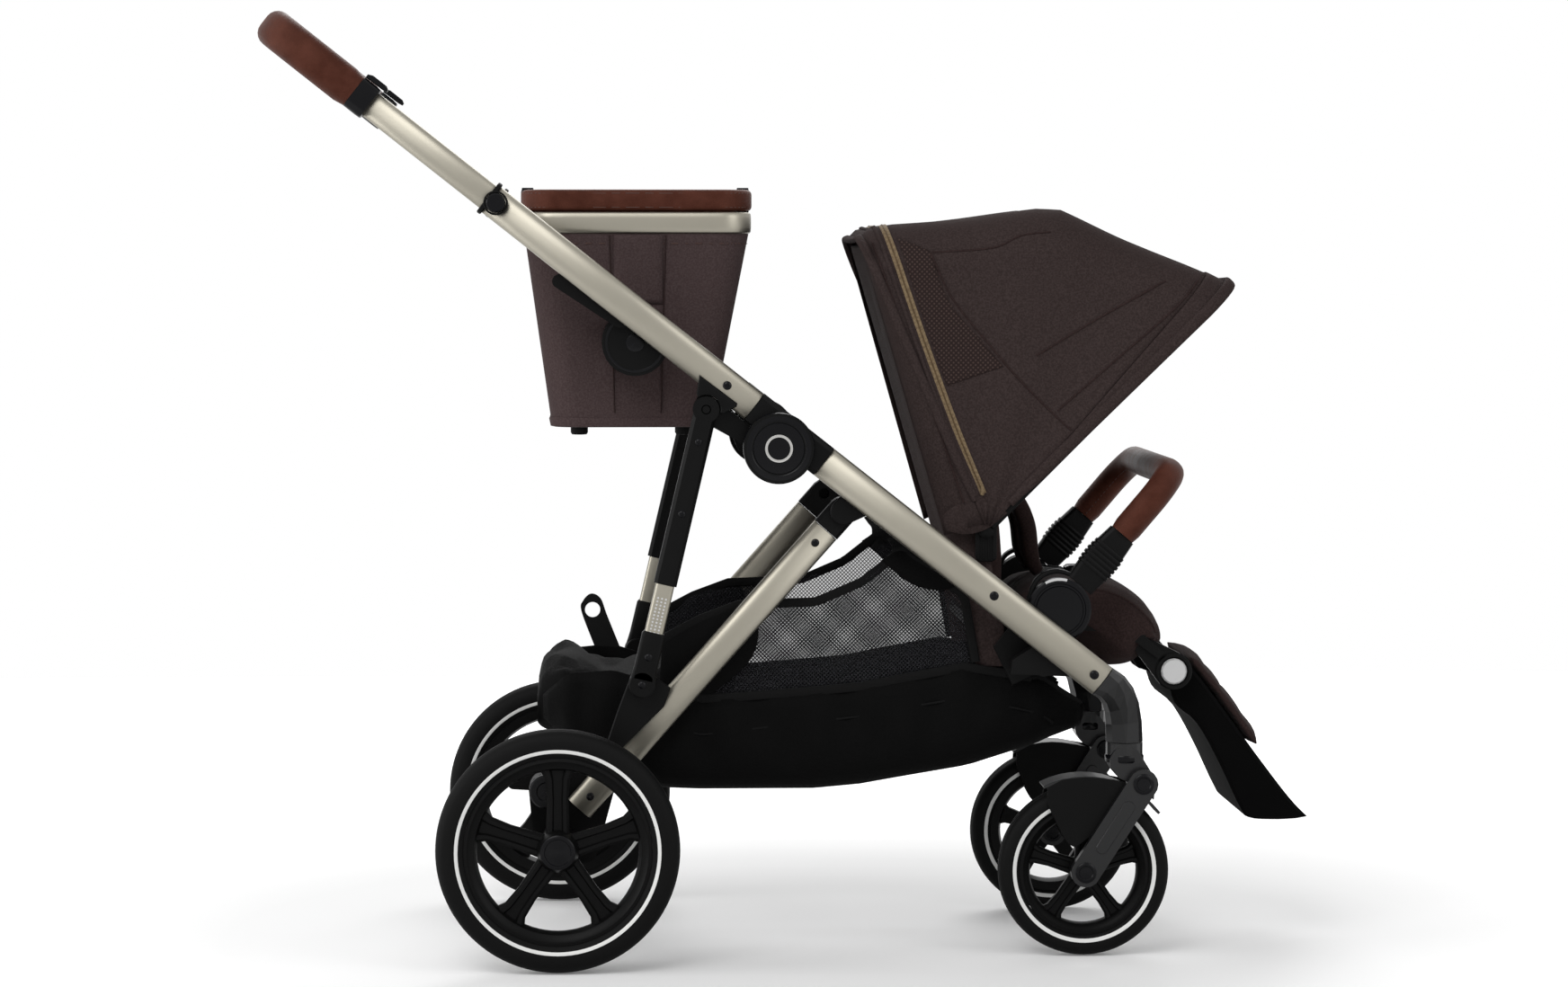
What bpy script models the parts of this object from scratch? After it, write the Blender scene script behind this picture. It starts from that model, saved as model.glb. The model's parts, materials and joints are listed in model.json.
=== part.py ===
"""A pushchair with a sloping frame tube, a box bag behind and a forward seat.

Metres, +Z up, +X forward, origin on the floor below the middle of the object.
Each named object is one piece; each empty stands on the joint that its pieces turn on.
"""

import math

import bmesh
import bpy
from mathutils import Matrix, Vector

# Sides and clearances
RIGHT, LEFT = -1, 1
SIDES = ((RIGHT, "right"), (LEFT, "left"))
GAP = 0.0004  # standing gap between two pieces that touch
RUNNING_GAP = 0.0008  # gap between two pieces that slide or turn on each other

# Main frame tube, seen from the side
FRAME_Y = 0.235  # middle plane of the frame tubes
TUBE_TILT = math.radians(38.3)  # slope of the tube below the horizontal, going forward
TUBE_THICK = 0.024
TUBE_WALL = 0.002
LOWER_TUBE_HEIGHT = 0.040
UPPER_TUBE_HEIGHT = 0.038
LOWER_TUBE_LENGTH = 0.427
UPPER_TUBE_LENGTH = 0.391
TUBE_CORNER = 0.009

# Fold hinge
HINGE_X, HINGE_Z = -0.019, 0.619
HINGE_DROP = 0.0207  # hinge axis below the tube's middle line
HINGE_CAP_R = 0.042
HINGE_DISC_R = 0.038
HINGE_CASTING_FRONT = 0.053
HINGE_CASTING_REAR = 0.0525
HINGE_CAP_THICK = 0.0145
HINGE_PIN_R = 0.007

# Handle
HANDLE_TUBE_HEIGHT = 0.0332
HANDLE_TUBE_THICK = 0.0192
HANDLE_TUBE_INSIDE = 0.124  # length that stays in the upper tube
HANDLE_TUBE_OUT = 0.190
GRIP_COLLAR_LENGTH = 0.022
GRIP_LEG_LENGTH = 0.123
GRIP_HEIGHT = 0.046
GRIP_THICK = 0.034
GRIP_BEND = 0.055
GRIP_CORNER = 0.0165
TUBE_COLLAR_LENGTH = 0.022
BUTTON_R = 0.0115
BUTTON_HEIGHT = 0.006
BUTTON_TRAVEL = 0.0032
TRIGGER_LENGTH = 0.030
TRIGGER_THICK = 0.006
TRIGGER_SEAT_LIFT = 0.0157  # the block that the trigger slides on, above the tube's middle line
TRIGGER_SEAT_THICK = 0.012

# Struts behind the hinge
STRUT_TOP_BACK = 0.0960  # the upper pin, along the tube behind the hinge
STRUT_TOP_DROP = UPPER_TUBE_HEIGHT / 2 + 0.0189  # and below the tube's middle line
STRUT_FOOT_ALONG = 0.3140  # the lower pin, along the leg from its pivot
STRUT_FOOT_BEHIND = 0.0449  # and behind the leg's middle line
STRUT_SLEEVE_WIDTH = 0.0275
STRUT_SLEEVE_SHARE = 0.6363  # of the strut's length
STRUT_BRACKET_R = 0.015
STRUT_TUBE_WIDTH = 0.0225
STRUT_THICK = 0.021
STRUT_Y = 0.235
STRUT_EYE_R = 0.016

# Rear legs, their pivot under the front tube, and the strut's footing
LEG_PIVOT_X, LEG_PIVOT_Z = 0.060, 0.541
LEG_FOOT_FORWARD, LEG_FOOT_RISE = 0.0250, 0.0383  # the leg's lower end, from the rear axle
LEG_WIDTH = 0.035
LEG_THICK = 0.022
LEG_Y = 0.2025
LEG_CAP_LENGTH = 0.030
FOOTING_THICK = 0.0085

# Wheels
REAR_AXLE_X, REAR_AXLE_Y, REAR_R = -0.2826, 0.300, 0.145
REAR_AXLE_Z = REAR_R  # the wheels stand on the floor
REAR_WIDTH, REAR_TYRE_INNER_R, REAR_RIM_INNER_R = 0.045, 0.112, 0.096
FRONT_AXLE_X, FRONT_AXLE_Y, FRONT_R = 0.3535, 0.190, 0.104
FRONT_AXLE_Z = FRONT_R
FRONT_WIDTH, FRONT_TYRE_INNER_R, FRONT_RIM_INNER_R = 0.040, 0.079, 0.065
SPOKES = 5
REAR_SPOKE_WIDTH, FRONT_SPOKE_WIDTH = 0.022, 0.015
REAR_HUB_R, FRONT_HUB_R = 0.024, 0.017
AXLE_R = 0.008
WHEEL_STEPS = 30

# Front casters
SWIVEL_X = 0.4035
SWIVEL_R = 0.0225
SWIVEL_TOP_Z = 0.2590
SWIVEL_PIN_R = 0.007
FORK_PIVOT_X, FORK_PIVOT_Z = 0.423, 0.211
FORK_ARM_THICK = 0.013
FORK_PIVOT_R = 0.018
FORK_AXLE_R = 0.021
FENDER_INNER_R, FENDER_THICK = 0.1125, 0.0035

# Seat
HUB_X, HUB_Z, HUB_R = 0.321, 0.422, 0.038
HUB_INNER_Y, HUB_OUTER_Y = 0.196, 0.219
RECLINE_X, RECLINE_Z = 0.232, 0.398
RECLINE_BAR_R = 0.0132
SEAT_HALF_WIDTH = 0.158
BACK_HALF_WIDTH = 0.160
CANOPY_X, CANOPY_Z = 0.237, 0.515
CANOPY_HALF_WIDTH = 0.182
BUMPER_ANGLE = math.radians(49.5)
BUMPER_GRIP_R = 0.0175
LEGREST_X, LEGREST_Z = 0.470, 0.340
LEGREST_HALF_WIDTH = 0.118
LEGREST_HUB_R = 0.023
LEGREST_BUTTON_R = 0.016
LEGREST_SIZE = 0.250  # the shell's outline is given in shares of this
LEGREST_PAD_THICK = 0.018

# Box bag
BAG_HALF_WIDTH = 0.158
BAG_WALL = 0.006
BAG_RIM_Z, BAG_RIM_HEIGHT = 0.875, 0.026
ADAPTER_X, ADAPTER_Z, ADAPTER_R = -0.189, 0.744, 0.040
ADAPTER_ARM_ALONG = 0.3275  # the arm's end, along the tube behind the hinge
ADAPTER_ARM_DROP = 0.0264  # and below the tube's middle line
ADAPTER_ARM_R = 0.0085
ADAPTER_ARM_THICK = 0.020

# Shopping basket
BASKET_HALF_WIDTH = 0.183
BASKET_WALL = 0.004

# Colours of the finishes, each as red, green, blue, metallic and roughness
FINISHES = {
    "champagne_aluminium": (0.42, 0.39, 0.33, 1.0, 0.38),
    "black_plastic": (0.012, 0.012, 0.013, 0.0, 0.5),
    "brown_leatherette": (0.085, 0.035, 0.025, 0.0, 0.55),
    "brown_fabric": (0.040, 0.030, 0.029, 0.0, 0.9),
    "black_fabric": (0.010, 0.010, 0.011, 0.0, 0.9),
    "tyre_rubber": (0.014, 0.014, 0.015, 0.0, 0.75),
    "silver_plastic": (0.62, 0.62, 0.62, 0.6, 0.35),
}


def clear_scene():
    """Removes what the startup file holds."""
    for obj in list(bpy.data.objects):
        bpy.data.objects.remove(obj, do_unlink=True)


def finish_of(name):
    """The Principled material of this name, made once."""
    found = bpy.data.materials.get(name)
    if found:
        return found
    red, green, blue, metallic, roughness = FINISHES[name]
    made = bpy.data.materials.new(name)
    made.use_nodes = True
    shader = made.node_tree.nodes["Principled BSDF"]
    shader.inputs["Base Color"].default_value = (red, green, blue, 1.0)
    shader.inputs["Metallic"].default_value = metallic
    shader.inputs["Roughness"].default_value = roughness
    return made


def joint_empty(name, place, parent=None):
    """An empty on a joint's axis, at a place in world coordinates."""
    empty = bpy.data.objects.new(name, None)
    empty.empty_display_size = 0.03
    bpy.context.scene.collection.objects.link(empty)
    empty.location = place
    if parent:
        empty.parent = parent
        empty.matrix_parent_inverse = Matrix.Translation(-Vector(parent.location))
    return empty


def piece(name, bm, finish, carrier=None):
    """One named object from a closed mesh, carried by a joint's empty."""
    bmesh.ops.recalc_face_normals(bm, faces=bm.faces)
    mesh = bpy.data.meshes.new(name)
    bm.to_mesh(mesh)
    bm.free()
    mesh.materials.append(finish_of(finish))
    mesh.shade_smooth()
    mesh.set_sharp_from_angle(angle=math.radians(32))
    obj = bpy.data.objects.new(name, mesh)
    bpy.context.scene.collection.objects.link(obj)
    if carrier:
        obj.parent = carrier
        obj.matrix_parent_inverse = Matrix.Translation(-Vector(carrier.location))
    return obj


def helper(name, bm):
    """A shape that only adds to or cuts another."""
    obj = piece(name, bm, "black_plastic")
    obj.hide_render = True
    obj.display_type = "WIRE"
    return obj


def combine(obj, operation, shapes):
    """Adds or cuts a list of closed meshes, one Boolean each."""
    for bm in shapes:
        number = len(obj.modifiers) + 1
        modifier = obj.modifiers.new(f"{operation.lower()}_{number}", "BOOLEAN")
        modifier.operation = operation
        modifier.object = helper(f"{obj.name}_{operation.lower()}_{number}", bm)
    return obj


def add(obj, *shapes):
    """Fuses the shapes with the piece."""
    return combine(obj, "UNION", shapes)


def cut(obj, *shapes):
    """Takes the shapes out of the piece."""
    return combine(obj, "DIFFERENCE", shapes)


def loft(rings, loop=False):
    """A closed skin over rings of points: a capped body, or a ring-shaped one if loop."""
    bm = bmesh.new()
    rows = [[bm.verts.new(point) for point in ring] for ring in rings]
    following = rows[1:] + rows[:1] if loop else rows[1:]
    for low, high in zip(rows, following):
        for i, corner in enumerate(low):
            j = (i + 1) % len(low)
            bm.faces.new((corner, low[j], high[j], high[i]))
    if not loop:
        bm.faces.new(rows[0][::-1])
        bm.faces.new(rows[-1])
    return bm


def circle(x, z, radius, steps=16, start=0.0):
    """Points round a circle in the side view."""
    angles = [start + math.tau * i / steps for i in range(steps)]
    return [(x + radius * math.cos(angle), z + radius * math.sin(angle)) for angle in angles]


def from_point(x, z, size, shares):
    """Side-view points round a place, each given in shares of one size."""
    return [(x + size * along, z + size * up) for along, up in shares]


def prism(outline, y0, y1):
    """A side-view outline, given its thickness between two planes."""
    return loft([[(x, y, z) for x, z in outline] for y in (y0, y1)])


def drum(x, z, radius, y0, y1, steps=16):
    """A cylinder across the object."""
    return prism(circle(x, z, radius, steps), y0, y1)


def upright_drum(x, y, radius, z0, z1, steps=16):
    """A standing cylinder."""
    return loft([[(px, py, z) for px, py in circle(x, y, radius, steps)] for z in (z0, z1)])


def rounded_box(width, height, corner, steps=2):
    """Points round a rectangle with rounded corners, about the origin."""
    points = []
    for quarter in range(4):
        turn = quarter * math.pi / 2
        along = (width / 2 - corner) * (1 if quarter in (0, 3) else -1)
        up = (height / 2 - corner) * (1 if quarter in (0, 1) else -1)
        for i in range(steps + 1):
            angle = turn + math.pi / 2 * i / steps
            points.append((along + corner * math.cos(angle), up + corner * math.sin(angle)))
    return points


def hull_of_circles(*circles):
    """The side-view outline that wraps circles given as x, z and radius."""
    points = [point for x, z, radius in circles for point in circle(x, z, radius, 16)]
    return convex(points)


def convex(points):
    """The convex outline round points."""
    ordered = sorted(set((round(x, 7), round(z, 7)) for x, z in points))

    def half(line):
        chain = []
        for point in line:
            while len(chain) > 1 and turn_of(chain[-2], chain[-1], point) <= 0:
                chain.pop()
            chain.append(point)
        return chain

    return half(ordered)[:-1] + half(ordered[::-1])[:-1]


def turn_of(a, b, c):
    """Positive where a, b, c turn left."""
    return (b[0] - a[0]) * (c[1] - a[1]) - (b[1] - a[1]) * (c[0] - a[0])


# Frame tube


def on_tube(along, across=0.0):
    """A side-view point by its distance along the tube from the hinge, and above its middle line."""
    x = HINGE_X + (HINGE_DROP + across) * math.sin(TUBE_TILT) + along * math.cos(TUBE_TILT)
    z = HINGE_Z + (HINGE_DROP + across) * math.cos(TUBE_TILT) - along * math.sin(TUBE_TILT)
    return x, z


def tube_ring(along, height, thick, side, corner=TUBE_CORNER, y=FRAME_Y):
    """A rounded section square to the frame tube."""
    ring = []
    for across, out in rounded_box(height, thick, corner):
        x, z = on_tube(along, across)
        ring.append((x, side * (y + out), z))
    return ring


def tube_block(start, end, height, thick, side, corner=TUBE_CORNER):
    """A solid length of the frame tube's section."""
    return loft([tube_ring(along, height, thick, side, corner) for along in (start, end)])


def hollow_tube(start, end, height, thick, side, wall=TUBE_WALL, corner=TUBE_CORNER):
    """A length of tube, open at both ends."""
    outer = [tube_ring(along, height, thick, side, corner) for along in (start, end)]
    inner = [
        tube_ring(along, height - 2 * wall, thick - 2 * wall, side, corner - wall)
        for along in (end, start)
    ]
    return loft(outer + inner, loop=True)


def side_plate(outline, inner, outer, side):
    """A flat plate between two distances from the middle plane."""
    return prism(outline, side * inner, side * outer)


LOWER_START = HINGE_CASTING_FRONT + GAP
LOWER_END = LOWER_START + LOWER_TUBE_LENGTH
UPPER_START = HINGE_CASTING_REAR + GAP
UPPER_END = UPPER_START + UPPER_TUBE_LENGTH
TUBE_INNER_Y = FRAME_Y - TUBE_THICK / 2
TUBE_OUTER_Y = FRAME_Y + TUBE_THICK / 2
LEG_INNER_Y = LEG_Y - LEG_THICK / 2
LEG_OUTER_Y = LEG_Y + LEG_THICK / 2
CASTING_CORNER = 0.006

# Strut bracket under the upper tube
STRUT_TOP = on_tube(-STRUT_TOP_BACK, -STRUT_TOP_DROP)
STRUT_TOP_X, STRUT_TOP_Z = STRUT_TOP
BRACKET_TUBE_GAP = 0.0022
BRACKET_FRONT = 0.029
BRACKET_DEPTH = 0.0208
BRACKET_INNER_Y = TUBE_INNER_Y - 0.001
BRACKET_OUTER_Y = BRACKET_INNER_Y + 0.0095


def front_tube(side, name):
    """The lower tube, with the lug that carries the rear leg."""
    obj = piece(
        f"front_tube_{name}",
        hollow_tube(LOWER_START, LOWER_END, LOWER_TUBE_HEIGHT, TUBE_THICK, side),
        "champagne_aluminium",
    )
    lug_x, lug_z = LEG_PIVOT_X, LEG_PIVOT_Z
    root_x, root_z = on_tube(0.118, -0.008)
    lug = hull_of_circles((lug_x, lug_z, 0.0150), (root_x, root_z, 0.020))
    plate = side_plate(lug, LEG_OUTER_Y + RUNNING_GAP, TUBE_INNER_Y + TUBE_WALL / 2, side)
    pin = drum(lug_x, lug_z, 0.0060, side * (LEG_INNER_Y + 0.004), side * (LEG_OUTER_Y + 0.004))
    return add(obj, plate, pin)


def hinge_base(side, name):
    """The casting on the lower tube, with the cap and pin of the fold hinge."""
    casting = tube_block(
        RUNNING_GAP, HINGE_CASTING_FRONT, LOWER_TUBE_HEIGHT, TUBE_THICK + 0.004, side, CASTING_CORNER
    )
    obj = piece(f"hinge_base_{name}", casting, "black_plastic")
    plane = FRAME_Y + TUBE_THICK / 2
    room = drum(
        HINGE_X,
        HINGE_Z,
        HINGE_DISC_R + RUNNING_GAP,
        side * (TUBE_INNER_Y - 0.010),
        side * plane,
        28,
    )
    cut(obj, room)
    cap_start, cap_end = plane + RUNNING_GAP, plane + HINGE_CAP_THICK
    cap = drum(HINGE_X, HINGE_Z, HINGE_CAP_R, side * cap_start, side * cap_end, 28)
    pin = drum(HINGE_X, HINGE_Z, HINGE_PIN_R, side * (TUBE_INNER_Y - 0.002), side * (plane + 0.004))
    return add(obj, cap, pin)


def hinge_arm(side, name, carrier):
    """The upper tube's hinge disc and casting, with the bracket that carries the strut."""
    casting = tube_block(
        -HINGE_CASTING_REAR, -RUNNING_GAP, LOWER_TUBE_HEIGHT, TUBE_THICK - 0.001, side, CASTING_CORNER
    )
    obj = piece(f"hinge_arm_{name}", casting, "black_plastic", carrier)
    disc = drum(
        HINGE_X,
        HINGE_Z,
        HINGE_DISC_R,
        side * (TUBE_INNER_Y + 0.0005),
        side * (TUBE_OUTER_Y - 0.0005),
        28,
    )
    under = -UPPER_TUBE_HEIGHT / 2 - BRACKET_TUBE_GAP
    strut_bracket = convex(
        circle(STRUT_TOP_X, STRUT_TOP_Z, STRUT_BRACKET_R)
        + [
            on_tube(-HINGE_CASTING_REAR, under),
            on_tube(-BRACKET_FRONT, under - 0.0048),
            on_tube(-BRACKET_FRONT, under - BRACKET_DEPTH),
            on_tube(-STRUT_TOP_BACK - 0.020, under),
        ]
    )
    plate = side_plate(strut_bracket, BRACKET_INNER_Y, BRACKET_OUTER_Y, side)
    add(obj, disc, plate)
    return cut(obj, drum(HINGE_X, HINGE_Z, HINGE_PIN_R + RUNNING_GAP, side * 0.20, side * 0.26))


def upper_tube(side, name, carrier):
    """The upper tube that the handle slides in, with its end collar."""
    obj = piece(
        f"upper_tube_{name}",
        hollow_tube(-UPPER_END, -UPPER_START, UPPER_TUBE_HEIGHT, TUBE_THICK, side),
        "champagne_aluminium",
        carrier,
    )
    collar = tube_block(
        -UPPER_END - TUBE_COLLAR_LENGTH / 2,
        -UPPER_END + TUBE_COLLAR_LENGTH / 2,
        UPPER_TUBE_HEIGHT + 0.005,
        TUBE_THICK + 0.004,
        side,
    )
    bore = tube_block(
        -UPPER_END - TUBE_COLLAR_LENGTH,
        -UPPER_END + TUBE_COLLAR_LENGTH,
        HANDLE_TUBE_HEIGHT + 2 * RUNNING_GAP,
        HANDLE_TUBE_THICK + 2 * RUNNING_GAP,
        side,
        0.0075,
    )
    x, z = on_tube(-UPPER_END)
    boss = drum(x, z, BUTTON_R + 0.0025, side * (TUBE_OUTER_Y - 0.0015), side * (TUBE_OUTER_Y + 0.004))
    floor_y, mouth_y = TUBE_OUTER_Y + 0.0006, TUBE_OUTER_Y + 0.02
    socket = drum(x, z, BUTTON_R + RUNNING_GAP, side * floor_y, side * mouth_y)
    add(obj, collar, boss)
    return cut(obj, bore, socket)


def height_button(side, name, carrier):
    """The round button that frees the handle."""
    x, z = on_tube(-UPPER_END)
    low = TUBE_OUTER_Y + 0.0006 + BUTTON_TRAVEL
    button = round_button(x, z, BUTTON_R, low, BUTTON_HEIGHT, 0.0015, side)
    return piece(f"height_button_{name}", button, "black_plastic", carrier)


def round_button(x, z, radius, low, height, chamfer, side):
    """A push button with a chamfered edge."""
    levels = ((radius, low), (radius, low + height - chamfer), (radius - chamfer, low + height))
    rings = [[(px, side * y, pz) for px, pz in circle(x, z, r)] for r, y in levels]
    return loft(rings)


HANDLE_TUBE_START = UPPER_END - HANDLE_TUBE_INSIDE
HANDLE_TUBE_END = UPPER_END + HANDLE_TUBE_OUT


def handle_tube(side, name, carrier):
    """The inner tube of the handle, with the collar that the grip starts from."""
    start, end = -HANDLE_TUBE_END, -HANDLE_TUBE_START
    tube = hollow_tube(start, end, HANDLE_TUBE_HEIGHT, HANDLE_TUBE_THICK, side, corner=0.0075)
    obj = piece(f"handle_tube_{name}", tube, "champagne_aluminium", carrier)
    collar = tube_block(
        -HANDLE_TUBE_END - GRIP_COLLAR_LENGTH, -HANDLE_TUBE_END + 0.002, 0.041, 0.029, side, 0.010
    )
    seat = tube_block(
        -HANDLE_TUBE_END - GRIP_COLLAR_LENGTH,
        -HANDLE_TUBE_END - 0.004,
        TRIGGER_SEAT_THICK,
        0.010,
        side,
        0.004,
    )
    return add(obj, collar, lifted(seat, TRIGGER_SEAT_LIFT))


def lifted(bm, distance):
    """A mesh moved up, square to the frame tube."""
    shift = Vector((distance * math.sin(TUBE_TILT), 0.0, distance * math.cos(TUBE_TILT)))
    bmesh.ops.translate(bm, vec=shift, verts=bm.verts)
    return bm


def fold_trigger(side, name, carrier):
    """The sliding tab on top of the grip's collar."""
    start = -HANDLE_TUBE_END - GRIP_COLLAR_LENGTH + 0.001
    tab = tube_block(start, start + TRIGGER_LENGTH, TRIGGER_THICK, 0.013, side, 0.0025)
    lift = TRIGGER_SEAT_LIFT + TRIGGER_SEAT_THICK / 2 + TRIGGER_THICK / 2 + RUNNING_GAP
    return piece(f"fold_trigger_{name}", lifted(tab, lift), "black_plastic", carrier)


def handle_grip(carrier):
    """The padded grip: two legs and a crossbar, swept as one bar."""

    def up_tube(along, across):
        return on_tube(-along, across)

    low = HANDLE_TUBE_END + GRIP_COLLAR_LENGTH + GAP
    bow = swept_bow(
        up_tube, low, GRIP_LEG_LENGTH, GRIP_BEND, FRAME_Y, GRIP_HEIGHT, GRIP_THICK, GRIP_CORNER
    )
    return piece("handle_grip", bow, "brown_leatherette", carrier)


# Struts


def bar_frame(start, end):
    """Unit steps along and across a side-view bar."""
    along = Vector((end[0] - start[0], end[1] - start[1])).normalized()
    return along, Vector((-along.y, along.x))


def bar(start, end, low, high, width, thick, y, side, corner=0.004):
    """A rounded bar on the line from start to end, between two distances from start."""
    along, across = bar_frame(start, end)
    rings = []
    for distance in (low, high):
        ring = []
        for wide, out in rounded_box(width, thick, corner, 1):
            point = Vector(start) + along * distance + across * wide
            ring.append((point.x, side * (y + out), point.y))
        rings.append(ring)
    return loft(rings)


LEG_TOP = (LEG_PIVOT_X, LEG_PIVOT_Z)
LEG_BOTTOM = (REAR_AXLE_X + LEG_FOOT_FORWARD, REAR_AXLE_Z + LEG_FOOT_RISE)
LEG_REACH = math.dist(LEG_TOP, LEG_BOTTOM)
LEG_DOWN = ((LEG_BOTTOM[0] - LEG_TOP[0]) / LEG_REACH, (LEG_BOTTOM[1] - LEG_TOP[1]) / LEG_REACH)
STRUT_FOOT = (
    LEG_TOP[0] + LEG_DOWN[0] * STRUT_FOOT_ALONG + LEG_DOWN[1] * STRUT_FOOT_BEHIND,
    LEG_TOP[1] + LEG_DOWN[1] * STRUT_FOOT_ALONG - LEG_DOWN[0] * STRUT_FOOT_BEHIND,
)
STRUT_FOOT_X, STRUT_FOOT_Z = STRUT_FOOT
STRUT_LENGTH = math.dist(STRUT_TOP, STRUT_FOOT)
STRUT_SLEEVE_LENGTH = STRUT_SLEEVE_SHARE * STRUT_LENGTH
STRUT_INNER_Y = STRUT_Y - STRUT_THICK / 2
STRUT_OUTER_Y = STRUT_Y + STRUT_THICK / 2


def strut_sleeve(side, name, carrier):
    """The black upper part of a strut, with the eye that hangs on the bracket's pin."""
    end = STRUT_SLEEVE_LENGTH
    sleeve = bar(STRUT_TOP, STRUT_FOOT, 0.004, end, STRUT_SLEEVE_WIDTH, STRUT_THICK, STRUT_Y, side)
    obj = piece(f"strut_sleeve_{name}", sleeve, "black_plastic", carrier)
    eye = drum(STRUT_TOP_X, STRUT_TOP_Z, STRUT_EYE_R, side * STRUT_INNER_Y, side * STRUT_OUTER_Y)
    add(obj, eye)
    room_inner, room_outer = STRUT_INNER_Y - 0.01, BRACKET_OUTER_Y + RUNNING_GAP
    room = drum(STRUT_TOP_X, STRUT_TOP_Z, 0.042, side * room_inner, side * room_outer)
    bore = drum(STRUT_TOP_X, STRUT_TOP_Z, 0.0058, side * STRUT_INNER_Y, side * (STRUT_OUTER_Y + 0.01))
    return cut(obj, room, bore)


def strut_pin(side):
    """The pin on the bracket that the strut hangs on."""
    start, end = BRACKET_OUTER_Y - 0.003, STRUT_OUTER_Y + 0.001
    return drum(STRUT_TOP_X, STRUT_TOP_Z, 0.0046, side * start, side * end)


def strut_tube(side, name, carrier):
    """The perforated lower tube and its foot, with an eye beside the footing."""
    tube = bar(
        STRUT_TOP,
        STRUT_FOOT,
        STRUT_SLEEVE_LENGTH + GAP,
        STRUT_LENGTH - 0.030,
        STRUT_TUBE_WIDTH,
        STRUT_THICK - 0.002,
        STRUT_Y,
        side,
    )
    obj = piece(f"strut_tube_{name}", tube, "champagne_aluminium", carrier)
    foot = bar(
        STRUT_TOP, STRUT_FOOT, STRUT_LENGTH - 0.062, STRUT_LENGTH, 0.027, STRUT_THICK, STRUT_Y, side
    )
    eye = drum(STRUT_FOOT_X, STRUT_FOOT_Z, STRUT_EYE_R, side * STRUT_INNER_Y, side * STRUT_OUTER_Y)
    return add(obj, foot, eye)


# Rear legs and axle

FOOTING_INNER_Y = LEG_OUTER_Y - 0.0005
FOOTING_OUTER_Y = LEG_OUTER_Y - 0.0005 + FOOTING_THICK + 0.0010
FOOTING_LENGTH = 0.084  # how far the footing runs down the leg below the strut's pin


def leg_cap(side, name, carrier):
    """The black knuckle at the top of a rear leg."""
    shape = bar(LEG_TOP, LEG_BOTTOM, 0.0, LEG_CAP_LENGTH, LEG_WIDTH, LEG_THICK, LEG_Y, side)
    obj = piece(f"leg_cap_{name}", shape, "black_plastic", carrier)
    add(obj, drum(*LEG_TOP, LEG_WIDTH / 2, side * LEG_INNER_Y, side * LEG_OUTER_Y))
    return cut(obj, drum(*LEG_TOP, 0.0070, side * (LEG_INNER_Y - 0.01), side * (LEG_OUTER_Y + 0.01)))


def rear_leg(side, name, carrier):
    """A rear leg with the footing that the strut stands on."""
    shape = bar(
        LEG_TOP, LEG_BOTTOM, LEG_CAP_LENGTH + GAP, LEG_REACH, LEG_WIDTH, LEG_THICK, LEG_Y, side, 0.008
    )
    obj = piece(f"rear_leg_{name}", shape, "champagne_aluminium", carrier)
    corners = ((0.405, -0.071), (0.310, -0.333), (-0.345, -0.405), (-0.488, -0.833), (-0.357, -1.0))
    footing = convex(
        circle(*STRUT_FOOT, STRUT_EYE_R - 0.001) + from_point(*STRUT_FOOT, FOOTING_LENGTH, corners)
    )
    return add(obj, side_plate(footing, FOOTING_INNER_Y, FOOTING_OUTER_Y, side))


HOUSING_INNER_Y = 0.160
HOUSING_OUTER_Y = REAR_AXLE_Y - REAR_WIDTH / 2 - 0.002
BEAM_X, BEAM_Z, BEAM_R = REAR_AXLE_X - 0.0144, REAR_AXLE_Z + 0.058, 0.015
HOUSING_R = 0.030  # the housing round the axle, and its reach towards the leg
HOUSING_LEG_R = 0.016
STUB_END_Y = REAR_AXLE_Y + REAR_WIDTH / 2 - 0.006


def rear_axle_beam(carrier):
    """The beam between the rear wheels: a crossbar, two housings and two stub axles."""
    bar_end = HOUSING_INNER_Y + 0.01
    crossbar = drum(BEAM_X, BEAM_Z, BEAM_R, -bar_end, bar_end)
    obj = piece("rear_axle_beam", crossbar, "black_plastic", carrier)
    low_x, low_z = LEG_BOTTOM
    plate_outline = hull_of_circles(
        (REAR_AXLE_X, REAR_AXLE_Z, HOUSING_R),
        (BEAM_X, BEAM_Z, BEAM_R + 0.006),
        (low_x + 0.028, low_z + 0.026, HOUSING_LEG_R),
        (REAR_AXLE_X + HOUSING_R, REAR_AXLE_Z - 0.012, HOUSING_LEG_R + 0.002),
    )
    for side, _ in SIDES:
        plate = side_plate(plate_outline, HOUSING_INNER_Y, LEG_INNER_Y - GAP, side)
        boss = drum(
            REAR_AXLE_X, REAR_AXLE_Z, 0.020, side * (LEG_INNER_Y - 0.008), side * HOUSING_OUTER_Y, 18
        )
        stub = drum(REAR_AXLE_X, REAR_AXLE_Z, AXLE_R, side * (HOUSING_OUTER_Y - 0.01), side * STUB_END_Y)
        add(obj, plate, boss, stub)
    return obj


BRAKE_X, BRAKE_Z, BRAKE_R = BEAM_X - 0.041, BEAM_Z - 0.007, 0.0075
BRAKE_HALF_WIDTH = 0.055


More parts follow.
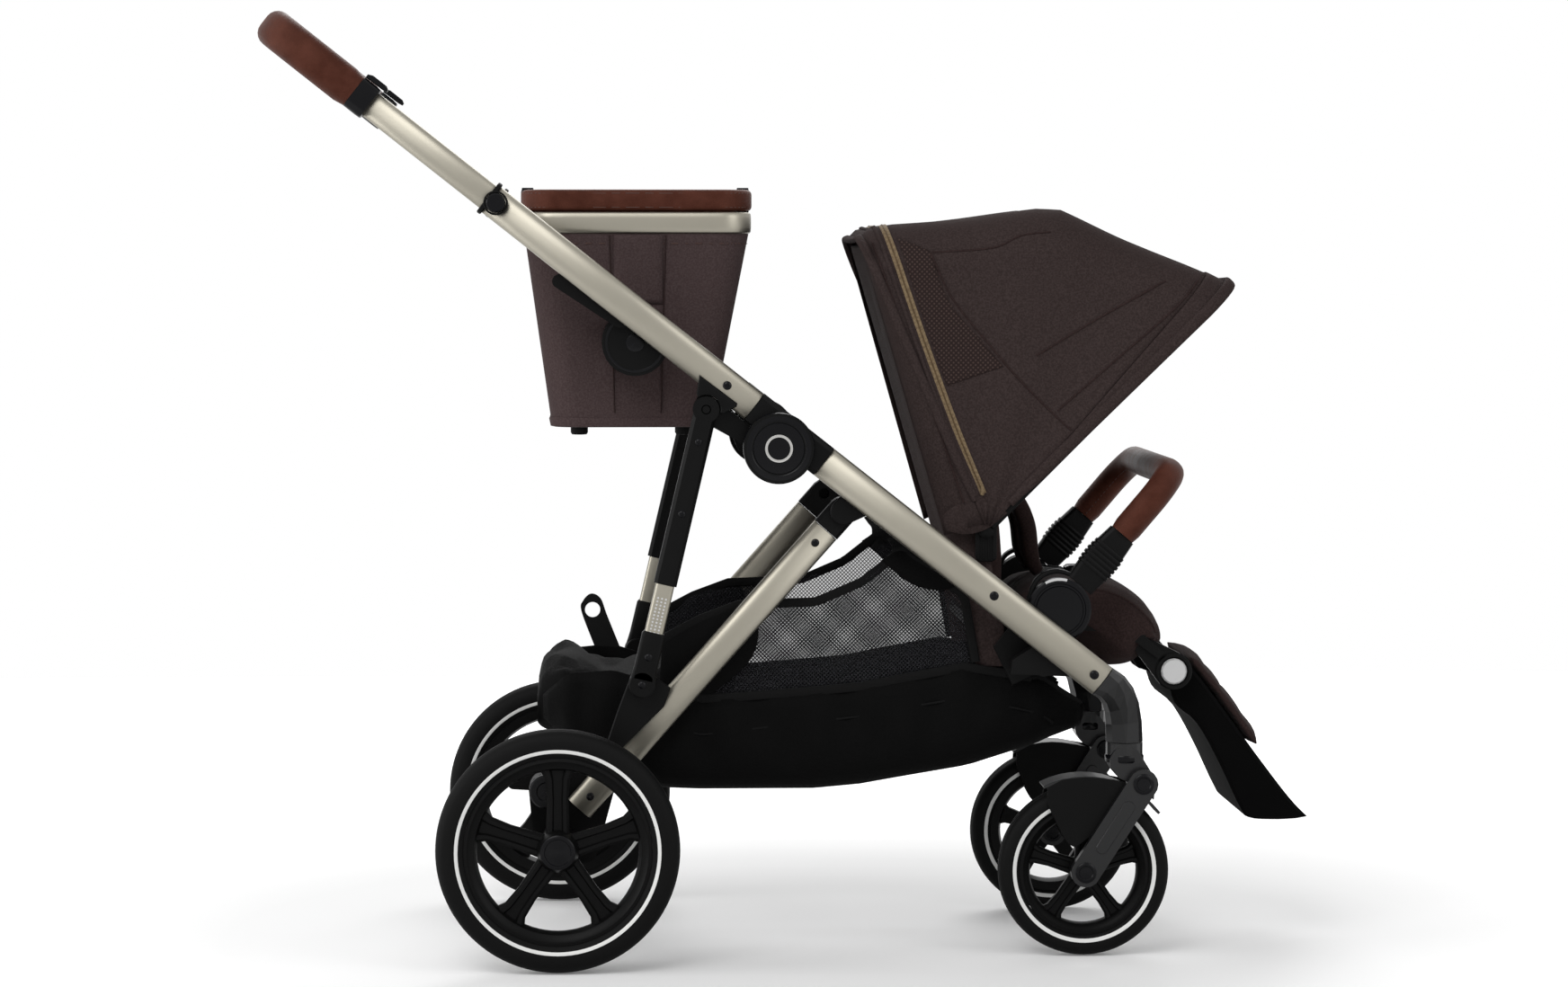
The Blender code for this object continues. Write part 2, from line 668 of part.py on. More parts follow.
def brake_pedal(carrier):
    """The foot bar behind the axle beam, on two short arms."""
    hub_gap = BEAM_R + RUNNING_GAP
    obj = piece(
        "brake_pedal",
        drum(BEAM_X, BEAM_Z, BEAM_R + 0.006, -BRAKE_HALF_WIDTH, BRAKE_HALF_WIDTH, 20),
        "black_plastic",
        carrier,
    )
    arm = hull_of_circles((BEAM_X, BEAM_Z, 0.017), (BRAKE_X, BRAKE_Z, BRAKE_R))
    pedal = prism(arm, -BRAKE_HALF_WIDTH, BRAKE_HALF_WIDTH)
    add(obj, pedal)
    return cut(obj, drum(BEAM_X, BEAM_Z, hub_gap, -0.1, 0.1, 20))


# Wheels


def spun(profile, x, z, side, steps=WHEEL_STEPS):
    """A ring turned about an axle: the profile is radius and distance from the middle plane."""
    rings = []
    for i in range(steps):
        angle = math.tau * i / steps
        rings.append(
            [(x + r * math.cos(angle), side * y, z + r * math.sin(angle)) for r, y in profile]
        )
    return loft(rings, loop=True)


def tyre(name, x, y, z, radius, inner, width, side, carrier):
    """A round-shouldered tyre."""
    half = width / 2
    shoulder = (radius - inner) * 0.30
    profile = [
        (inner, y - half * 0.72),
        (inner + shoulder, y - half),
        (radius - shoulder, y - half * 0.90),
        (radius, y - half * 0.36),
        (radius, y + half * 0.36),
        (radius - shoulder, y + half * 0.90),
        (inner + shoulder, y + half),
        (inner, y + half * 0.72),
    ]
    return piece(name, spun(profile, x, z, side), "tyre_rubber", carrier)


def rim(name, x, y, z, outer, inner, hub, spoke, width, side, carrier):
    """A five-spoked wheel: rim ring, spokes and bored hub."""
    half = width * 0.36
    flat = width * 0.14
    profile = [
        (outer, y - half),
        (outer, y + half),
        (inner + 0.003, y + half),
        (inner, y + flat),
        (inner, y - flat),
        (inner + 0.003, y - half),
    ]
    obj = piece(name, spun(profile, x, z, side), "black_plastic", carrier)
    root, reach = spoke * 0.75, inner + 0.006
    for i in range(SPOKES):
        angle = math.pi / 2 + math.tau * i / SPOKES
        tip = (x + reach * math.cos(angle), z + reach * math.sin(angle))
        add(obj, bar((x, z), tip, root, reach, spoke, width * 0.34, y, side, 0.004))
    return add(obj, drum(x, z, hub, side * (y - width * 0.42), side * (y + width * 0.46), 18))


def rear_wheel(side, name, carrier):
    """A rear tyre on its rim, which turns on the stub axle."""
    place = (REAR_AXLE_X, REAR_AXLE_Y, REAR_AXLE_Z)
    tyre(f"rear_tyre_{name}", *place, REAR_R, REAR_TYRE_INNER_R, REAR_WIDTH, side, carrier)
    wheel = rim(
        f"rear_rim_{name}",
        *place,
        REAR_TYRE_INNER_R - GAP,
        REAR_RIM_INNER_R,
        REAR_HUB_R,
        REAR_SPOKE_WIDTH,
        REAR_WIDTH,
        side,
        carrier,
    )
    hub_inner = REAR_AXLE_Y - REAR_WIDTH / 2 - 0.004
    bore_end = STUB_END_Y + GAP
    bore = drum(REAR_AXLE_X, REAR_AXLE_Z, AXLE_R + 0.0006, side * hub_inner, side * bore_end)
    return cut(wheel, bore)


FORK_INNER = FRONT_WIDTH / 2 + 0.0025
FORK_OUTER = FORK_INNER + FORK_ARM_THICK


def front_wheel(side, name, carrier):
    """A front tyre on its rim, which turns on the fork's axle."""
    place = (FRONT_AXLE_X, FRONT_AXLE_Y, FRONT_AXLE_Z)
    tyre(f"front_tyre_{name}", *place, FRONT_R, FRONT_TYRE_INNER_R, FRONT_WIDTH, side, carrier)
    wheel = rim(
        f"front_rim_{name}",
        *place,
        FRONT_TYRE_INNER_R - GAP,
        FRONT_RIM_INNER_R,
        FRONT_HUB_R,
        FRONT_SPOKE_WIDTH,
        FRONT_WIDTH,
        side,
        carrier,
    )
    reach = FRONT_WIDTH
    bore = drum(
        FRONT_AXLE_X,
        FRONT_AXLE_Z,
        AXLE_R + 0.0006,
        side * (FRONT_AXLE_Y - reach),
        side * (FRONT_AXLE_Y + reach),
    )
    return cut(wheel, bore)


# Front casters


def front_elbow(side, name):
    """The casting that turns the tube's end down and inwards to the swivel."""
    low_x, low_z = on_tube(LOWER_END + GAP)
    rings = [tube_ring(LOWER_END + GAP, LOWER_TUBE_HEIGHT, TUBE_THICK, side)]
    turns = 5
    for i in range(1, turns + 1):
        share = i / turns
        ease = share * share * (3 - 2 * share)
        heading = TUBE_TILT + (math.pi / 2 - TUBE_TILT) * min(1.0, share * 1.15)
        x = low_x + (SWIVEL_X - low_x) * (1 - (1 - share) ** 2)
        z = low_z + (SWIVEL_TOP_Z + GAP - low_z) * (0.35 * share + 0.65 * share * share)
        y = FRAME_Y + (FRONT_AXLE_Y - FRAME_Y) * ease
        height = LOWER_TUBE_HEIGHT + (2 * SWIVEL_R - LOWER_TUBE_HEIGHT) * share
        thick = TUBE_THICK + (2 * SWIVEL_R - TUBE_THICK) * share
        corner = TUBE_CORNER + (SWIVEL_R - 0.0005 - TUBE_CORNER) * share
        ring = []
        for across, out in rounded_box(height, thick, corner):
            up_x, up_z = across * math.sin(heading), across * math.cos(heading)
            ring.append((x + up_x, side * (y + out), z + up_z))
        rings.append(ring)
    obj = piece(f"front_elbow_{name}", loft(rings), "black_plastic")
    low, high = SWIVEL_TOP_Z - 0.01, SWIVEL_TOP_Z + 0.026
    bore = upright_drum(SWIVEL_X, side * FRONT_AXLE_Y, SWIVEL_PIN_R + RUNNING_GAP, low, high)
    return cut(obj, bore)


def fork_head(side, name, carrier):
    """The swivelling head over a front wheel, with the pin that the fork arm turns on."""
    y = side * FRONT_AXLE_Y
    outline = convex(
        circle(SWIVEL_X, SWIVEL_TOP_Z - 0.022, 0.0195)
        + circle(FORK_PIVOT_X, FORK_PIVOT_Z, 0.0165)
        + [(FORK_PIVOT_X + 0.014, FORK_PIVOT_Z - 0.022), (SWIVEL_X, FORK_PIVOT_Z - 0.004)]
    )
    half = FORK_INNER - 0.0012
    obj = piece(f"fork_head_{name}", prism(outline, y - half, y + half), "black_plastic", carrier)
    neck = upright_drum(SWIVEL_X, y, SWIVEL_R, SWIVEL_TOP_Z - 0.024, SWIVEL_TOP_Z - GAP, 20)
    pin = upright_drum(SWIVEL_X, y, SWIVEL_PIN_R, SWIVEL_TOP_Z - 0.01, SWIVEL_TOP_Z + 0.024, 16)
    pin_reach = side * (FORK_OUTER - 0.002)
    cross_pin = drum(FORK_PIVOT_X, FORK_PIVOT_Z, 0.0065, y - pin_reach, y + pin_reach)
    add(obj, neck, pin)
    room = drum(
        FRONT_AXLE_X, FRONT_AXLE_Z, FENDER_INNER_R + FENDER_THICK + 0.0045, y - 0.05, y + 0.05, 36
    )
    cut(obj, room)
    return add(obj, cross_pin)


def fork_arm(side, name, carrier):
    """The swing arm of a front wheel: two side plates, the axle between them and the mudguard."""
    y = side * FRONT_AXLE_Y
    outline = hull_of_circles(
        (FORK_PIVOT_X, FORK_PIVOT_Z, FORK_PIVOT_R), (FRONT_AXLE_X, FRONT_AXLE_Z, FORK_AXLE_R * 0.85)
    )
    outer_plate = prism(outline, y + side * FORK_INNER, y + side * FORK_OUTER)
    obj = piece(f"fork_arm_{name}", outer_plate, "black_plastic", carrier)
    inner_plate = prism(outline, y - side * FORK_INNER, y - side * FORK_OUTER)
    axle_reach = side * (FORK_INNER + 0.004)
    axle = drum(FRONT_AXLE_X, FRONT_AXLE_Z, AXLE_R, y - axle_reach, y + axle_reach)
    guard = fender(y)
    add(obj, inner_plate, axle, guard)
    bore = drum(FORK_PIVOT_X, FORK_PIVOT_Z, 0.0075, y - 0.05, y + 0.05)
    return cut(obj, bore)


def fender(y):
    """The mudguard: an arched channel over the top of the wheel."""
    start, end = math.radians(38), math.radians(116)
    steps = 12
    half = FORK_INNER + 0.002
    rings = []
    for i in range(steps + 1):
        angle = start + (end - start) * i / steps
        low, high = FENDER_INNER_R, FENDER_INNER_R + FENDER_THICK
        ring = []
        for radius, aside in ((low, -half), (high, -half), (high, half), (low, half)):
            x, z = FRONT_AXLE_X + radius * math.cos(angle), FRONT_AXLE_Z + radius * math.sin(angle)
            ring.append((x, y + aside, z))
        rings.append(ring)
    return loft(rings)


# Seat


MOUNT_BAR_BACK = 0.019  # the bar stands behind the seat hub
MOUNT_BAR_DROP = 0.070  # and below it
MOUNT_BAR_R = 0.0105
MOUNT_BLOCK_LENGTH = 0.090


def seat_mount_bar():
    """The bar between the front tubes, with the two blocks that the seat's hubs stand on."""
    bar_x, bar_z = HUB_X - MOUNT_BAR_BACK, HUB_Z - MOUNT_BAR_DROP
    reach = TUBE_INNER_Y - GAP
    obj = piece("seat_mount_bar", drum(bar_x, bar_z, MOUNT_BAR_R, -reach, reach), "black_plastic")
    top = HUB_Z - HUB_R - GAP
    foot = ((-0.444, -0.078), (0.511, -0.122))
    shoulders = ((0.556, -0.089), (0.444, 0.0), (-0.044, 0.0))
    block = [
        *from_point(bar_x, bar_z, MOUNT_BLOCK_LENGTH, foot),
        *from_point(bar_x, top, MOUNT_BLOCK_LENGTH, shoulders),
        *from_point(bar_x, bar_z, MOUNT_BLOCK_LENGTH, ((-0.422, 0.111),)),
    ]
    for side, _ in SIDES:
        add(obj, side_plate(block, HUB_INNER_Y + 0.001, reach, side))
    return obj


TRAY_HALF_WIDTH = 0.150
TRAY_TOP = HUB_Z - 0.018
KNEE_BRACKET_Y = LEGREST_HALF_WIDTH + 0.008
KNEE_BRACKET_THICK = 0.016


def seat_frame(carrier):
    """The seat's two hubs, the tray between them and the brackets of the leg rest."""
    tray = [
        (RECLINE_X, TRAY_TOP - 0.011),
        (LEGREST_X - 0.066, TRAY_TOP - 0.014),
        (LEGREST_X - 0.020, TRAY_TOP - 0.048),
        (LEGREST_X - 0.013, TRAY_TOP - 0.040),
        (LEGREST_X - 0.058, TRAY_TOP - 0.001),
        (RECLINE_X, TRAY_TOP),
    ]
    obj = piece("seat_frame", prism(tray, -TRAY_HALF_WIDTH, TRAY_HALF_WIDTH), "black_plastic", carrier)
    cross = drum(HUB_X, TRAY_TOP - 0.006, 0.0095, -HUB_INNER_Y - 0.002, HUB_INNER_Y + 0.002)
    bar_reach = TRAY_HALF_WIDTH - 0.004
    hinge_bar = drum(RECLINE_X, RECLINE_Z, RECLINE_BAR_R, -bar_reach, bar_reach, 20)
    add(obj, cross, hinge_bar)
    outline = hull_of_circles(
        (LEGREST_X, LEGREST_Z, LEGREST_HUB_R), (LEGREST_X - 0.036, LEGREST_Z + 0.030, 0.012)
    )
    for side, _ in SIDES:
        hub = drum(HUB_X, HUB_Z, HUB_R, side * HUB_INNER_Y, side * HUB_OUTER_Y, 28)
        bracket = side_plate(outline, KNEE_BRACKET_Y, KNEE_BRACKET_Y + KNEE_BRACKET_THICK, side)
        add(obj, hub, bracket)
        recess = drum(
            LEGREST_X,
            LEGREST_Z,
            LEGREST_BUTTON_R + RUNNING_GAP,
            side * (KNEE_BRACKET_Y + KNEE_BRACKET_THICK - 0.004),
            side * (KNEE_BRACKET_Y + KNEE_BRACKET_THICK + 0.01),
        )
        cut(obj, recess)
    return obj


def legrest_button(side, name, carrier):
    """The round silver button on a leg-rest bracket."""
    low = KNEE_BRACKET_Y + KNEE_BRACKET_THICK - 0.004 + BUTTON_TRAVEL
    button = round_button(LEGREST_X, LEGREST_Z, LEGREST_BUTTON_R, low, 0.005, 0.002, side)
    return piece(f"legrest_button_{name}", button, "silver_plastic", carrier)


def pad(line, half_width, thick, pull, crown, steps=12):
    """A stuffed pad along a side-view line: crowned on top, its sides drawn in between the corners."""
    total = len(line) - 1
    rings = []
    for number, (x, z) in enumerate(line):
        before, after = line[max(0, number - 1)], line[min(total, number + 1)]
        run = Vector((after[0] - before[0], after[1] - before[1])).normalized()
        up = Vector((-run.y, run.x))
        share = number / total
        bulge = math.sin(math.pi * share)
        fullness = 0.42 + 0.58 * min(1.0, 2.6 * bulge)
        width = half_width - pull * bulge
        ring = []
        for i in range(steps):
            angle = math.tau * i / steps
            wide, high = math.cos(angle), math.sin(angle)
            y = width * math.copysign(abs(wide) ** 0.55, wide)
            lift = 1.0 + crown * (1 - (y / width) ** 2) if high > 0 else 0.8
            rise = thick / 2 * fullness * lift * math.copysign(abs(high) ** 0.7, high)
            ring.append((x + up.x * rise, y, z + up.y * rise))
        rings.append(ring)
    return loft(rings)


def smooth_line(points, steps):
    """Even points on a smooth curve through the given side-view points."""
    knots = [points[0]] + list(points) + [points[-1]]
    count = len(points) - 1
    line = []
    for i in range(steps + 1):
        place = min(i / steps * count, count - 1e-9)
        k = int(place)
        t = place - k
        p0, p1, p2, p3 = knots[k : k + 4]
        point = []
        for a, b, c, d in zip(p0, p1, p2, p3):
            bend, twist = 2 * a - 5 * b + 4 * c - d, 3 * b - a - 3 * c + d
            point.append(0.5 * (2 * b + (c - a) * t + bend * t * t + twist * t**3))
        line.append(tuple(point))
    return line


CUSHION_THICK = 0.040


def seat_cushion(carrier):
    """The seat pad on the tray, rolled down over its front edge."""
    middle = TRAY_TOP + CUSHION_THICK / 2 - 0.0003
    line = smooth_line(
        [
            (RECLINE_X + 0.060, middle + 0.002),
            (HUB_X, middle),
            (LEGREST_X - 0.070, middle),
            (LEGREST_X - 0.024, middle - 0.022),
            (LEGREST_X - 0.004, middle - 0.050),
        ],
        14,
    )
    shape = pad(line, SEAT_HALF_WIDTH, CUSHION_THICK, 0.008, 0.25, 20)
    return piece("seat_cushion", shape, "brown_fabric", carrier)


BACK_LENGTH = 0.4791
BACK_SETBACK = 0.010  # the back's rear face behind its hinge bar
BACK_ANGLE = math.radians(106.2)
BACK_THICK = 0.036
WING_DEPTH = 0.088


def backrest(carrier):
    """The padded back, with side wings that reach forward."""
    up = Vector((math.cos(BACK_ANGLE), math.sin(BACK_ANGLE)))
    forward = Vector((up.y, -up.x))
    base = Vector((RECLINE_X, RECLINE_Z)) + up * (RECLINE_BAR_R + RUNNING_GAP) - forward * BACK_SETBACK
    rings = []
    steps = 12
    for i in range(steps + 1):
        share = i / steps
        fullness = math.sin(math.pi * min(1.0, 0.06 + 0.94 * share)) ** 0.7
        wing = BACK_THICK + (WING_DEPTH - BACK_THICK) * fullness
        half = BACK_HALF_WIDTH * (1 - 0.16 * share**3) - 0.010 * math.sin(math.pi * share)
        edge = 0.012
        crown = 0.010 * math.sin(math.pi * share)
        section = [
            (0.0, -half + edge),
            (edge, -half),
            (wing - edge, -half),
            (wing, -half + edge),
            (wing - edge, -half + 0.030),
            (BACK_THICK, -half + 0.045),
            (BACK_THICK + crown * 0.8, -half * 0.35),
            (BACK_THICK + crown, 0.0),
        ]
        mirrored = [(depth, -y) for depth, y in reversed(section[:-1])]
        centre = base + up * (BACK_LENGTH * share)
        ring = []
        for depth, y in section + mirrored:
            ring.append((centre.x + forward.x * depth, y, centre.y + forward.y * depth))
        rings.append(ring)
    return piece("backrest", loft(rings), "brown_fabric", carrier)


# Canopy: its roof line from the back edge to the visor's edge
CANOPY_ROOF = [
    (0.092, 0.879),
    (0.119, 0.886),
    (0.209, 0.896),
    (0.314, 0.905),
    (0.331, 0.903),
    (0.430, 0.861),
    (0.514, 0.823),
    (0.541, 0.810),
]
CANOPY_WALL = 0.004
CANOPY_START_R = 0.030
CANOPY_CORNER = 0.060


def arch(angle, length, half_width, start, corner, steps=4):
    """Points of a hoop: up one side from the pivot, over the roof and down the other side."""
    flat = [(start, -half_width), (length * 0.5, -half_width)]
    for i in range(steps + 1):
        turn = math.pi / 2 * i / steps
        flat.append(
            (length - corner + corner * math.sin(turn), -half_width + corner - corner * math.cos(turn))
        )
    flat.append((length, 0.0))
    flat += [(r, -y) for r, y in reversed(flat[:-1])]
    return [(CANOPY_X + r * math.cos(angle), y, CANOPY_Z + r * math.sin(angle)) for r, y in flat]


def canopy(carrier):
    """The canopy: a thin shell fanned about its pivot."""
    rings = []
    for x, z in CANOPY_ROOF:
        angle = math.atan2(z - CANOPY_Z, x - CANOPY_X)
        length = math.hypot(x - CANOPY_X, z - CANOPY_Z)
        outer = arch(angle, length, CANOPY_HALF_WIDTH, CANOPY_START_R, CANOPY_CORNER)
        inner = arch(
            angle,
            length - CANOPY_WALL,
            CANOPY_HALF_WIDTH - CANOPY_WALL,
            CANOPY_START_R,
            CANOPY_CORNER - CANOPY_WALL,
        )
        rings.append(outer + inner[::-1])
    return piece("canopy", loft(rings), "brown_fabric", carrier)


BOW_HALF_WIDTH = CANOPY_HALF_WIDTH - CANOPY_WALL - RUNNING_GAP
BOW_THICK = 0.006
BOW_DEPTH = 0.011
BOW_ROOF_GAP = 0.006  # the roof falls away behind its front edge


def canopy_bow(carrier):
    """The front hoop under the visor, on two pivot discs."""
    x, z = CANOPY_ROOF[-1]
    angle = math.atan2(z - CANOPY_Z, x - CANOPY_X)
    length = math.hypot(x - CANOPY_X, z - CANOPY_Z) - CANOPY_WALL - RUNNING_GAP
    corner = CANOPY_CORNER - CANOPY_WALL - RUNNING_GAP
    first = angle + 0.004
    last = first + BOW_DEPTH / length
    edges = []
    for lean, inset in ((first, 0.0), (last, 0.0), (last, BOW_THICK), (first, BOW_THICK)):
        reach = length - BOW_ROOF_GAP - inset
        edges.append(arch(lean, reach, BOW_HALF_WIDTH - inset, 0.010, corner - inset))
    sections = [list(section) for section in zip(*edges)]
    obj = piece("canopy_bow", loft(sections), "black_plastic", carrier)
    for side, _ in SIDES:
        disc = drum(CANOPY_X, CANOPY_Z, 0.017, side * (BOW_HALF_WIDTH - 0.009), side * BOW_HALF_WIDTH)
        add(obj, disc)
    return obj


# Bumper bar
BUMPER_ARM_END = 0.118
BUMPER_Y = (HUB_INNER_Y + HUB_OUTER_Y) / 2
BUMPER_LEG = 0.096
BUMPER_BEND = 0.045


def on_bumper(along, across=0.0):
    """A side-view point by its distance from the seat hub along the bumper bar."""
    x = HUB_X + along * math.cos(BUMPER_ANGLE) - across * math.sin(BUMPER_ANGLE)
    z = HUB_Z + along * math.sin(BUMPER_ANGLE) + across * math.cos(BUMPER_ANGLE)
    return x, z


def bumper_arm(side, name, carrier):
    """The black arm between the seat hub and the grip."""
    rings = []
    for along, width, thick in (
        (HUB_R + GAP, 0.036, 0.020),
        (0.060, 0.040, 0.021),
        (0.084, 0.042, 0.021),
        (0.100, 0.038, 0.021),
        (BUMPER_ARM_END, 0.034, 0.020),
    ):
        ring = []
        for across, out in rounded_box(width, thick, 0.005):
            x, z = on_bumper(along, across)
            ring.append((x, side * (BUMPER_Y + out), z))
        rings.append(ring)
    return piece(f"bumper_arm_{name}", loft(rings), "black_plastic", carrier)


def swept_bow(place, start, leg, bend, half_span, height, thick, corner):
    """A padded bow: two legs and a crossbar. place turns distance along and across into x and z."""
    turn_start = start + leg - bend
    path = [(start, -half_span, 0.0), (start + 0.004, -half_span, 0.0), (turn_start, -half_span, 0.0)]
    bends = 5
    for i in range(1, bends + 1):
        angle = math.pi / 2 * i / bends
        along = turn_start + bend * math.sin(angle)
        path.append((along, -half_span + bend * (1 - math.cos(angle)), angle))
    path.append((turn_start + bend, 0.0, math.pi / 2))
    path += [(along, -y, math.pi - angle) for along, y, angle in reversed(path[:-1])]
    rings = []
    for number, (along, y, angle) in enumerate(path):
        size = 0.90 if number in (0, len(path) - 1) else 1.0
        ring = []
        for across, aside in rounded_box(height * size, thick * size, corner * size, 2):
            x, z = place(along + aside * math.sin(angle), across)
            ring.append((x, y - aside * math.cos(angle), z))
        rings.append(ring)
    return loft(rings)


def bumper_grip(carrier):
    """The padded bow in front of the child."""
    size, corner = 2 * BUMPER_GRIP_R, 0.92 * BUMPER_GRIP_R
    low = BUMPER_ARM_END + GAP
    bow = swept_bow(on_bumper, low, BUMPER_LEG, BUMPER_BEND, BUMPER_Y, size, size * 0.94, corner)
    return piece("bumper_grip", bow, "brown_leatherette", carrier)


# The leg rest seen from the side, from its pivot, in shares of its size
LEGREST_SHELL = [
    (-0.006, -0.088),
    (0.028, -0.176),
    (0.128, -0.264),
    (0.232, -0.444),
    (0.352, -0.692),
    (0.392, -0.736),
    (0.576, -0.746),
    (0.680, -0.732),
    (0.588, -0.636),
    (0.420, -0.416),
    (0.260, -0.196),
    (0.116, -0.008),
    (0.056, 0.024),
]
LEGREST_PAD_LINE = [(0.172, -0.0108), (0.254, -0.1088), (0.358, -0.2508), (0.490, -0.4388)]


def legrest(carrier):
    """The black shell under the child's legs, with its two hubs and the foot ledge."""
    outline = from_point(LEGREST_X, LEGREST_Z, LEGREST_SIZE, LEGREST_SHELL)
    shell = prism(outline, -LEGREST_HALF_WIDTH, LEGREST_HALF_WIDTH)
    obj = piece("legrest", shell, "black_plastic", carrier)
    for side, _ in SIDES:
        start, end = LEGREST_HALF_WIDTH - 0.030, KNEE_BRACKET_Y - RUNNING_GAP
        add(obj, drum(LEGREST_X, LEGREST_Z, LEGREST_HUB_R - 0.002, side * start, side * end))
    return obj


def legrest_pad(carrier):
    """The soft pad on the leg rest."""
    points = from_point(LEGREST_X, LEGREST_Z, LEGREST_SIZE, LEGREST_PAD_LINE)
    line = smooth_line(points, 8)[::-1]
    shape = pad(line, LEGREST_HALF_WIDTH - 0.004, LEGREST_PAD_THICK, 0.004, 0.20, 16)
    return piece("legrest_pad", shape, "brown_fabric", carrier)


# Box bag

BAG_TOP_REAR, BAG_TOP_FRONT = -0.322, -0.050
BAG_BOTTOM_REAR, BAG_BOTTOM_FRONT = -0.289, -0.096
BAG_BOTTOM_Z = 0.640
BAG_TOP_Z = BAG_RIM_Z - GAP


def bag_ring(z, inset=0.0, grow=0.0):
    """The bag's plan at a height: a rectangle with round corners."""
    share = (z - BAG_BOTTOM_Z) / (BAG_TOP_Z - BAG_BOTTOM_Z)
    rear = BAG_BOTTOM_REAR + (BAG_TOP_REAR - BAG_BOTTOM_REAR) * share
    front = BAG_BOTTOM_FRONT + (BAG_TOP_FRONT - BAG_BOTTOM_FRONT) * share
    middle = (rear + front) / 2
    length = front - rear - 2 * inset + 2 * grow
    width = 2 * (BAG_HALF_WIDTH - inset + grow)
    corner = 0.034 - inset + grow
    return [(middle + along, y, z) for along, y in rounded_box(length, width, corner, 3)]


def bag_body(carrier):
    """The open box of the bag, with its four feet."""
    rings = [bag_ring(BAG_BOTTOM_Z, 0.006), bag_ring(BAG_BOTTOM_Z + 0.006), bag_ring(BAG_TOP_Z)]
    obj = piece("bag_body", loft(rings), "brown_fabric", carrier)
    floor = BAG_BOTTOM_Z + BAG_WALL
    room = loft([bag_ring(floor, BAG_WALL), bag_ring(BAG_TOP_Z + 0.02, BAG_WALL)])
    cut(obj, room)
    for side, _ in SIDES:
        for x in (BAG_BOTTOM_REAR + 0.033, BAG_BOTTOM_FRONT - 0.033):
            y = side * (BAG_HALF_WIDTH - 0.045)
            add(obj, upright_drum(x, y, 0.010, BAG_BOTTOM_Z - 0.010, BAG_BOTTOM_Z + 0.003, 16))
    return obj


POST_THICK = 0.012
POST_HALF_WIDTH = 0.0065
HANDLE_HEIGHT = 0.026
HANDLE_WIDTH = 0.017
HANDLE_PIVOT_Y = POST_HALF_WIDTH + HANDLE_HEIGHT / 2 + 0.0006
BAG_HANDLE_Z = BAG_RIM_Z + BAG_RIM_HEIGHT + HANDLE_HEIGHT / 2 + RUNNING_GAP


def bag_rim(carrier):
    """The rim of the bag, with a post at each end that the handles turn on."""
    low, high = BAG_RIM_Z, BAG_RIM_Z + BAG_RIM_HEIGHT
    outer = [bag_ring(BAG_TOP_Z, 0.0, 0.003), bag_ring(BAG_TOP_Z, 0.0, 0.003)]
    inner = [bag_ring(BAG_TOP_Z, BAG_WALL), bag_ring(BAG_TOP_Z, BAG_WALL)]
    levels = (low, high)
    rings = [[(x, y, z) for x, y, _ in ring] for ring, z in zip(outer, levels)]
    rings += [[(x, y, z) for x, y, _ in ring] for ring, z in zip(inner, levels[::-1])]
    obj = piece("bag_rim", loft(rings, loop=True), "champagne_aluminium", carrier)
    for end in (BAG_TOP_REAR - 0.003, BAG_TOP_FRONT + 0.003 - POST_THICK):
        outline = [
            (end, high - 0.004),
            (end + POST_THICK, high - 0.004),
            (end + POST_THICK, BAG_HANDLE_Z + 0.012),
            (end, BAG_HANDLE_Z + 0.012),
        ]
        add(obj, prism(outline, -POST_HALF_WIDTH, POST_HALF_WIDTH))
    return obj


def bag_handle(side, name, carrier):
    """A leather handle: a flat bow that lies on the rim and swings up."""
    rear = BAG_TOP_REAR + 0.004
    front = BAG_TOP_FRONT - 0.004
    middle, half_span = (rear + front) / 2, (front - rear) / 2

    def place(along, across):
        return side * along, BAG_HANDLE_Z + across

    reach = BAG_HALF_WIDTH - 0.010 - HANDLE_PIVOT_Y
    bow = swept_bow(
        place, HANDLE_PIVOT_Y, reach, 0.036, half_span, HANDLE_HEIGHT, HANDLE_WIDTH, HANDLE_WIDTH * 0.38
    )
    for vertex in bow.verts:
        out, along, up = vertex.co
        vertex.co = (middle + along, out, up)
    obj = piece(f"bag_handle_{name}", bow, "brown_leatherette", carrier)
    round_eye = circle(side * HANDLE_PIVOT_Y, BAG_HANDLE_Z, HANDLE_HEIGHT / 2)
    for x in (rear, front):
        faces = (x - HANDLE_WIDTH / 2, x + HANDLE_WIDTH / 2)
        add(obj, loft([[(face, y, z) for y, z in round_eye] for face in faces]))
    return obj


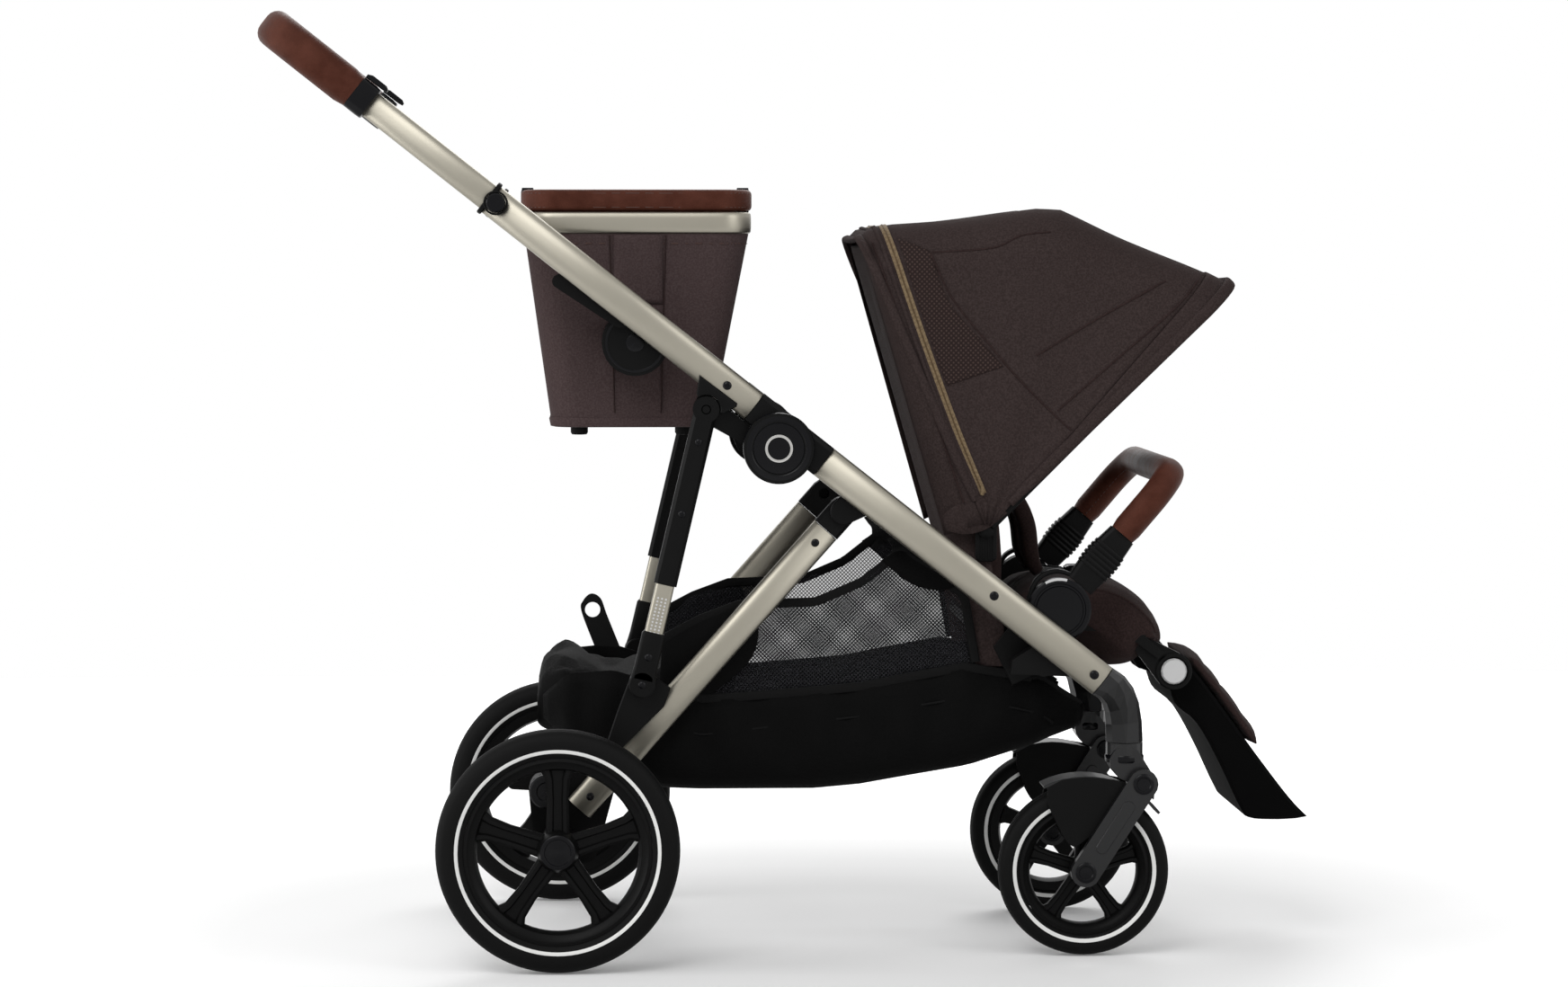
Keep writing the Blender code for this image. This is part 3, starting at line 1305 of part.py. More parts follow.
def bag_adapter(side, name, carrier):
    """The arm on the upper tube that carries the bag's side."""
    inner = BAG_HALF_WIDTH + GAP
    disc = drum(ADAPTER_X, ADAPTER_Z, ADAPTER_R, side * inner, side * (TUBE_INNER_Y - 0.012), 24)
    obj = piece(f"bag_adapter_{name}", disc, "black_plastic", carrier)
    tip = on_tube(-ADAPTER_ARM_ALONG, -ADAPTER_ARM_DROP)
    root = on_tube(-ADAPTER_ARM_ALONG + 0.0175, -0.004)
    arm = hull_of_circles(
        (ADAPTER_X - 0.45 * ADAPTER_R, ADAPTER_Z + 0.80 * ADAPTER_R, ADAPTER_R * 0.35),
        (*tip, ADAPTER_ARM_R),
        (*root, ADAPTER_ARM_R + 0.0015),
    )
    heel = hull_of_circles(
        (ADAPTER_X, ADAPTER_Z, ADAPTER_R * 0.6),
        (ADAPTER_X - 0.45 * ADAPTER_R, ADAPTER_Z + 0.80 * ADAPTER_R, ADAPTER_R * 0.35),
    )
    outer = TUBE_INNER_Y - GAP
    add(obj, side_plate(arm, TUBE_INNER_Y - ADAPTER_ARM_THICK, outer, side))
    return add(obj, side_plate(heel, TUBE_INNER_Y - ADAPTER_ARM_THICK, TUBE_INNER_Y - 0.0125, side))


# Shopping basket: stations along it, each with x, its top edge, its bottom and its half width
BASKET_STATIONS = [
    (-0.303, 0.318, 0.286, 0.140),
    (-0.270, 0.352, 0.252, 0.172),
    (-0.215, 0.356, 0.225, 0.183),
    (-0.157, 0.385, 0.202, 0.183),
    (-0.064, 0.427, 0.200, 0.183),
    (0.029, 0.430, 0.200, 0.183),
    (0.085, 0.454, 0.205, 0.183),
    (0.131, 0.490, 0.213, 0.183),
    (0.209, 0.438, 0.226, 0.183),
    (0.223, 0.356, 0.229, 0.181),
    (0.302, 0.3411, 0.252, 0.168),
    (0.360, 0.302, 0.275, 0.140),
]
BASKET_HUMP_X = -0.236


def basket_at(x):
    """A station between the listed ones."""
    for low, high in zip(BASKET_STATIONS, BASKET_STATIONS[1:]):
        if low[0] <= x <= high[0]:
            share = (x - low[0]) / (high[0] - low[0])
            return tuple(a + (b - a) * share for a, b in zip(low, high))
    raise ValueError("outside the basket")


def basket_rings(stations, inset, lift):
    """Sections of the basket: straight sides over a round-cornered bottom."""
    rings = []
    for x, top, bottom, half in stations:
        half -= inset
        low = bottom + inset
        corner = min(0.040, (top - bottom) * 0.45)
        side = [
            (-half, top + lift),
            (-half, low + corner),
            (-half + corner * 0.3, low + corner * 0.3),
            (-half + corner, low),
        ]
        rings.append([(x, y, z) for y, z in side + [(-y, z) for y, z in reversed(side)]])
    return rings


def shopping_basket():
    """The open basket under the seat, with the closed hump at its rear."""
    obj = piece("shopping_basket", loft(basket_rings(BASKET_STATIONS, 0.0, 0.0)), "black_fabric")
    front = BASKET_STATIONS[-1][0] - BASKET_WALL
    inside = [station for station in BASKET_STATIONS if BASKET_HUMP_X < station[0] < front]
    inside = [basket_at(BASKET_HUMP_X), *inside, basket_at(front)]
    return cut(obj, loft(basket_rings(inside, BASKET_WALL, 0.03)))


def main():
    """Builds every piece, each carried by the empty of its joint."""
    clear_scene()
    chassis = joint_empty("chassis", (0.0, 0.0, 0.0))
    fold = joint_empty("frame_fold", (HINGE_X, 0.0, HINGE_Z), chassis)
    handle_x, handle_z = on_tube(-UPPER_END)
    handle = joint_empty("handle_slide", (handle_x, 0.0, handle_z), fold)
    struts = joint_empty("strut_fold", (STRUT_TOP_X, 0.0, STRUT_TOP_Z), fold)
    rear = joint_empty("rear_fold", (LEG_PIVOT_X, 0.0, LEG_PIVOT_Z), chassis)
    brake = joint_empty("brake_press", (BEAM_X, 0.0, BEAM_Z), rear)
    seat = joint_empty("seat_release", (HUB_X, 0.0, HUB_Z), chassis)
    recline = joint_empty("backrest_recline", (RECLINE_X, 0.0, RECLINE_Z), seat)
    bow = joint_empty("canopy_fold", (CANOPY_X, 0.0, CANOPY_Z), recline)
    bumper = joint_empty("bumper_release", (HUB_X, 0.0, HUB_Z), seat)
    knee = joint_empty("legrest_fold", (LEGREST_X, 0.0, LEGREST_Z), seat)
    bag = joint_empty("bag_release", (ADAPTER_X, 0.0, ADAPTER_Z), fold)

    for side, name in SIDES:
        front_tube(side, name)
        hinge_base(side, name)
        front_elbow(side, name)
        arm = hinge_arm(side, name, fold)
        add(arm, strut_pin(side))
        upper_tube(side, name, fold)
        bag_adapter(side, name, fold)
        handle_tube(side, name, handle)
        button_place = (handle_x, side * TUBE_OUTER_Y, handle_z)
        height_button(side, name, joint_empty(f"height_button_press_{name}", button_place, fold))
        trigger_x, trigger_z = on_tube(-HANDLE_TUBE_END)
        trigger_place = (trigger_x, side * FRAME_Y, trigger_z)
        fold_trigger(side, name, joint_empty(f"fold_trigger_slide_{name}", trigger_place, handle))
        strut_sleeve(side, name, struts)
        strut_tube(side, name, struts)
        leg_cap(side, name, rear)
        rear_leg(side, name, rear)
        wheel_place = (REAR_AXLE_X, side * REAR_AXLE_Y, REAR_AXLE_Z)
        rear_wheel(side, name, joint_empty(f"rear_wheel_spin_{name}", wheel_place, rear))
        swivel_place = (SWIVEL_X, side * FRONT_AXLE_Y, SWIVEL_TOP_Z)
        swivel = joint_empty(f"caster_swivel_{name}", swivel_place, chassis)
        fork_head(side, name, swivel)
        pivot = (FORK_PIVOT_X, side * FRONT_AXLE_Y, FORK_PIVOT_Z)
        suspension = joint_empty(f"suspension_{name}", pivot, swivel)
        fork_arm(side, name, suspension)
        wheel_place = (FRONT_AXLE_X, side * FRONT_AXLE_Y, FRONT_AXLE_Z)
        front_wheel(side, name, joint_empty(f"front_wheel_spin_{name}", wheel_place, suspension))
        bumper_arm(side, name, bumper)
        button_place = (LEGREST_X, side * KNEE_BRACKET_Y, LEGREST_Z)
        legrest_button(side, name, joint_empty(f"legrest_button_press_{name}", button_place, seat))
        handle_place = (ADAPTER_X, side * HANDLE_PIVOT_Y, BAG_HANDLE_Z)
        bag_handle(side, name, joint_empty(f"bag_handle_swing_{name}", handle_place, bag))

    seat_mount_bar()
    shopping_basket()
    handle_grip(handle)
    rear_axle_beam(rear)
    brake_pedal(brake)
    seat_frame(seat)
    seat_cushion(seat)
    backrest(recline)
    canopy(recline)
    canopy_bow(bow)
    bumper_grip(bumper)
    legrest(knee)
    legrest_pad(knee)
    bag_body(bag)
    bag_rim(bag)


main()
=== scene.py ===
"""A folding pushchair with a hooded seat, a box bag and a shopping basket.

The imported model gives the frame; the classes here dress it, one class for each sub-assembly.
Metres, +Z up, +X forward; the right side is -Y, nearest to the camera.
"""

from __future__ import annotations

import json
import logging
import math
from dataclasses import dataclass
from enum import Enum
from typing import Callable, Iterable, Sequence

import bmesh
import bpy
import numpy as np
from mathutils.bvhtree import BVHTree
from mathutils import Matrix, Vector

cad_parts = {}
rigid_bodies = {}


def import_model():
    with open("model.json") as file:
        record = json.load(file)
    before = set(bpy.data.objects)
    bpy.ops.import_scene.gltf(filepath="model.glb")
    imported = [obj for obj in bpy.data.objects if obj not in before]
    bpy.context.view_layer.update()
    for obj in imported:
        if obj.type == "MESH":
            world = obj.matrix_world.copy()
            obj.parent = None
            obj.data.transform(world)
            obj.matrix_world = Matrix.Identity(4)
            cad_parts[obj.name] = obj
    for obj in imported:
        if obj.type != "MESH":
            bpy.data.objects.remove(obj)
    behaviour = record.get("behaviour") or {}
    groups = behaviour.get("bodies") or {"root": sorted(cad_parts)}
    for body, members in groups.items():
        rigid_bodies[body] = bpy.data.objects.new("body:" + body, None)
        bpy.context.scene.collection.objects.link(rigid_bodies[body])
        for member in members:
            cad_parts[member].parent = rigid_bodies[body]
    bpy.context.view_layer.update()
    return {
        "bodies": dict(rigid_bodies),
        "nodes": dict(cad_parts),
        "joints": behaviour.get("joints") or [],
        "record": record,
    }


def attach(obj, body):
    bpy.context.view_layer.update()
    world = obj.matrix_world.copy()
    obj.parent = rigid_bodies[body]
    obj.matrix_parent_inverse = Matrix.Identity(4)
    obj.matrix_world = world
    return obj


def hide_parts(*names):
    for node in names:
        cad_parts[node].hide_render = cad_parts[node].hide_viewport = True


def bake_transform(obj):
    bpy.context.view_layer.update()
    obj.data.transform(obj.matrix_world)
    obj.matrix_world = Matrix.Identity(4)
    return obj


LOG = logging.getLogger("pushchair")

Flat = tuple[float, float]
Point = tuple[float, float, float]
Ring = list[Point]
MILLIMETRE = 0.001


# Shared tools


def srgb(code: str) -> tuple[float, float, float, float]:
    """Turns an sRGB hex colour to linear values.

    Args:
        code: The colour, such as "#4e362c".

    Returns:
        Red, green, blue and an alpha of 1.
    """
    values = [int(code[start : start + 2], 16) / 255 for start in (1, 3, 5)]
    red, green, blue = [v / 12.92 if v <= 0.04045 else ((v + 0.055) / 1.055) ** 2.4 for v in values]
    return red, green, blue, 1.0


def add_node(
    tree: bpy.types.NodeTree,
    kind: str,
    values: dict[str | int, object] | None = None,
    links: dict[str | int, bpy.types.NodeSocket] | None = None,
    **settings: object,
) -> bpy.types.Node:
    """Adds one shader node.

    Args:
        tree: The material's or world's node tree.
        kind: The node's Blender type.
        values: Socket values by input name or number.
        links: Sockets that feed its inputs, by input name or number.
        settings: Properties of the node.

    Returns:
        The new node.
    """
    made = tree.nodes.new(kind)
    for key, value in settings.items():
        setattr(made, key, value)
    for key, value in (values or {}).items():
        made.inputs[key].default_value = value
    for key, source in (links or {}).items():
        tree.links.new(source, made.inputs[key])
    return made


class Surface(Enum):
    """How a finish was made, which decides its pattern."""

    ANODISED = "bead-blasted, then anodised"
    MOULDED = "moulded in a spark-eroded tool"
    GRAINED = "embossed with a hide grain"
    WOVEN = "woven from two shades of yarn"
    KNITTED_NET = "knitted with open holes"
    DOTTED = "knitted with rows of small dents"
    FOAMED = "foamed in a mould"
    COILED = "nylon coil on woven tape"


@dataclass(frozen=True)
class Finish:
    """A real material with its surface.

    Attributes:
        name: What the material is.
        slot: The record's material slot.
        surface: How it was made.
        colour: Its main colour, sRGB hex.
        fleck: The second colour: that of its yarns, grain or worn places, of its convex edges, and of the
            painted highlight in each dent of a dotted cloth, sRGB hex.
        roughness: Its roughness.
        pitch_mm: The real or drawn distance between its threads, grains or holes.
        depth_mm: How deep its pattern is.
        metallic: 1 for a metal.
        ior: Its index of refraction; a metal keeps the default.
        sheen: The weight of the fuzz on a cloth.
        specular: How much light its skin mirrors; 0.5 is the common level.
        tint: The colour of what it mirrors, sRGB hex.
    """

    name: str
    slot: str
    surface: Surface
    colour: str
    fleck: str
    roughness: float
    pitch_mm: float
    depth_mm: float
    metallic: float = 0.0
    ior: float = 1.5
    sheen: float = 0.0
    specular: float = 0.5
    tint: str = "#ffffff"

    def material(self) -> bpy.types.Material:
        """Gives the Blender material, made once."""
        found = bpy.data.materials.get(self.name)
        if found:
            return found
        made = bpy.data.materials.new(self.name)
        made.use_nodes = True
        tree = made.node_tree
        shader = tree.nodes["Principled BSDF"]
        shader.inputs["Metallic"].default_value = self.metallic
        shader.inputs["IOR"].default_value = self.ior
        shader.inputs["Sheen Weight"].default_value = self.sheen
        shader.inputs["Sheen Roughness"].default_value = 0.4
        shader.inputs["Specular IOR Level"].default_value = self.specular
        shader.inputs["Specular Tint"].default_value = srgb(self.tint)
        height, shade = self.pattern(tree)
        mix = add_node(
            tree,
            "ShaderNodeMix",
            {6: srgb(self.colour), 7: srgb(self.fleck)},
            {0: shade},
            data_type="RGBA",
        )
        tree.links.new(mix.outputs[2], shader.inputs["Base Color"])
        gloss = add_node(
            tree,
            "ShaderNodeMapRange",
            {"To Min": self.roughness * 0.88, "To Max": min(1.0, self.roughness * 1.12)},
            {"Value": shade},
        )
        tree.links.new(gloss.outputs[0], shader.inputs["Roughness"])
        bump = add_node(
            tree,
            "ShaderNodeBump",
            {"Strength": 0.6, "Distance": self.depth_mm * MILLIMETRE},
            {"Height": height},
        )
        tree.links.new(bump.outputs[0], shader.inputs["Normal"])
        if self.surface is Surface.KNITTED_NET:
            self.open_holes(tree, shader)
        return made

    def pattern(self, tree: bpy.types.NodeTree) -> tuple[bpy.types.NodeSocket, bpy.types.NodeSocket]:
        """Adds the surface's pattern.

        Args:
            tree: The material's node tree.

        Returns:
            The bump height, and the share of the second colour.
        """
        place = add_node(tree, "ShaderNodeTexCoord").outputs["Object"]
        per_metre = 1 / (self.pitch_mm * MILLIMETRE)
        if self.surface in (Surface.WOVEN, Surface.KNITTED_NET, Surface.COILED):
            # Threads run along all three axes, so that each side shows a warp and a weft
            threads = [
                add_node(
                    tree,
                    "ShaderNodeTexWave",
                    {"Scale": math.tau / 20 * per_metre, "Distortion": 0.4, "Detail": 1.0},
                    {"Vector": place},
                    bands_direction=axis,
                ).outputs["Fac"]
                for axis in "XYZ"
            ]
            crossed = add_node(tree, "ShaderNodeMath", links={0: threads[0], 1: threads[1]}, operation="ADD")
            height = add_node(
                tree, "ShaderNodeMath", links={0: crossed.outputs[0], 1: threads[2]}, operation="ADD"
            )
            yarn = add_node(
                tree, "ShaderNodeTexNoise", {"Scale": per_metre * 0.55, "Detail": 2.0}, {"Vector": place}
            )
            shade = add_node(
                tree, "ShaderNodeMapRange", {
                    "From Min": 0.38, "From Max": 0.64
                }, {"Value": yarn.outputs["Fac"]}
            )
            return height.outputs[0], shade.outputs[0]
        if self.surface is Surface.DOTTED:
            # Seen from the side, in rows that stand half a step apart
            split = add_node(tree, "ShaderNodeSeparateXYZ", links={0: place})
            turned_place = add_node(
                tree,
                "ShaderNodeCombineXYZ",
                links={
                    0: add_node(
                        tree, "ShaderNodeMath", links={
                            0: split.outputs[0], 1: split.outputs[2]
                        }, operation="ADD"
                    ).outputs[0],
                    1: add_node(
                        tree, "ShaderNodeMath", links={
                            0: split.outputs[0], 1: split.outputs[2]
                        }, operation="SUBTRACT"
                    ).outputs[0],
                },
            )
            dots = add_node(
                tree,
                "ShaderNodeTexVoronoi",
                {"Scale": per_metre * 0.707, "Randomness": 0.0},
                {"Vector": turned_place.outputs[0]},
                voronoi_dimensions="2D",
            )
            # Each dent's middle takes the paler second colour: a painted highlight where the dent catches the
            # light.
            shade = add_node(
                tree,
                "ShaderNodeMapRange",
                {"From Min": 0.20, "From Max": 0.34, "To Min": 1.0, "To Max": 0.0},
                {"Value": dots.outputs["Distance"]},
            )
            return shade.outputs[0], shade.outputs[0]
        if self.surface is Surface.GRAINED:
            cells = add_node(
                tree,
                "ShaderNodeTexVoronoi",
                {"Scale": per_metre},
                {"Vector": place},
                feature="DISTANCE_TO_EDGE",
            )
            folds = add_node(
                tree, "ShaderNodeMapRange", {"From Max": 0.22}, {"Value": cells.outputs["Distance"]}
            )
            wear = add_node(tree, "ShaderNodeTexNoise", {"Scale": 45.0, "Detail": 5.0}, {"Vector": place})
            shade = add_node(
                tree, "ShaderNodeMapRange", {
                    "From Min": 0.35, "From Max": 0.72
                }, {"Value": wear.outputs["Fac"]}
            )
            return folds.outputs[0], shade.outputs[0]
        grain = add_node(
            tree, "ShaderNodeTexNoise", {"Scale": per_metre, "Detail": 3.0}, {"Vector": place}
        )
        edges = add_node(tree, "ShaderNodeNewGeometry")
        # Convex edges, found by the mesh's pointiness, lean towards the second colour.
        convex_edges = add_node(
            tree,
            "ShaderNodeMapRange",
            {"From Min": 0.53, "From Max": 0.66, "To Max": 0.7},
            {"Value": edges.outputs["Pointiness"]},
        )
        haze = add_node(tree, "ShaderNodeTexNoise", {"Scale": 28.0, "Detail": 4.0}, {"Vector": place})
        shade = add_node(
            tree,
            "ShaderNodeMath",
            {1: 0.35},
            {0: haze.outputs["Fac"], 2: convex_edges.outputs[0]},
            operation="MULTIPLY_ADD",
            use_clamp=True,
        )
        return grain.outputs["Fac"], shade.outputs[0]

    def open_holes(self, tree: bpy.types.NodeTree, shader: bpy.types.Node) -> None:
        """Makes the holes of a net see-through, in a diamond pattern on upright sides.

        Args:
            tree: The material's node tree.
            shader: The shader whose alpha the holes set.
        """
        place = add_node(tree, "ShaderNodeTexCoord").outputs["Object"]
        split = add_node(tree, "ShaderNodeSeparateXYZ", links={0: place})
        bars = []
        for sign in (1.0, -1.0):
            slanted = add_node(
                tree,
                "ShaderNodeMath",
                {1: sign},
                {0: split.outputs[2], 2: split.outputs[0]},
                operation="MULTIPLY_ADD",
            )
            turns = add_node(
                tree,
                "ShaderNodeMath",
                {1: math.tau / (2 * self.pitch_mm * MILLIMETRE)},
                {0: slanted.outputs[0]},
                operation="MULTIPLY",
            )
            bars.append(add_node(tree, "ShaderNodeMath", links={0: turns.outputs[0]}, operation="SINE"))
        yarns = add_node(
            tree, "ShaderNodeMath", links={0: bars[0].outputs[0], 1: bars[1].outputs[0]}, operation="MAXIMUM"
        )
        solid = add_node(
            tree, "ShaderNodeMapRange", {
                "From Min": 0.48, "From Max": 0.74, "To Min": 0.24, "To Max": 0.84
            }, {"Value": yarns.outputs[0]}
        )
        tree.links.new(solid.outputs[0], shader.inputs["Alpha"])


# The finishes of this object; brown cloth mirrors a brown light, as its dyed yarns do
BROWN_GLANCE = "#8a7672"
ANODISED_ALUMINIUM = Finish(
    # A fine, even grain that spreads each highlight along the tube; warm and pale
    "champagne_anodised_aluminium", "champagne_aluminium", Surface.ANODISED, "#8a867b", "#949085",
    0.42, 0.5, 0.01, 1.0
)
GLASS_FILLED_NYLON = Finish(
    # Dull black with a fine sparkle of grain, a little paler along its convex edges
    "glass_filled_nylon", "black_plastic", Surface.MOULDED, "#060606", "#0f0f0f", 0.44, 0.8, 0.04,
    specular=0.07
)
SMOOTH_ABS = Finish(
    # Deeper black than the nylon and smoother, for caps and buttons
    "smooth_moulded_abs", "black_plastic", Surface.MOULDED, "#050507", "#0b0b0e", 0.26, 1.2, 0.01,
    specular=0.12
)
EMBOSSED_POLYURETHANE = Finish(
    # Leatherette: a pebbled grain, drawn at 2.2 mm so that it shows, with soft highlights on the pebbles
    "embossed_polyurethane", "brown_leatherette", Surface.GRAINED, "#3f221a", "#4f2e25", 0.52, 2.2,
    0.20, specular=0.16, tint="#b58a7c"
)
MELANGE_POLYESTER = Finish(
    # A canvas of dark and slightly lighter yarns: 0.5 mm threads, drawn at 1.2 mm so that they show
    "melange_polyester_canvas", "brown_fabric", Surface.WOVEN, "#302827", "#3b3231", 0.90, 1.2,
    0.16, specular=0.05, tint=BROWN_GLANCE
)
BAG_CANVAS = Finish(
    # The same canvas in a redder, paler shade
    "bag_polyester_canvas", "brown_fabric", Surface.WOVEN, "#3d3232", "#463b3b", 0.90, 1.2, 0.16,
    sheen=0.03, specular=0.06, tint=BROWN_GLANCE
)
SEAT_TWILL = Finish(
    # The seat's cloth: darker, with less contrast between its yarns
    "seat_polyester_twill", "brown_fabric", Surface.WOVEN, "#2a2120", "#342928", 0.90, 1.2, 0.16,
    sheen=0.03, specular=0.05, tint=BROWN_GLANCE
)
BLACK_TAFFETA = Finish(
    # Thin plain-woven cloth of the basket, nearly black
    "black_polyester_taffeta", "black_fabric", Surface.WOVEN, "#050505", "#0b0b0b", 0.80, 1.0, 0.08,
    specular=0.05
)
POLYESTER_NET = Finish(
    # Knitted net: 1.5 mm holes, drawn at 2.4 mm so that the light comes through
    "knitted_polyester_net", "black_fabric", Surface.KNITTED_NET, "#1c1c1e", "#252527", 0.85, 2.4,
    0.05, specular=0.06
)
PERFORATED_POLYESTER = Finish(
    # The canopy's breathing panels: small dents 4 mm apart, each painted paler in its middle as a painted
    # highlight
    "perforated_polyester_knit", "brown_fabric", Surface.DOTTED, "#2a2221", "#443835", 0.88, 4.2,
    0.25, specular=0.05, tint=BROWN_GLANCE
)
POLYPROPYLENE_WEBBING = Finish(
    # Ribbed strap, a dull black with a slight sheen
    "polypropylene_webbing", "black_fabric", Surface.WOVEN, "#060606", "#0d0d0d", 0.70, 1.4, 0.15,
    specular=0.08
)
FOAMED_RUBBER = Finish(
    # Closed-cell tyre foam with a matt skin, a little paler along its convex edges and in soft patches
    "closed_cell_foam_rubber", "tyre_rubber", Surface.FOAMED, "#070707", "#111111", 0.66, 1.5, 0.08,
    specular=0.08
)
WHITE_TYRE_LINE = Finish(
    # The pale line moulded into the tyre's side
    "pale_foam_rubber", "tyre_rubber", Surface.FOAMED, "#dededc", "#cfcfcd", 0.60, 1.5, 0.03
)
LACQUERED_ABS = Finish(
    # Satin silver lacquer on a plastic button
    "silver_lacquered_abs", "silver_plastic", Surface.MOULDED, "#b4b4b4", "#c0c0c0", 0.32, 0.8, 0.01, 0.3
)
TAN_ZIP = Finish(
    # Coil zip on woven tape, golden tan
    "tan_nylon_coil_zip", "brown_fabric", Surface.COILED, "#645440", "#7c6b52", 0.66, 1.6, 0.20,
    specular=0.12
)
DARK_ZIP_COIL = Finish(
    # The zip's teeth, a dark brown line between two tan tapes
    "dark_nylon_zip_coil", "brown_fabric", Surface.COILED, "#4a3b29", "#594833", 0.55, 1.6, 0.15,
    specular=0.12
)
SATIN_CAST_ALLOY = Finish(
    # Die-cast and powder-coated: dark grey, its round parts shade softly from light to black
    "powder_coated_casting", "black_plastic", Surface.MOULDED, "#0b0b0c", "#131314", 0.34, 0.6,
    0.02, specular=0.30
)
ROUGH_MOULDED_NYLON = Finish(
    # The leg rest's shell: too rough to mirror anything
    "rough_moulded_nylon", "black_plastic", Surface.MOULDED, "#090909", "#101010", 0.80, 1.0, 0.04,
    specular=0.03, tint="#606060"
)
BONDED_THREAD = Finish(
    # Bonded sewing thread, a shade darker than the leatherette
    "bonded_polyester_thread", "brown_leatherette", Surface.WOVEN, "#381f18", "#45291f", 0.60, 0.8, 0.05
)
STEEL_RIVET = Finish(
    # Satin steel, smoother than the anodised tubes
    "satin_steel", "silver_plastic", Surface.ANODISED, "#a5a4a1", "#b5b4b1", 0.30, 0.8, 0.01, 1.0
)


# Shape tools


def loft(
    rings: Sequence[Sequence[Sequence[float]]], loop: bool = False, caps: bool = True
) -> bmesh.types.BMesh:
    """Skins rings of points that all have the same count.

    Args:
        rings: The rings, in order.
        loop: Whether the last ring joins the first.
        caps: Whether an open run is closed at both ends.

    Returns:
        The mesh.
    """
    bm = bmesh.new()
    rows = [[bm.verts.new(point) for point in ring] for ring in rings]
    following = rows[1:] + rows[:1] if loop else rows[1:]
    for low, high in zip(rows, following):
        for i, corner in enumerate(low):
            j = (i + 1) % len(low)
            bm.faces.new((corner, low[j], high[j], high[i]))
    if caps and not loop:
        bm.faces.new(rows[0][::-1])
        bm.faces.new(rows[-1])
    return bm


def sheet_mesh(rows: Sequence[Sequence[Sequence[float]]]) -> bmesh.types.BMesh:
    """Makes an open cloth from rows of points, all of the same count."""
    bm = bmesh.new()
    made = [[bm.verts.new(point) for point in row] for row in rows]
    for low, high in zip(made, made[1:]):
        for i in range(len(low) - 1):
            bm.faces.new((low[i], low[i + 1], high[i + 1], high[i]))
    return bm


def merged(*meshes: bmesh.types.BMesh) -> bmesh.types.BMesh:
    """Puts several meshes into one."""
    bm = bmesh.new()
    for part in meshes:
        holder = bpy.data.meshes.new("part")
        part.to_mesh(holder)
        part.free()
        bm.from_mesh(holder)
        bpy.data.meshes.remove(holder)
    return bm


def circle(radius: float, steps: int = 24, start: float = 0.0) -> list[Flat]:
    """Gives points round a circle about the origin.

    Args:
        radius: The circle's radius.
        steps: How many points it gets.
        start: The first point's angle.

    Returns:
        The points, anticlockwise.
    """
    return [
        (radius * math.cos(start + math.tau * i / steps), radius * math.sin(start + math.tau * i / steps))
        for i in range(steps)
    ]


def rounded_box(width: float, height: float, corner: float, steps: int = 4) -> list[Flat]:
    """Gives points round a rectangle with round corners, about the origin.

    Args:
        width: Its width.
        height: Its height.
        corner: The corners' radius.
        steps: The steps of each corner.

    Returns:
        The points, in order.
    """
    points = []
    for quarter in range(4):
        along = (width / 2 - corner) * (1 if quarter in (0, 3) else -1)
        up = (height / 2 - corner) * (1 if quarter in (0, 1) else -1)
        for i in range(steps + 1):
            angle = math.pi / 2 * (quarter + i / steps)
            points.append((along + corner * math.cos(angle), up + corner * math.sin(angle)))
    return points


def oval(width: float, height: float, power: float = 2.7, steps: int = 36) -> list[Flat]:
    """Gives points round an oval whose sides are fuller than an ellipse's.

    Args:
        width: Its width.
        height: Its height.
        power: How full it is; 2 is an ellipse.
        steps: How many points it gets.

    Returns:
        The points, in order.
    """
    points = []
    for i in range(steps):
        a = math.tau * (i + 0.5) / steps
        x, y = math.cos(a), math.sin(a)
        wide = width / 2 * math.copysign(abs(x) ** (2 / power), x)
        points.append((wide, height / 2 * math.copysign(abs(y) ** (2 / power), y)))
    return points


def strip(path: Sequence[Vector], normals: Sequence[Vector], width: float, thick: float) -> bmesh.types.BMesh:
    """Lays a flat band on a surface.

    Args:
        path: Its middle line, on the surface.
        normals: The surface's outward direction at each point.
        width: The band's width.
        thick: How far it stands out.

    Returns:
        The closed mesh.
    """
    rings = []
    for i, (point, out) in enumerate(zip(path, normals)):
        run = (path[min(i + 1, len(path) - 1)] - path[max(i - 1, 0)]).normalized()
        aside = run.cross(out).normalized()
        out = aside.cross(run)
        section = (
            (-0.5, -0.4), (0.5, -0.4), (0.5, 0.35), (0.34, 0.9), (0.0, 1.0), (-0.34, 0.9), (-0.5, 0.35)
        )
        rings.append([tuple(point + aside * (a * width) + out * (b * thick)) for a, b in section])
    return loft(rings)


def inset(outline: Sequence[Flat], distance: float) -> list[Flat]:
    """Moves a side-view outline inwards by a distance, corner by corner."""
    area = sum(a[0] * b[1] - b[0] * a[1] for a, b in zip(outline, list(outline[1:]) + [outline[0]]))
    inward = 1 if area > 0 else -1
    moved = []
    for i, point in enumerate(outline):
        here = Vector(point)
        before = (here - Vector(outline[i - 1])).normalized()
        after = (Vector(outline[(i + 1) % len(outline)]) - here).normalized()
        normal = Vector((-before.y - after.y, before.x + after.x)) * inward
        reach = max(0.35, normal.length / 2)
        moved.append(tuple(here + normal.normalized() * distance / reach))
    return moved


def slab(outline: Sequence[Flat], y0: float, y1: float, edge: float = 0.001) -> bmesh.types.BMesh:
    """Makes a plate from a side-view outline, its edges broken.

    Args:
        outline: The outline in x and z.
        y0: One face's plane.
        y1: The other face's plane.
        edge: The width of the broken edge.

    Returns:
        The closed mesh.
    """
    low, high = min(y0, y1), max(y0, y1)
    small = inset(outline, edge)
    levels = ((small, low), (outline, low + edge), (outline, high - edge), (small, high))
    return loft([[(x, y, z) for x, z in points] for points, y in levels])


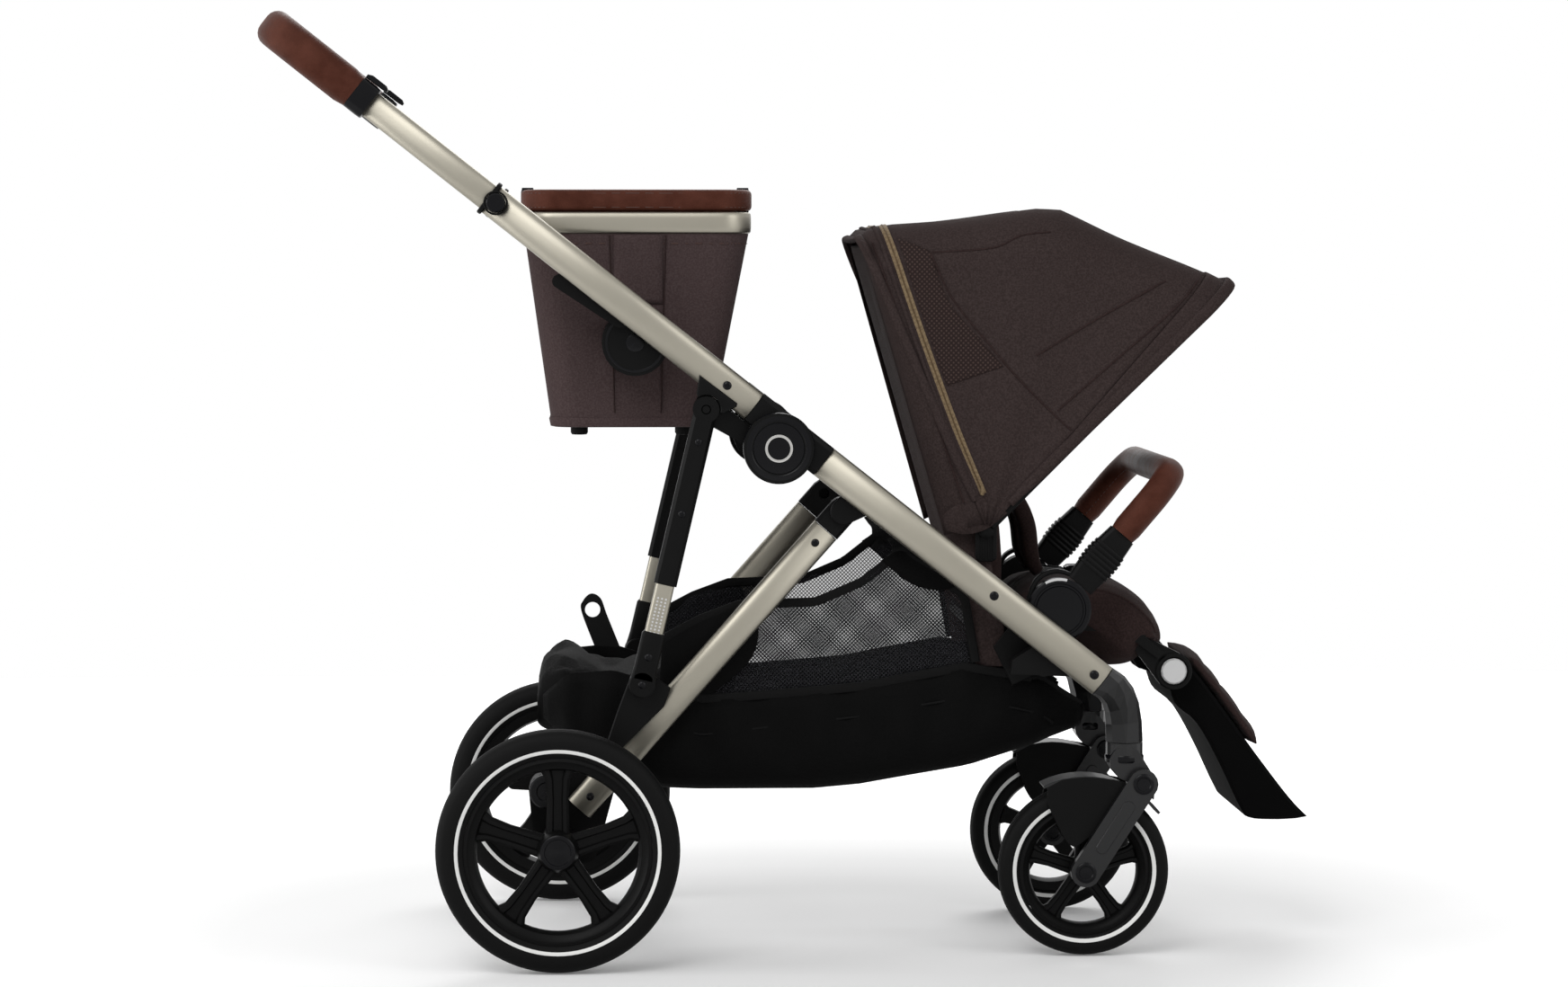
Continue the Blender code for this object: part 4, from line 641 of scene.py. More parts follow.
def turned(
    x: float, z: float, profile: Sequence[Flat], steps: int = 32, side: int = 1, loop: bool = False
) -> bmesh.types.BMesh:
    """Turns a profile about a line across the object.

    Args:
        x: The line's x.
        z: The line's z.
        profile: Radius and distance from the middle plane, in order.
        steps: Points round it.
        side: -1 for the right side, 1 for the left.
        loop: Whether the profile closes on itself, as a ring's does.

    Returns:
        The closed mesh.
    """
    rings = [[(x + a, side * y, z + b) for a, b in circle(radius, steps)] for radius, y in profile]
    return loft(rings, loop)


def frames_along(path: Sequence[Vector], up: Vector) -> list[tuple[Vector, Vector]]:
    """Gives two unit steps across a path at each of its points, turned as little as possible."""
    frames = []
    last = up
    for i in range(len(path)):
        run = (path[min(i + 1, len(path) - 1)] - path[max(i - 1, 0)]).normalized()
        across = (last - run * last.dot(run)).normalized()
        frames.append((across, run.cross(across)))
        last = across
    return frames


def swept(
    path: Sequence[Sequence[float]],
    section: Sequence[Flat],
    up: Sequence[float] = (0.0, 1.0, 0.0),
    scale: Callable[[float], float] | None = None,
    loop: bool = False,
) -> bmesh.types.BMesh:
    """Sweeps a section along a path.

    Args:
        path: The points that it follows.
        section: The section, its first axis along up.
        up: A direction roughly across the path at its start.
        scale: The section's size by the share of the path.
        loop: Whether the path closes on itself.

    Returns:
        The closed mesh.
    """
    points = [Vector(point) for point in path]
    rings = []
    for i, (point, (across, aside)) in enumerate(zip(points, frames_along(points, Vector(up)))):
        size = scale(i / (len(points) - 1)) if scale else 1.0
        rings.append([tuple(point + across * (a * size) + aside * (b * size)) for a, b in section])
    return loft(rings, loop)


def smooth_line(points: Sequence[Sequence[float]], steps: int) -> list[tuple[float, ...]]:
    """Gives even points on a smooth curve through the given ones."""
    knots = [points[0], *points, points[-1]]
    count = len(points) - 1
    line = []
    for i in range(steps + 1):
        place = min(i / steps * count, count - 1e-9)
        k = int(place)
        t = place - k
        weights = (
            (-t + 2 * t * t - t**3) / 2,
            (2 - 5 * t * t + 3 * t**3) / 2,
            (t + 4 * t * t - 3 * t**3) / 2,
            (t**3 - t * t) / 2,
        )
        line.append(tuple(sum(w * v for w, v in zip(weights, values)) for values in zip(*knots[k : k + 4])))
    return line


def hull(points: Iterable[Flat]) -> list[Flat]:
    """Gives the convex outline round side-view points."""
    ordered = sorted({(round(x, 7), round(z, 7)) for x, z in points})

    def half(line: Sequence[Flat]) -> list[Flat]:
        """Gives one half of the outline."""
        chain: list[Flat] = []
        for p in line:
            while len(chain) > 1 and (chain[-1][0] - chain[-2][0]) * (p[1] - chain[-2][1]) <= (
                chain[-1][1] - chain[-2][1]
            ) * (p[0] - chain[-2][0]):
                chain.pop()
            chain.append(p)
        return chain

    return half(ordered)[:-1] + half(ordered[::-1])[:-1]


def hull_of_discs(*discs: tuple[float, float, float]) -> list[Flat]:
    """Wraps discs given as x, z and radius in one outline."""
    return hull((x + a, z + b) for x, z, radius in discs for a, b in circle(radius, 28))


def piece(
    name: str,
    bm: bmesh.types.BMesh,
    finish: Finish,
    body: str,
    stands_for: Sequence[str] = (),
    crease: float = 35.0,
    subdivide: int = 0,
    thick: float = 0.0,
) -> bpy.types.Object:
    """body: The body that it rides on; empty for one that rides on none.
        stands_for: The CAD nodes that it replaces.
        crease: The angle in degrees above which an edge stays sharp.
        subdivide: Levels of smooth subdivision.
        thick: The thickness given to an open cloth.

    Returns:
        The piece's object.
    """
    bmesh.ops.recalc_face_normals(bm, faces=bm.faces)
    mesh = bpy.data.meshes.new(name)
    bm.to_mesh(mesh)
    bm.free()
    mesh.materials.append(finish.material())
    mesh.shade_smooth()
    if crease < 180:
        mesh.set_sharp_from_angle(angle=math.radians(crease))
    obj = bpy.data.objects.new(name, mesh)
    bpy.context.scene.collection.objects.link(obj)
    if thick:
        solid = obj.modifiers.new("cloth_thickness", "SOLIDIFY")
        solid.thickness = thick
        solid.offset = 0.0
    if subdivide:
        smooth = obj.modifiers.new("smooth", "SUBSURF")
        smooth.levels = smooth.render_levels = subdivide
    if body:
        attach(obj, body)
    if stands_for:
        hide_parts(*stands_for)
    LOG.info("%s on %s", name, body or "two bodies")
    return obj


def tessellate(obj: bpy.types.Object) -> None:
    """Applies a piece's modifiers to its mesh."""
    graph = bpy.context.evaluated_depsgraph_get()
    made = bpy.data.meshes.new_from_object(obj.evaluated_get(graph))
    obj.modifiers.clear()
    old = obj.data
    obj.data = made
    bpy.data.meshes.remove(old)


def puff(obj: bpy.types.Object, pressure: float, cap: float, voxel: float = 0.005) -> None:
    """Blows a pad up with a cloth simulation and applies the result.

    Args:
        obj: The closed pad, still without a body.
        pressure: The air pressure in it.
        cap: How far a point may move, in metres.
        voxel: The size of the even mesh that it is made of first.
    """
    remesh = obj.modifiers.new("even_mesh", "REMESH")
    remesh.mode = "VOXEL"
    remesh.voxel_size = voxel
    tessellate(obj)
    rest = np.array([v.co for v in obj.data.vertices])
    cloth = obj.modifiers.new("cloth", "CLOTH")
    cloth.settings.use_pressure = True
    cloth.settings.uniform_pressure_force = pressure
    cloth.settings.effector_weights.gravity = 0.0
    cloth.settings.tension_stiffness = 20
    cloth.settings.compression_stiffness = 20
    scene = bpy.context.scene
    for frame in range(1, 21):
        scene.frame_set(frame)
    graph = bpy.context.evaluated_depsgraph_get()
    blown = np.array([v.co for v in obj.evaluated_get(graph).data.vertices])
    obj.modifiers.clear()
    scene.frame_set(1)
    move = blown - rest
    length = np.linalg.norm(move, axis=1, keepdims=True)
    move *= np.minimum(1.0, cap / np.maximum(length, 1e-9))
    obj.data.vertices.foreach_set("co", (rest + move).ravel())
    obj.data.update()


def repaint(nodes: dict[str, bpy.types.Object], names: Iterable[str], finish: Finish) -> None:
    """Gives CAD nodes whose shape is right their finish.

    Args:
        nodes: The CAD nodes by name.
        names: Which of them to paint.
        finish: Their finish.
    """
    for name in names:
        node = nodes[name]
        node.data.materials.clear()
        node.data.materials.append(finish.material())
        node.data.shade_smooth()
        node.data.set_sharp_from_angle(angle=math.radians(32))


def thread_line(
    name: str, path: Sequence[
        Sequence[float]
    ], body: str, finish: Finish = BONDED_THREAD, width: float = 0.0011
) -> bpy.types.Object:
    """Lays a sewn line of separate stitches on a surface.

    Args:
        name: The piece's name.
        path: Close points along the line, on the surface.
        body: The body that it rides on; empty for one that rides on none.
        finish: The thread.
        width: The thread's thickness.

    Returns:
        The piece's object.
    """
    stitch, gap = 0.0042, 0.0016
    line = [Vector(p) for p in path]
    runs = []
    travelled, current = 0.0, [line[0]]
    for a, b in zip(line, line[1:]):
        travelled += (b - a).length
        if travelled % (stitch + gap) < stitch:
            current.append(b)
        elif len(current) > 1:
            runs.append(current)
            current = []
    section = circle(width / 2, 5)
    meshes = [swept(run, section, up=(0.3, 0.9, 0.2)) for run in runs if len(run) > 1]
    return piece(name, merged(*meshes), finish, body, crease=180)


# The object's shared lines


class Side(Enum):
    """A side of the object, with its sign on Y."""

    RIGHT = -1
    LEFT = 1

    @property
    def tag(self) -> str:
        """Gives the side's name in node and body names."""
        return self.name.lower()


@dataclass(frozen=True)
class FrameLine:
    """The sloping line that the frame tubes follow.

    Attributes:
        hinge_x: The fold hinge's x.
        hinge_z: The fold hinge's z.
        drop: How far the hinge lies below the tube's middle line.
        tilt: The slope below the horizontal, going forward, in radians.
        plane: The tubes' distance from the middle plane.
        thick: The tubes' thickness across the object.
    """

    hinge_x: float = -0.019
    hinge_z: float = 0.619
    drop: float = 0.0207
    tilt: float = math.radians(38.3)
    plane: float = 0.235
    thick: float = 0.024

    @property
    def outer(self) -> float:
        """Gives the plane of the tubes' outer faces."""
        return self.plane + self.thick / 2

    @property
    def inner(self) -> float:
        """Gives the plane of the tubes' inner faces."""
        return self.plane - self.thick / 2

    def at(self, along: float, across: float = 0.0) -> Flat:
        """Gives the side-view point at a distance along the tube and above its middle line."""
        rise = self.drop + across
        x = self.hinge_x + rise * math.sin(self.tilt) + along * math.cos(self.tilt)
        z = self.hinge_z + rise * math.cos(self.tilt) - along * math.sin(self.tilt)
        return x, z

    def ring(self, along: float, section: Sequence[Flat], side: Side, lift: float = 0.0) -> Ring:
        """Gives a section square to the tube; its first axis points up, its second outwards.

        Args:
            along: The distance from the hinge along the tube.
            section: The section's points.
            side: Its side of the object.
            lift: How far it is raised off the tube's middle.

        Returns:
            The ring of points.
        """
        ring = []
        for across, out in section:
            x, z = self.at(along, across + lift)
            ring.append((x, side.value * (self.plane + out), z))
        return ring


LINE = FrameLine()


# Sub-assemblies


@dataclass
class Wheel:
    """A foam tyre on a five-spoked plastic rim.

    Attributes:
        kind: "rear" or "front", as in the node names.
        side: Its side of the object.
        x: The axle's x.
        y: Its middle's distance from the object's middle plane.
        radius: The tyre's outer radius; the axle is as high above the floor.
        width: The tyre's width.
        tyre_inner: The radius where the tyre meets the rim.
        rim_inner: The radius inside the rim's ring.
        line: The inner and outer radius of the pale line.
        hub: The hub cap's radius.
        spoke: The spoke's width at its middle.
        bore: The hole for the axle.
        steps: How many points the tyre has round its axle.
    """

    kind: str
    side: Side
    x: float
    y: float
    radius: float
    width: float
    tyre_inner: float
    rim_inner: float
    line: Flat
    hub: float
    spoke: float
    bore: float
    steps: int = 120

    @property
    def body(self) -> str:
        """Gives the body that it turns with."""
        return f"{self.kind}_wheel_{self.side.tag}"

    def bulge(self, radius: float) -> float:
        """Gives the tyre's half width at a radius."""
        share = (radius - self.tyre_inner) / (self.radius - self.tyre_inner)
        knots = (
            (0.0, 0.76), (0.10, 0.90), (0.28, 0.985), (0.50, 1.0), (0.72, 0.95), (0.86, 0.83), (0.95, 0.62)
        )
        for (a, low), (b, high) in zip(knots, knots[1:]):
            if share <= b:
                return self.width / 2 * (low + (high - low) * (share - a) / (b - a))
        return self.width / 2 * 0.62

    def build(self) -> None:
        """Builds the wheel's pieces."""
        self.tyre()
        self.pale_lines()
        self.rim()
        self.hub_caps()

    def tyre(self) -> None:
        """Makes the tyre, with three fine grooves round its tread."""
        z = self.radius
        shares = (0.0, 0.10, 0.28, 0.50, 0.72, 0.86, 0.95)
        radii = [self.tyre_inner + (self.radius - self.tyre_inner) * share for share in shares]
        profile = [(r, self.bulge(r)) for r in radii]
        groove = [
            (self.radius, 0.0016), (self.radius - 0.0014, 0.0010), (self.radius - 0.0014, -0.0010),
            (self.radius, -0.0016)
        ]
        tread = [
            (r - 0.004 * abs(y + at) / self.width, y + at)
            for at in (self.width * 0.20, 0.0, -self.width * 0.20) for r, y in groove
        ]
        section = profile + tread + [(r, -half) for r, half in reversed(profile)]
        rings = []
        for i in range(self.steps):
            angle = math.tau * i / self.steps
            rings.append(
                [
                    (self.x + r * math.cos(angle), self.side.value * (self.y + out), z + r * math.sin(angle))
                    for r, out in section
                ]
            )
        name = f"{self.kind}_tyre_{self.side.tag}"
        piece(f"{name}_foam", loft(rings, loop=True), FOAMED_RUBBER, self.body, (name,), crease=40)

    def pale_lines(self) -> None:
        """Makes the pale line on both sides of the tyre."""
        inner, outer = self.line
        meshes = []
        for facing in (1, -1):
            profile = [
                (inner, self.y + facing * (self.bulge(inner) - 0.001)),
                (inner, self.y + facing * (self.bulge(inner) + 0.0005)),
                ((inner + outer) / 2, self.y + facing * (self.bulge((inner + outer) / 2) + 0.0008)),
                (outer, self.y + facing * (self.bulge(outer) + 0.0005)),
                (outer, self.y + facing * (self.bulge(outer) - 0.001)),
            ]
            meshes.append(turned(self.x, self.radius, profile, 96, self.side.value, loop=True))
        piece(
            f"{self.kind}_tyre_line_{self.side.tag}", merged(*meshes), WHITE_TYRE_LINE, self.body, crease=60
        )

    def rim(self) -> None:
        """Makes the rim's ring and its five spokes, hollowed on the outer face."""
        z, sign = self.radius, self.side.value
        half = self.width * 0.37
        outer, inner = self.tyre_inner - 0.0004, self.rim_inner
        ring = [
            (outer, -half),
            (outer, half),
            (outer - 0.004, half + 0.001),
            (outer - 0.007, half - 0.002),
            (inner + 0.003, half - 0.004),
            (inner, half * 0.35),
            (inner, -half * 0.35),
            (inner + 0.003, -half + 0.002),
        ]
        meshes = [turned(self.x, z, [(r, self.y + out) for r, out in ring], 80, sign, loop=True)]
        reach = inner + 0.004
        stations = (
            (self.hub * 0.55, 1.35), (self.hub * 1.3, 1.25), (reach * 0.62, 1.15), (reach * 0.86, 1.35),
            (reach, 2.1)
        )
        deep = self.width * 0.19
        for i in range(5):
            angle = math.pi / 2 + math.tau * i / 5
            rings = []
            for radius, wide in stations:
                w = self.spoke / 2 * wide
                section = [
                    (-w, -deep * 0.8),
                    (-w * 1.05, deep * 0.6),
                    (-w * 0.80, deep),
                    (-w * 0.50, deep),
                    (-w * 0.36, deep * 0.62),
                    (w * 0.36, deep * 0.62),
                    (w * 0.50, deep),
                    (w * 0.80, deep),
                    (w * 1.05, deep * 0.6),
                    (w, -deep * 0.8),
                ]
                rings.append(
                    [
                        (
                            self.x + radius * math.cos(angle) - a * math.sin(angle),
                            sign * (self.y + b),
                            z + radius * math.sin(angle) + a * math.cos(angle),
                        )
                        for a, b in section
                    ]
                )
            meshes.append(loft(rings))
        name = f"{self.kind}_rim_{self.side.tag}"
        piece(f"{name}_nylon", merged(*meshes), GLASS_FILLED_NYLON, self.body, (name,))

    def hub_caps(self) -> None:
        """Makes the hub's barrel and, on a rear wheel, its domed cap with a raised ring."""
        sign, w = self.side.value, self.width
        barrel = [
            (self.bore, self.y - w * 0.42),
            (self.hub * 0.95, self.y - w * 0.42),
            (self.hub * 1.22, self.y - w * 0.16),
            (self.hub * 1.22, self.y + w * 0.16),
            (self.hub * 1.02, self.y + w * 0.38),
            (self.bore, self.y + w * 0.38),
        ]
        cap_low = self.y + w * 0.38
        cap = [
            (self.hub, cap_low),
            (self.hub, cap_low + w * 0.06),
            (self.hub * 0.90, cap_low + w * 0.085),
            (self.hub * 0.78, cap_low + w * 0.085),
            (self.hub * 0.74, cap_low + w * 0.06),
            (self.hub * 0.62, cap_low + w * 0.062),
            (self.hub * 0.30, cap_low + w * 0.085),
            (self.hub * 0.05, cap_low + w * 0.09),
        ]
        tag = f"{self.kind}_hub_{self.side.tag}"
        piece(
            f"{tag}_barrel", turned(self.x, self.radius, barrel, 40, sign, loop=True), GLASS_FILLED_NYLON,
            self.body
        )
        if self.kind == "rear":
            piece(f"{tag}_cap", turned(self.x, self.radius, cap, 40, sign), SMOOTH_ABS, self.body)


@dataclass
class FrameSide:
    """The tubes, hinge, strut and leg of one side, dressed with their plastic ends and rivets.

    Attributes:
        side: Its side of the object.
        nodes: The CAD nodes.
        upper_end: The distance from the hinge to the upper tube's end.
        handle_end: The distance from the hinge to the end of the handle's tube.
        rivet: A rivet head's radius.
        strut_top: The strut's upper pivot in the side view.
        strut_foot: Its lower pivot, on the leg.
        leg_top: The leg's upper pivot.
        leg_angle: The leg's lean from the floor.
        leg_outer: The plane of the leg's outer face.
    """

    side: Side
    nodes: dict[str, bpy.types.Object]
    upper_end: float = 0.4439
    handle_end: float = 0.6339
    rivet: float = 0.0048
    strut_top: Flat = (-0.105, 0.665)
    strut_foot: Flat = (-0.182, 0.336)
    leg_top: Flat = (0.060, 0.541)
    leg_angle: float = math.radians(48.4)
    leg_outer: float = 0.2135

    def build(self) -> None:
        """Builds and paints this side."""
        tag = self.side.tag
        repaint(
            self.nodes,
            (f"{n}_{tag}" for n in ("hinge_base", "hinge_arm", "bag_adapter", "strut_sleeve", "leg_cap")),
            GLASS_FILLED_NYLON,
        )
        repaint(self.nodes, (f"height_button_{tag}",), SMOOTH_ABS)
        self.tubes()
        self.leg()
        self.rivets()
        self.tube_end_collar()
        self.grip_collar()
        self.hinge_cover()
        self.strut()
        self.strut_bracket()
        self.fold_trigger()
        self.leg_ends()
        self.bag_carrier()

    def tubes(self) -> None:
        """Draws the three oval tubes that slide and hinge along one line."""
        tag = self.side.tag
        runs = (
            ("front_tube", 0.0534, 0.4804, 0.0400, 0.0240, "root"),
            ("upper_tube", -0.4505, -0.0529, 0.0380, 0.0240, "upper_frame"),
            ("handle_tube", -self.handle_end, -0.3199, 0.0332, 0.0192, "handle"),
        )
        for name, start, end, height, thick, body in runs:
            outer = oval(height, thick)
            edge = oval(height - 0.0012, thick - 0.0012)
            inner = oval(height - 0.0038, thick - 0.0038)
            levels = (
                (start, edge), (start + 0.0006, outer), (end - 0.0006, outer), (end, edge), (end, inner),
                (start, inner)
            )
            rings = [LINE.ring(along, section, self.side) for along, section in levels]
            piece(
                f"{name}_{tag}_aluminium", loft(rings, loop=True), ANODISED_ALUMINIUM, body,
                (f"{name}_{tag}",), crease=50
            )

    def leg(self) -> None:
        """Draws the oval rear leg below its plastic cap."""
        run = Vector((-math.cos(self.leg_angle), -math.sin(self.leg_angle)))
        across = Vector((-run.y, run.x))
        plane = self.leg_outer - 0.011
        levels = (
            (0.0304, 0.0338, 0.0208), (0.0310, 0.0350, 0.0220), (0.4778, 0.0350, 0.0220),
            (0.4784, 0.0338, 0.0208)
        )
        rings = []
        for along, wide, thick in levels:
            ring = []
            for a, b in oval(wide, thick):
                point = Vector(self.leg_top) + run * along + across * a
                ring.append((point.x, self.side.value * (plane + b), point.y))
            rings.append(ring)
        tag = self.side.tag
        piece(
            f"rear_leg_{tag}_aluminium", loft(rings), ANODISED_ALUMINIUM, "rear_frame",
            (f"rear_leg_{tag}",), crease=50
        )

    def strut_bracket(self) -> None:
        """Makes the pointed saddle on the upper tube, above the strut's eye."""
        x, z = self.strut_top
        arc = [
            (x + 0.0174 * math.cos(a), z + 0.0174 * math.sin(a))
            for a in [math.radians(-12 + 132 * i / 10) for i in range(11)]
        ]
        outline = [
            (x - 0.0080, z + 0.0410), (x + 0.0370, z + 0.0072), (x + 0.0362, z + 0.0034),
            (x + 0.0205, z - 0.0052), *arc, (x - 0.0113, z + 0.0180)
        ]
        plate = slab(outline, self.side.value * 0.2300, self.side.value * 0.2482, 0.0010)
        piece(f"strut_bracket_{self.side.tag}", plate, GLASS_FILLED_NYLON, "upper_frame")

    def fold_trigger(self) -> None:
        """Makes the sliding tab on top of the grip's collar."""
        flat = (
            (-0.6560, 0.0216), (-0.6560, 0.0262), (-0.6500, 0.0288), (-0.6300, 0.0288), (-0.6258, 0.0262),
            (-0.6258, 0.0230), (-0.6320, 0.0220)
        )
        outline = [LINE.at(along, across) for along, across in flat]
        plane, tag = LINE.plane, self.side.tag
        tab = slab(outline, self.side.value * (plane - 0.0065), self.side.value * (plane + 0.0065), 0.0012)
        piece(f"fold_trigger_{tag}_tab", tab, SMOOTH_ABS, f"fold_trigger_{tag}", (f"fold_trigger_{tag}",))

    def rivet_heads(
        self, name: str, places: Sequence[Flat], plane: float, body: str, finish: Finish, size: float = 1.0
    ) -> None:
        """Makes domed rivet heads on one plane.

        Args:
            name: The piece's name, without the side.
            places: Their side-view points.
            plane: The distance of the face that they stand on from the middle plane.
            body: The body that they ride on.
            finish: Their finish.
            size: Their size against the common rivet.
        """
        r = self.rivet * size
        profile = [
            (r, plane - 0.0006), (r, plane + 0.0006), (r * 0.8, plane + 0.0015), (r * 0.45, plane + 0.0019),
            (r * 0.4, plane + 0.0012), (r * 0.1, plane + 0.0012)
        ]
        meshes = [turned(x, z, profile, 18, self.side.value) for x, z in places]
        piece(f"{name}_{self.side.tag}", merged(*meshes), finish, body)

    def rivets(self) -> None:
        """Sets the rivets of the tubes."""
        self.rivet_heads(
            "front_tube_rivets", [LINE.at(0.313), LINE.at(0.467)], LINE.outer, "root", SMOOTH_ABS, 1.15
        )
        self.rivet_heads("upper_tube_rivet", [LINE.at(-0.094)], LINE.outer, "upper_frame", SMOOTH_ABS, 1.1)
        along = Vector((-math.cos(self.leg_angle), -math.sin(self.leg_angle)))
        top = Vector(self.leg_top)
        high, low = top + along * 0.050, top + along * 0.458
        self.rivet_heads(
            "rear_leg_rivets", [tuple(high), tuple(low)], self.leg_outer, "rear_frame", SMOOTH_ABS
        )

    def tube_band(
        self, start: float, end: float, outer: Flat, inner: Flat, corner: float
    ) -> bmesh.types.BMesh:
        """Makes a band round the frame tube.

        Args:
            start: Where it starts along the tube.
            end: Where it ends.
            outer: Its outer height and thickness.
            inner: The hole's height and thickness.
            corner: Its corner radius.

        Returns:
            The closed mesh.
        """
        shell = rounded_box(outer[0], outer[1], corner)
        small = rounded_box(outer[0] - 0.002, outer[1] - 0.002, corner - 0.001)
        hole = rounded_box(inner[0], inner[1], corner - 0.002)
        edge = 0.001
        rings = [
            LINE.ring(start, small, self.side),
            LINE.ring(start + edge, shell, self.side),
            LINE.ring(end - edge, shell, self.side),
            LINE.ring(end, small, self.side),
            LINE.ring(end, hole, self.side),
            LINE.ring(start, hole, self.side),
        ]
        return loft(rings, loop=True)

    def tube_end_collar(self) -> None:
        """Makes the black collar at the upper tube's end, with the ring round its button."""
        start, end = -self.upper_end - 0.0118, -self.upper_end - 0.0064
        band = self.tube_band(start, end, (0.0446, 0.0290), (0.0352, 0.0212), 0.0115)
        x, z = LINE.at(-self.upper_end)
        low = LINE.outer
        ring = [
            (0.0124, low), (0.0146, low), (0.0146, low + 0.0042), (0.0140, low + 0.0048),
            (0.0124, low + 0.0048)
        ]
        boss = turned(x, z, ring, 32, self.side.value, loop=True)
        piece(f"tube_end_collar_{self.side.tag}", merged(band, boss), GLASS_FILLED_NYLON, "upper_frame")

    def grip_collar(self) -> None:
        """Makes the black collar that the grip starts from, with the trigger's rail."""
        end = -self.handle_end + 0.0024
        start = -self.handle_end - 0.0222
        big, small = rounded_box(0.0420, 0.0300, 0.0105), rounded_box(0.0385, 0.0255, 0.0095)
        rings = [
            LINE.ring(start, big, self.side),
            LINE.ring(-self.handle_end - 0.004, big, self.side),
            LINE.ring(end - 0.001, rounded_box(0.0413, 0.0292, 0.0102), self.side),
            LINE.ring(end, small, self.side),
        ]
        rail = [
            LINE.ring(s, rounded_box(0.0126, 0.0106, 0.003), self.side, 0.0150)
            for s in (start, -self.handle_end - 0.0036)
        ]
        mesh = merged(loft(rings), loft(rail))
        piece(f"grip_collar_{self.side.tag}", mesh, SMOOTH_ABS, "handle")

    def hinge_cover(self) -> None:
        """Makes the hinge's round cover: a stepped rim and a bare, slightly domed disc."""
        low = LINE.outer + 0.0010
        profile = [
            (0.0424, low),
            (0.0426, low + 0.0105),
            (0.0410, low + 0.0132),
            (0.0330, low + 0.0142),
            (0.0318, low + 0.0134),
            (0.0308, low + 0.0134),
            (0.0300, low + 0.0144),
            (0.0180, low + 0.0152),
            (0.0020, low + 0.0155),
        ]
        tag, sign = self.side.tag, self.side.value
        x, z = LINE.hinge_x, LINE.hinge_z
        piece(f"hinge_cover_{tag}", turned(x, z, profile, 64, sign), SMOOTH_ABS, "root")
        ring = [
            (0.0165, low + 0.0150), (0.0165, low + 0.0160), (0.0150, low + 0.0163), (0.0135, low + 0.0160),
            (0.0135, low + 0.0150)
        ]
        piece(f"hinge_cover_ring_{tag}", turned(x, z, ring, 48, sign, loop=True), STEEL_RIVET, "root")

    def bar_section(self, along: float, wide: float, thick: float, plane: float, corner: float) -> Ring:
        """Gives a section square to the strut at a distance from its top.

        Args:
            along: The distance from the strut's upper pivot.
            wide: The section's width in the side view.
            thick: Its thickness across.
            plane: Its middle's distance from the middle plane.
            corner: Its corners' radius.

        Returns:
            The ring of points.
        """
        top, foot = Vector(self.strut_top), Vector(self.strut_foot)
        run = (foot - top).normalized()
        across = Vector((-run.y, run.x))
        ring = []
        for a, b in rounded_box(wide, thick, corner, 3):
            point = top + run * along + across * a
            ring.append((point.x, self.side.value * (plane + b), point.y))
        return ring

    def strut(self) -> None:
        """Makes the strut's tube with its punched dots, its black foot and rivets."""
        tag = self.side.tag
        length = (Vector(self.strut_foot) - Vector(self.strut_top)).length
        tube = [
            self.bar_section(s, 0.0225, 0.0190, 0.235, 0.004)
            for s in (0.2154, 0.245, 0.262, length - 0.040)
        ]
        piece(f"strut_tube_{tag}_aluminium", loft(tube), ANODISED_ALUMINIUM, "struts", (f"strut_tube_{tag}",))
        foot = [
            self.bar_section(s, w, t, 0.235, 0.004)
            for s, w, t in (
                (length - 0.064, 0.0240, 0.0200),
                (length - 0.061, 0.0274, 0.0213),
                (length - 0.020, 0.0278, 0.0214),
                (length - 0.006, 0.0300, 0.0214),
            )
        ]
        fx, fz = self.strut_foot
        eye = turned(
            fx, fz, [(0.0145, 0.2245), (0.0160, 0.2255), (0.0160, 0.2445), (0.0145, 0.2457)], 32,
            self.side.value
        )
        piece(f"strut_foot_{tag}", merged(loft(foot), eye), GLASS_FILLED_NYLON, "struts")
        run = (Vector(self.strut_foot) - Vector(self.strut_top)).normalized()
        across = Vector((-run.y, run.x))
        dots = []
        for row in range(12):
            for column in (-1, 0, 1):
                spot = Vector(self.strut_top) + run * (0.232 + row * 0.0042) + across * (column * 0.0048)
                profile = [(0.00125, 0.2440), (0.00125, 0.2447), (0.0004, 0.2447)]
                dots.append(turned(spot.x, spot.y, profile, 8, self.side.value))
        piece(f"strut_dots_{tag}", merged(*dots), LACQUERED_ABS, "struts")
        places = [tuple(Vector(self.strut_top) + run * s) for s in (0.040, 0.128)]
        self.rivet_heads("strut_sleeve_rivets", places, 0.2455, "struts", SMOOTH_ABS, 0.9)
        places = [tuple(Vector(self.strut_top) + run * (length - 0.034)), self.strut_foot]
        self.rivet_heads("strut_foot_rivets", places, 0.2457, "struts", SMOOTH_ABS, 0.95)

    def leg_ends(self) -> None:
        """Makes the black plates at the leg: its footing for the strut and the lug on the tube."""
        tag, sign = self.side.tag, self.side.value
        fx, fz = self.strut_foot
        footing = hull(
            [(fx + a, fz + b) for a, b in circle(0.0156, 24)]
            + [
                (fx + 0.0346, fz - 0.006), (fx + 0.0266, fz - 0.0286), (fx - 0.0296, fz - 0.0346),
                (fx - 0.0416, fz - 0.0704), (fx - 0.0302, fz - 0.0846)
            ]
        )
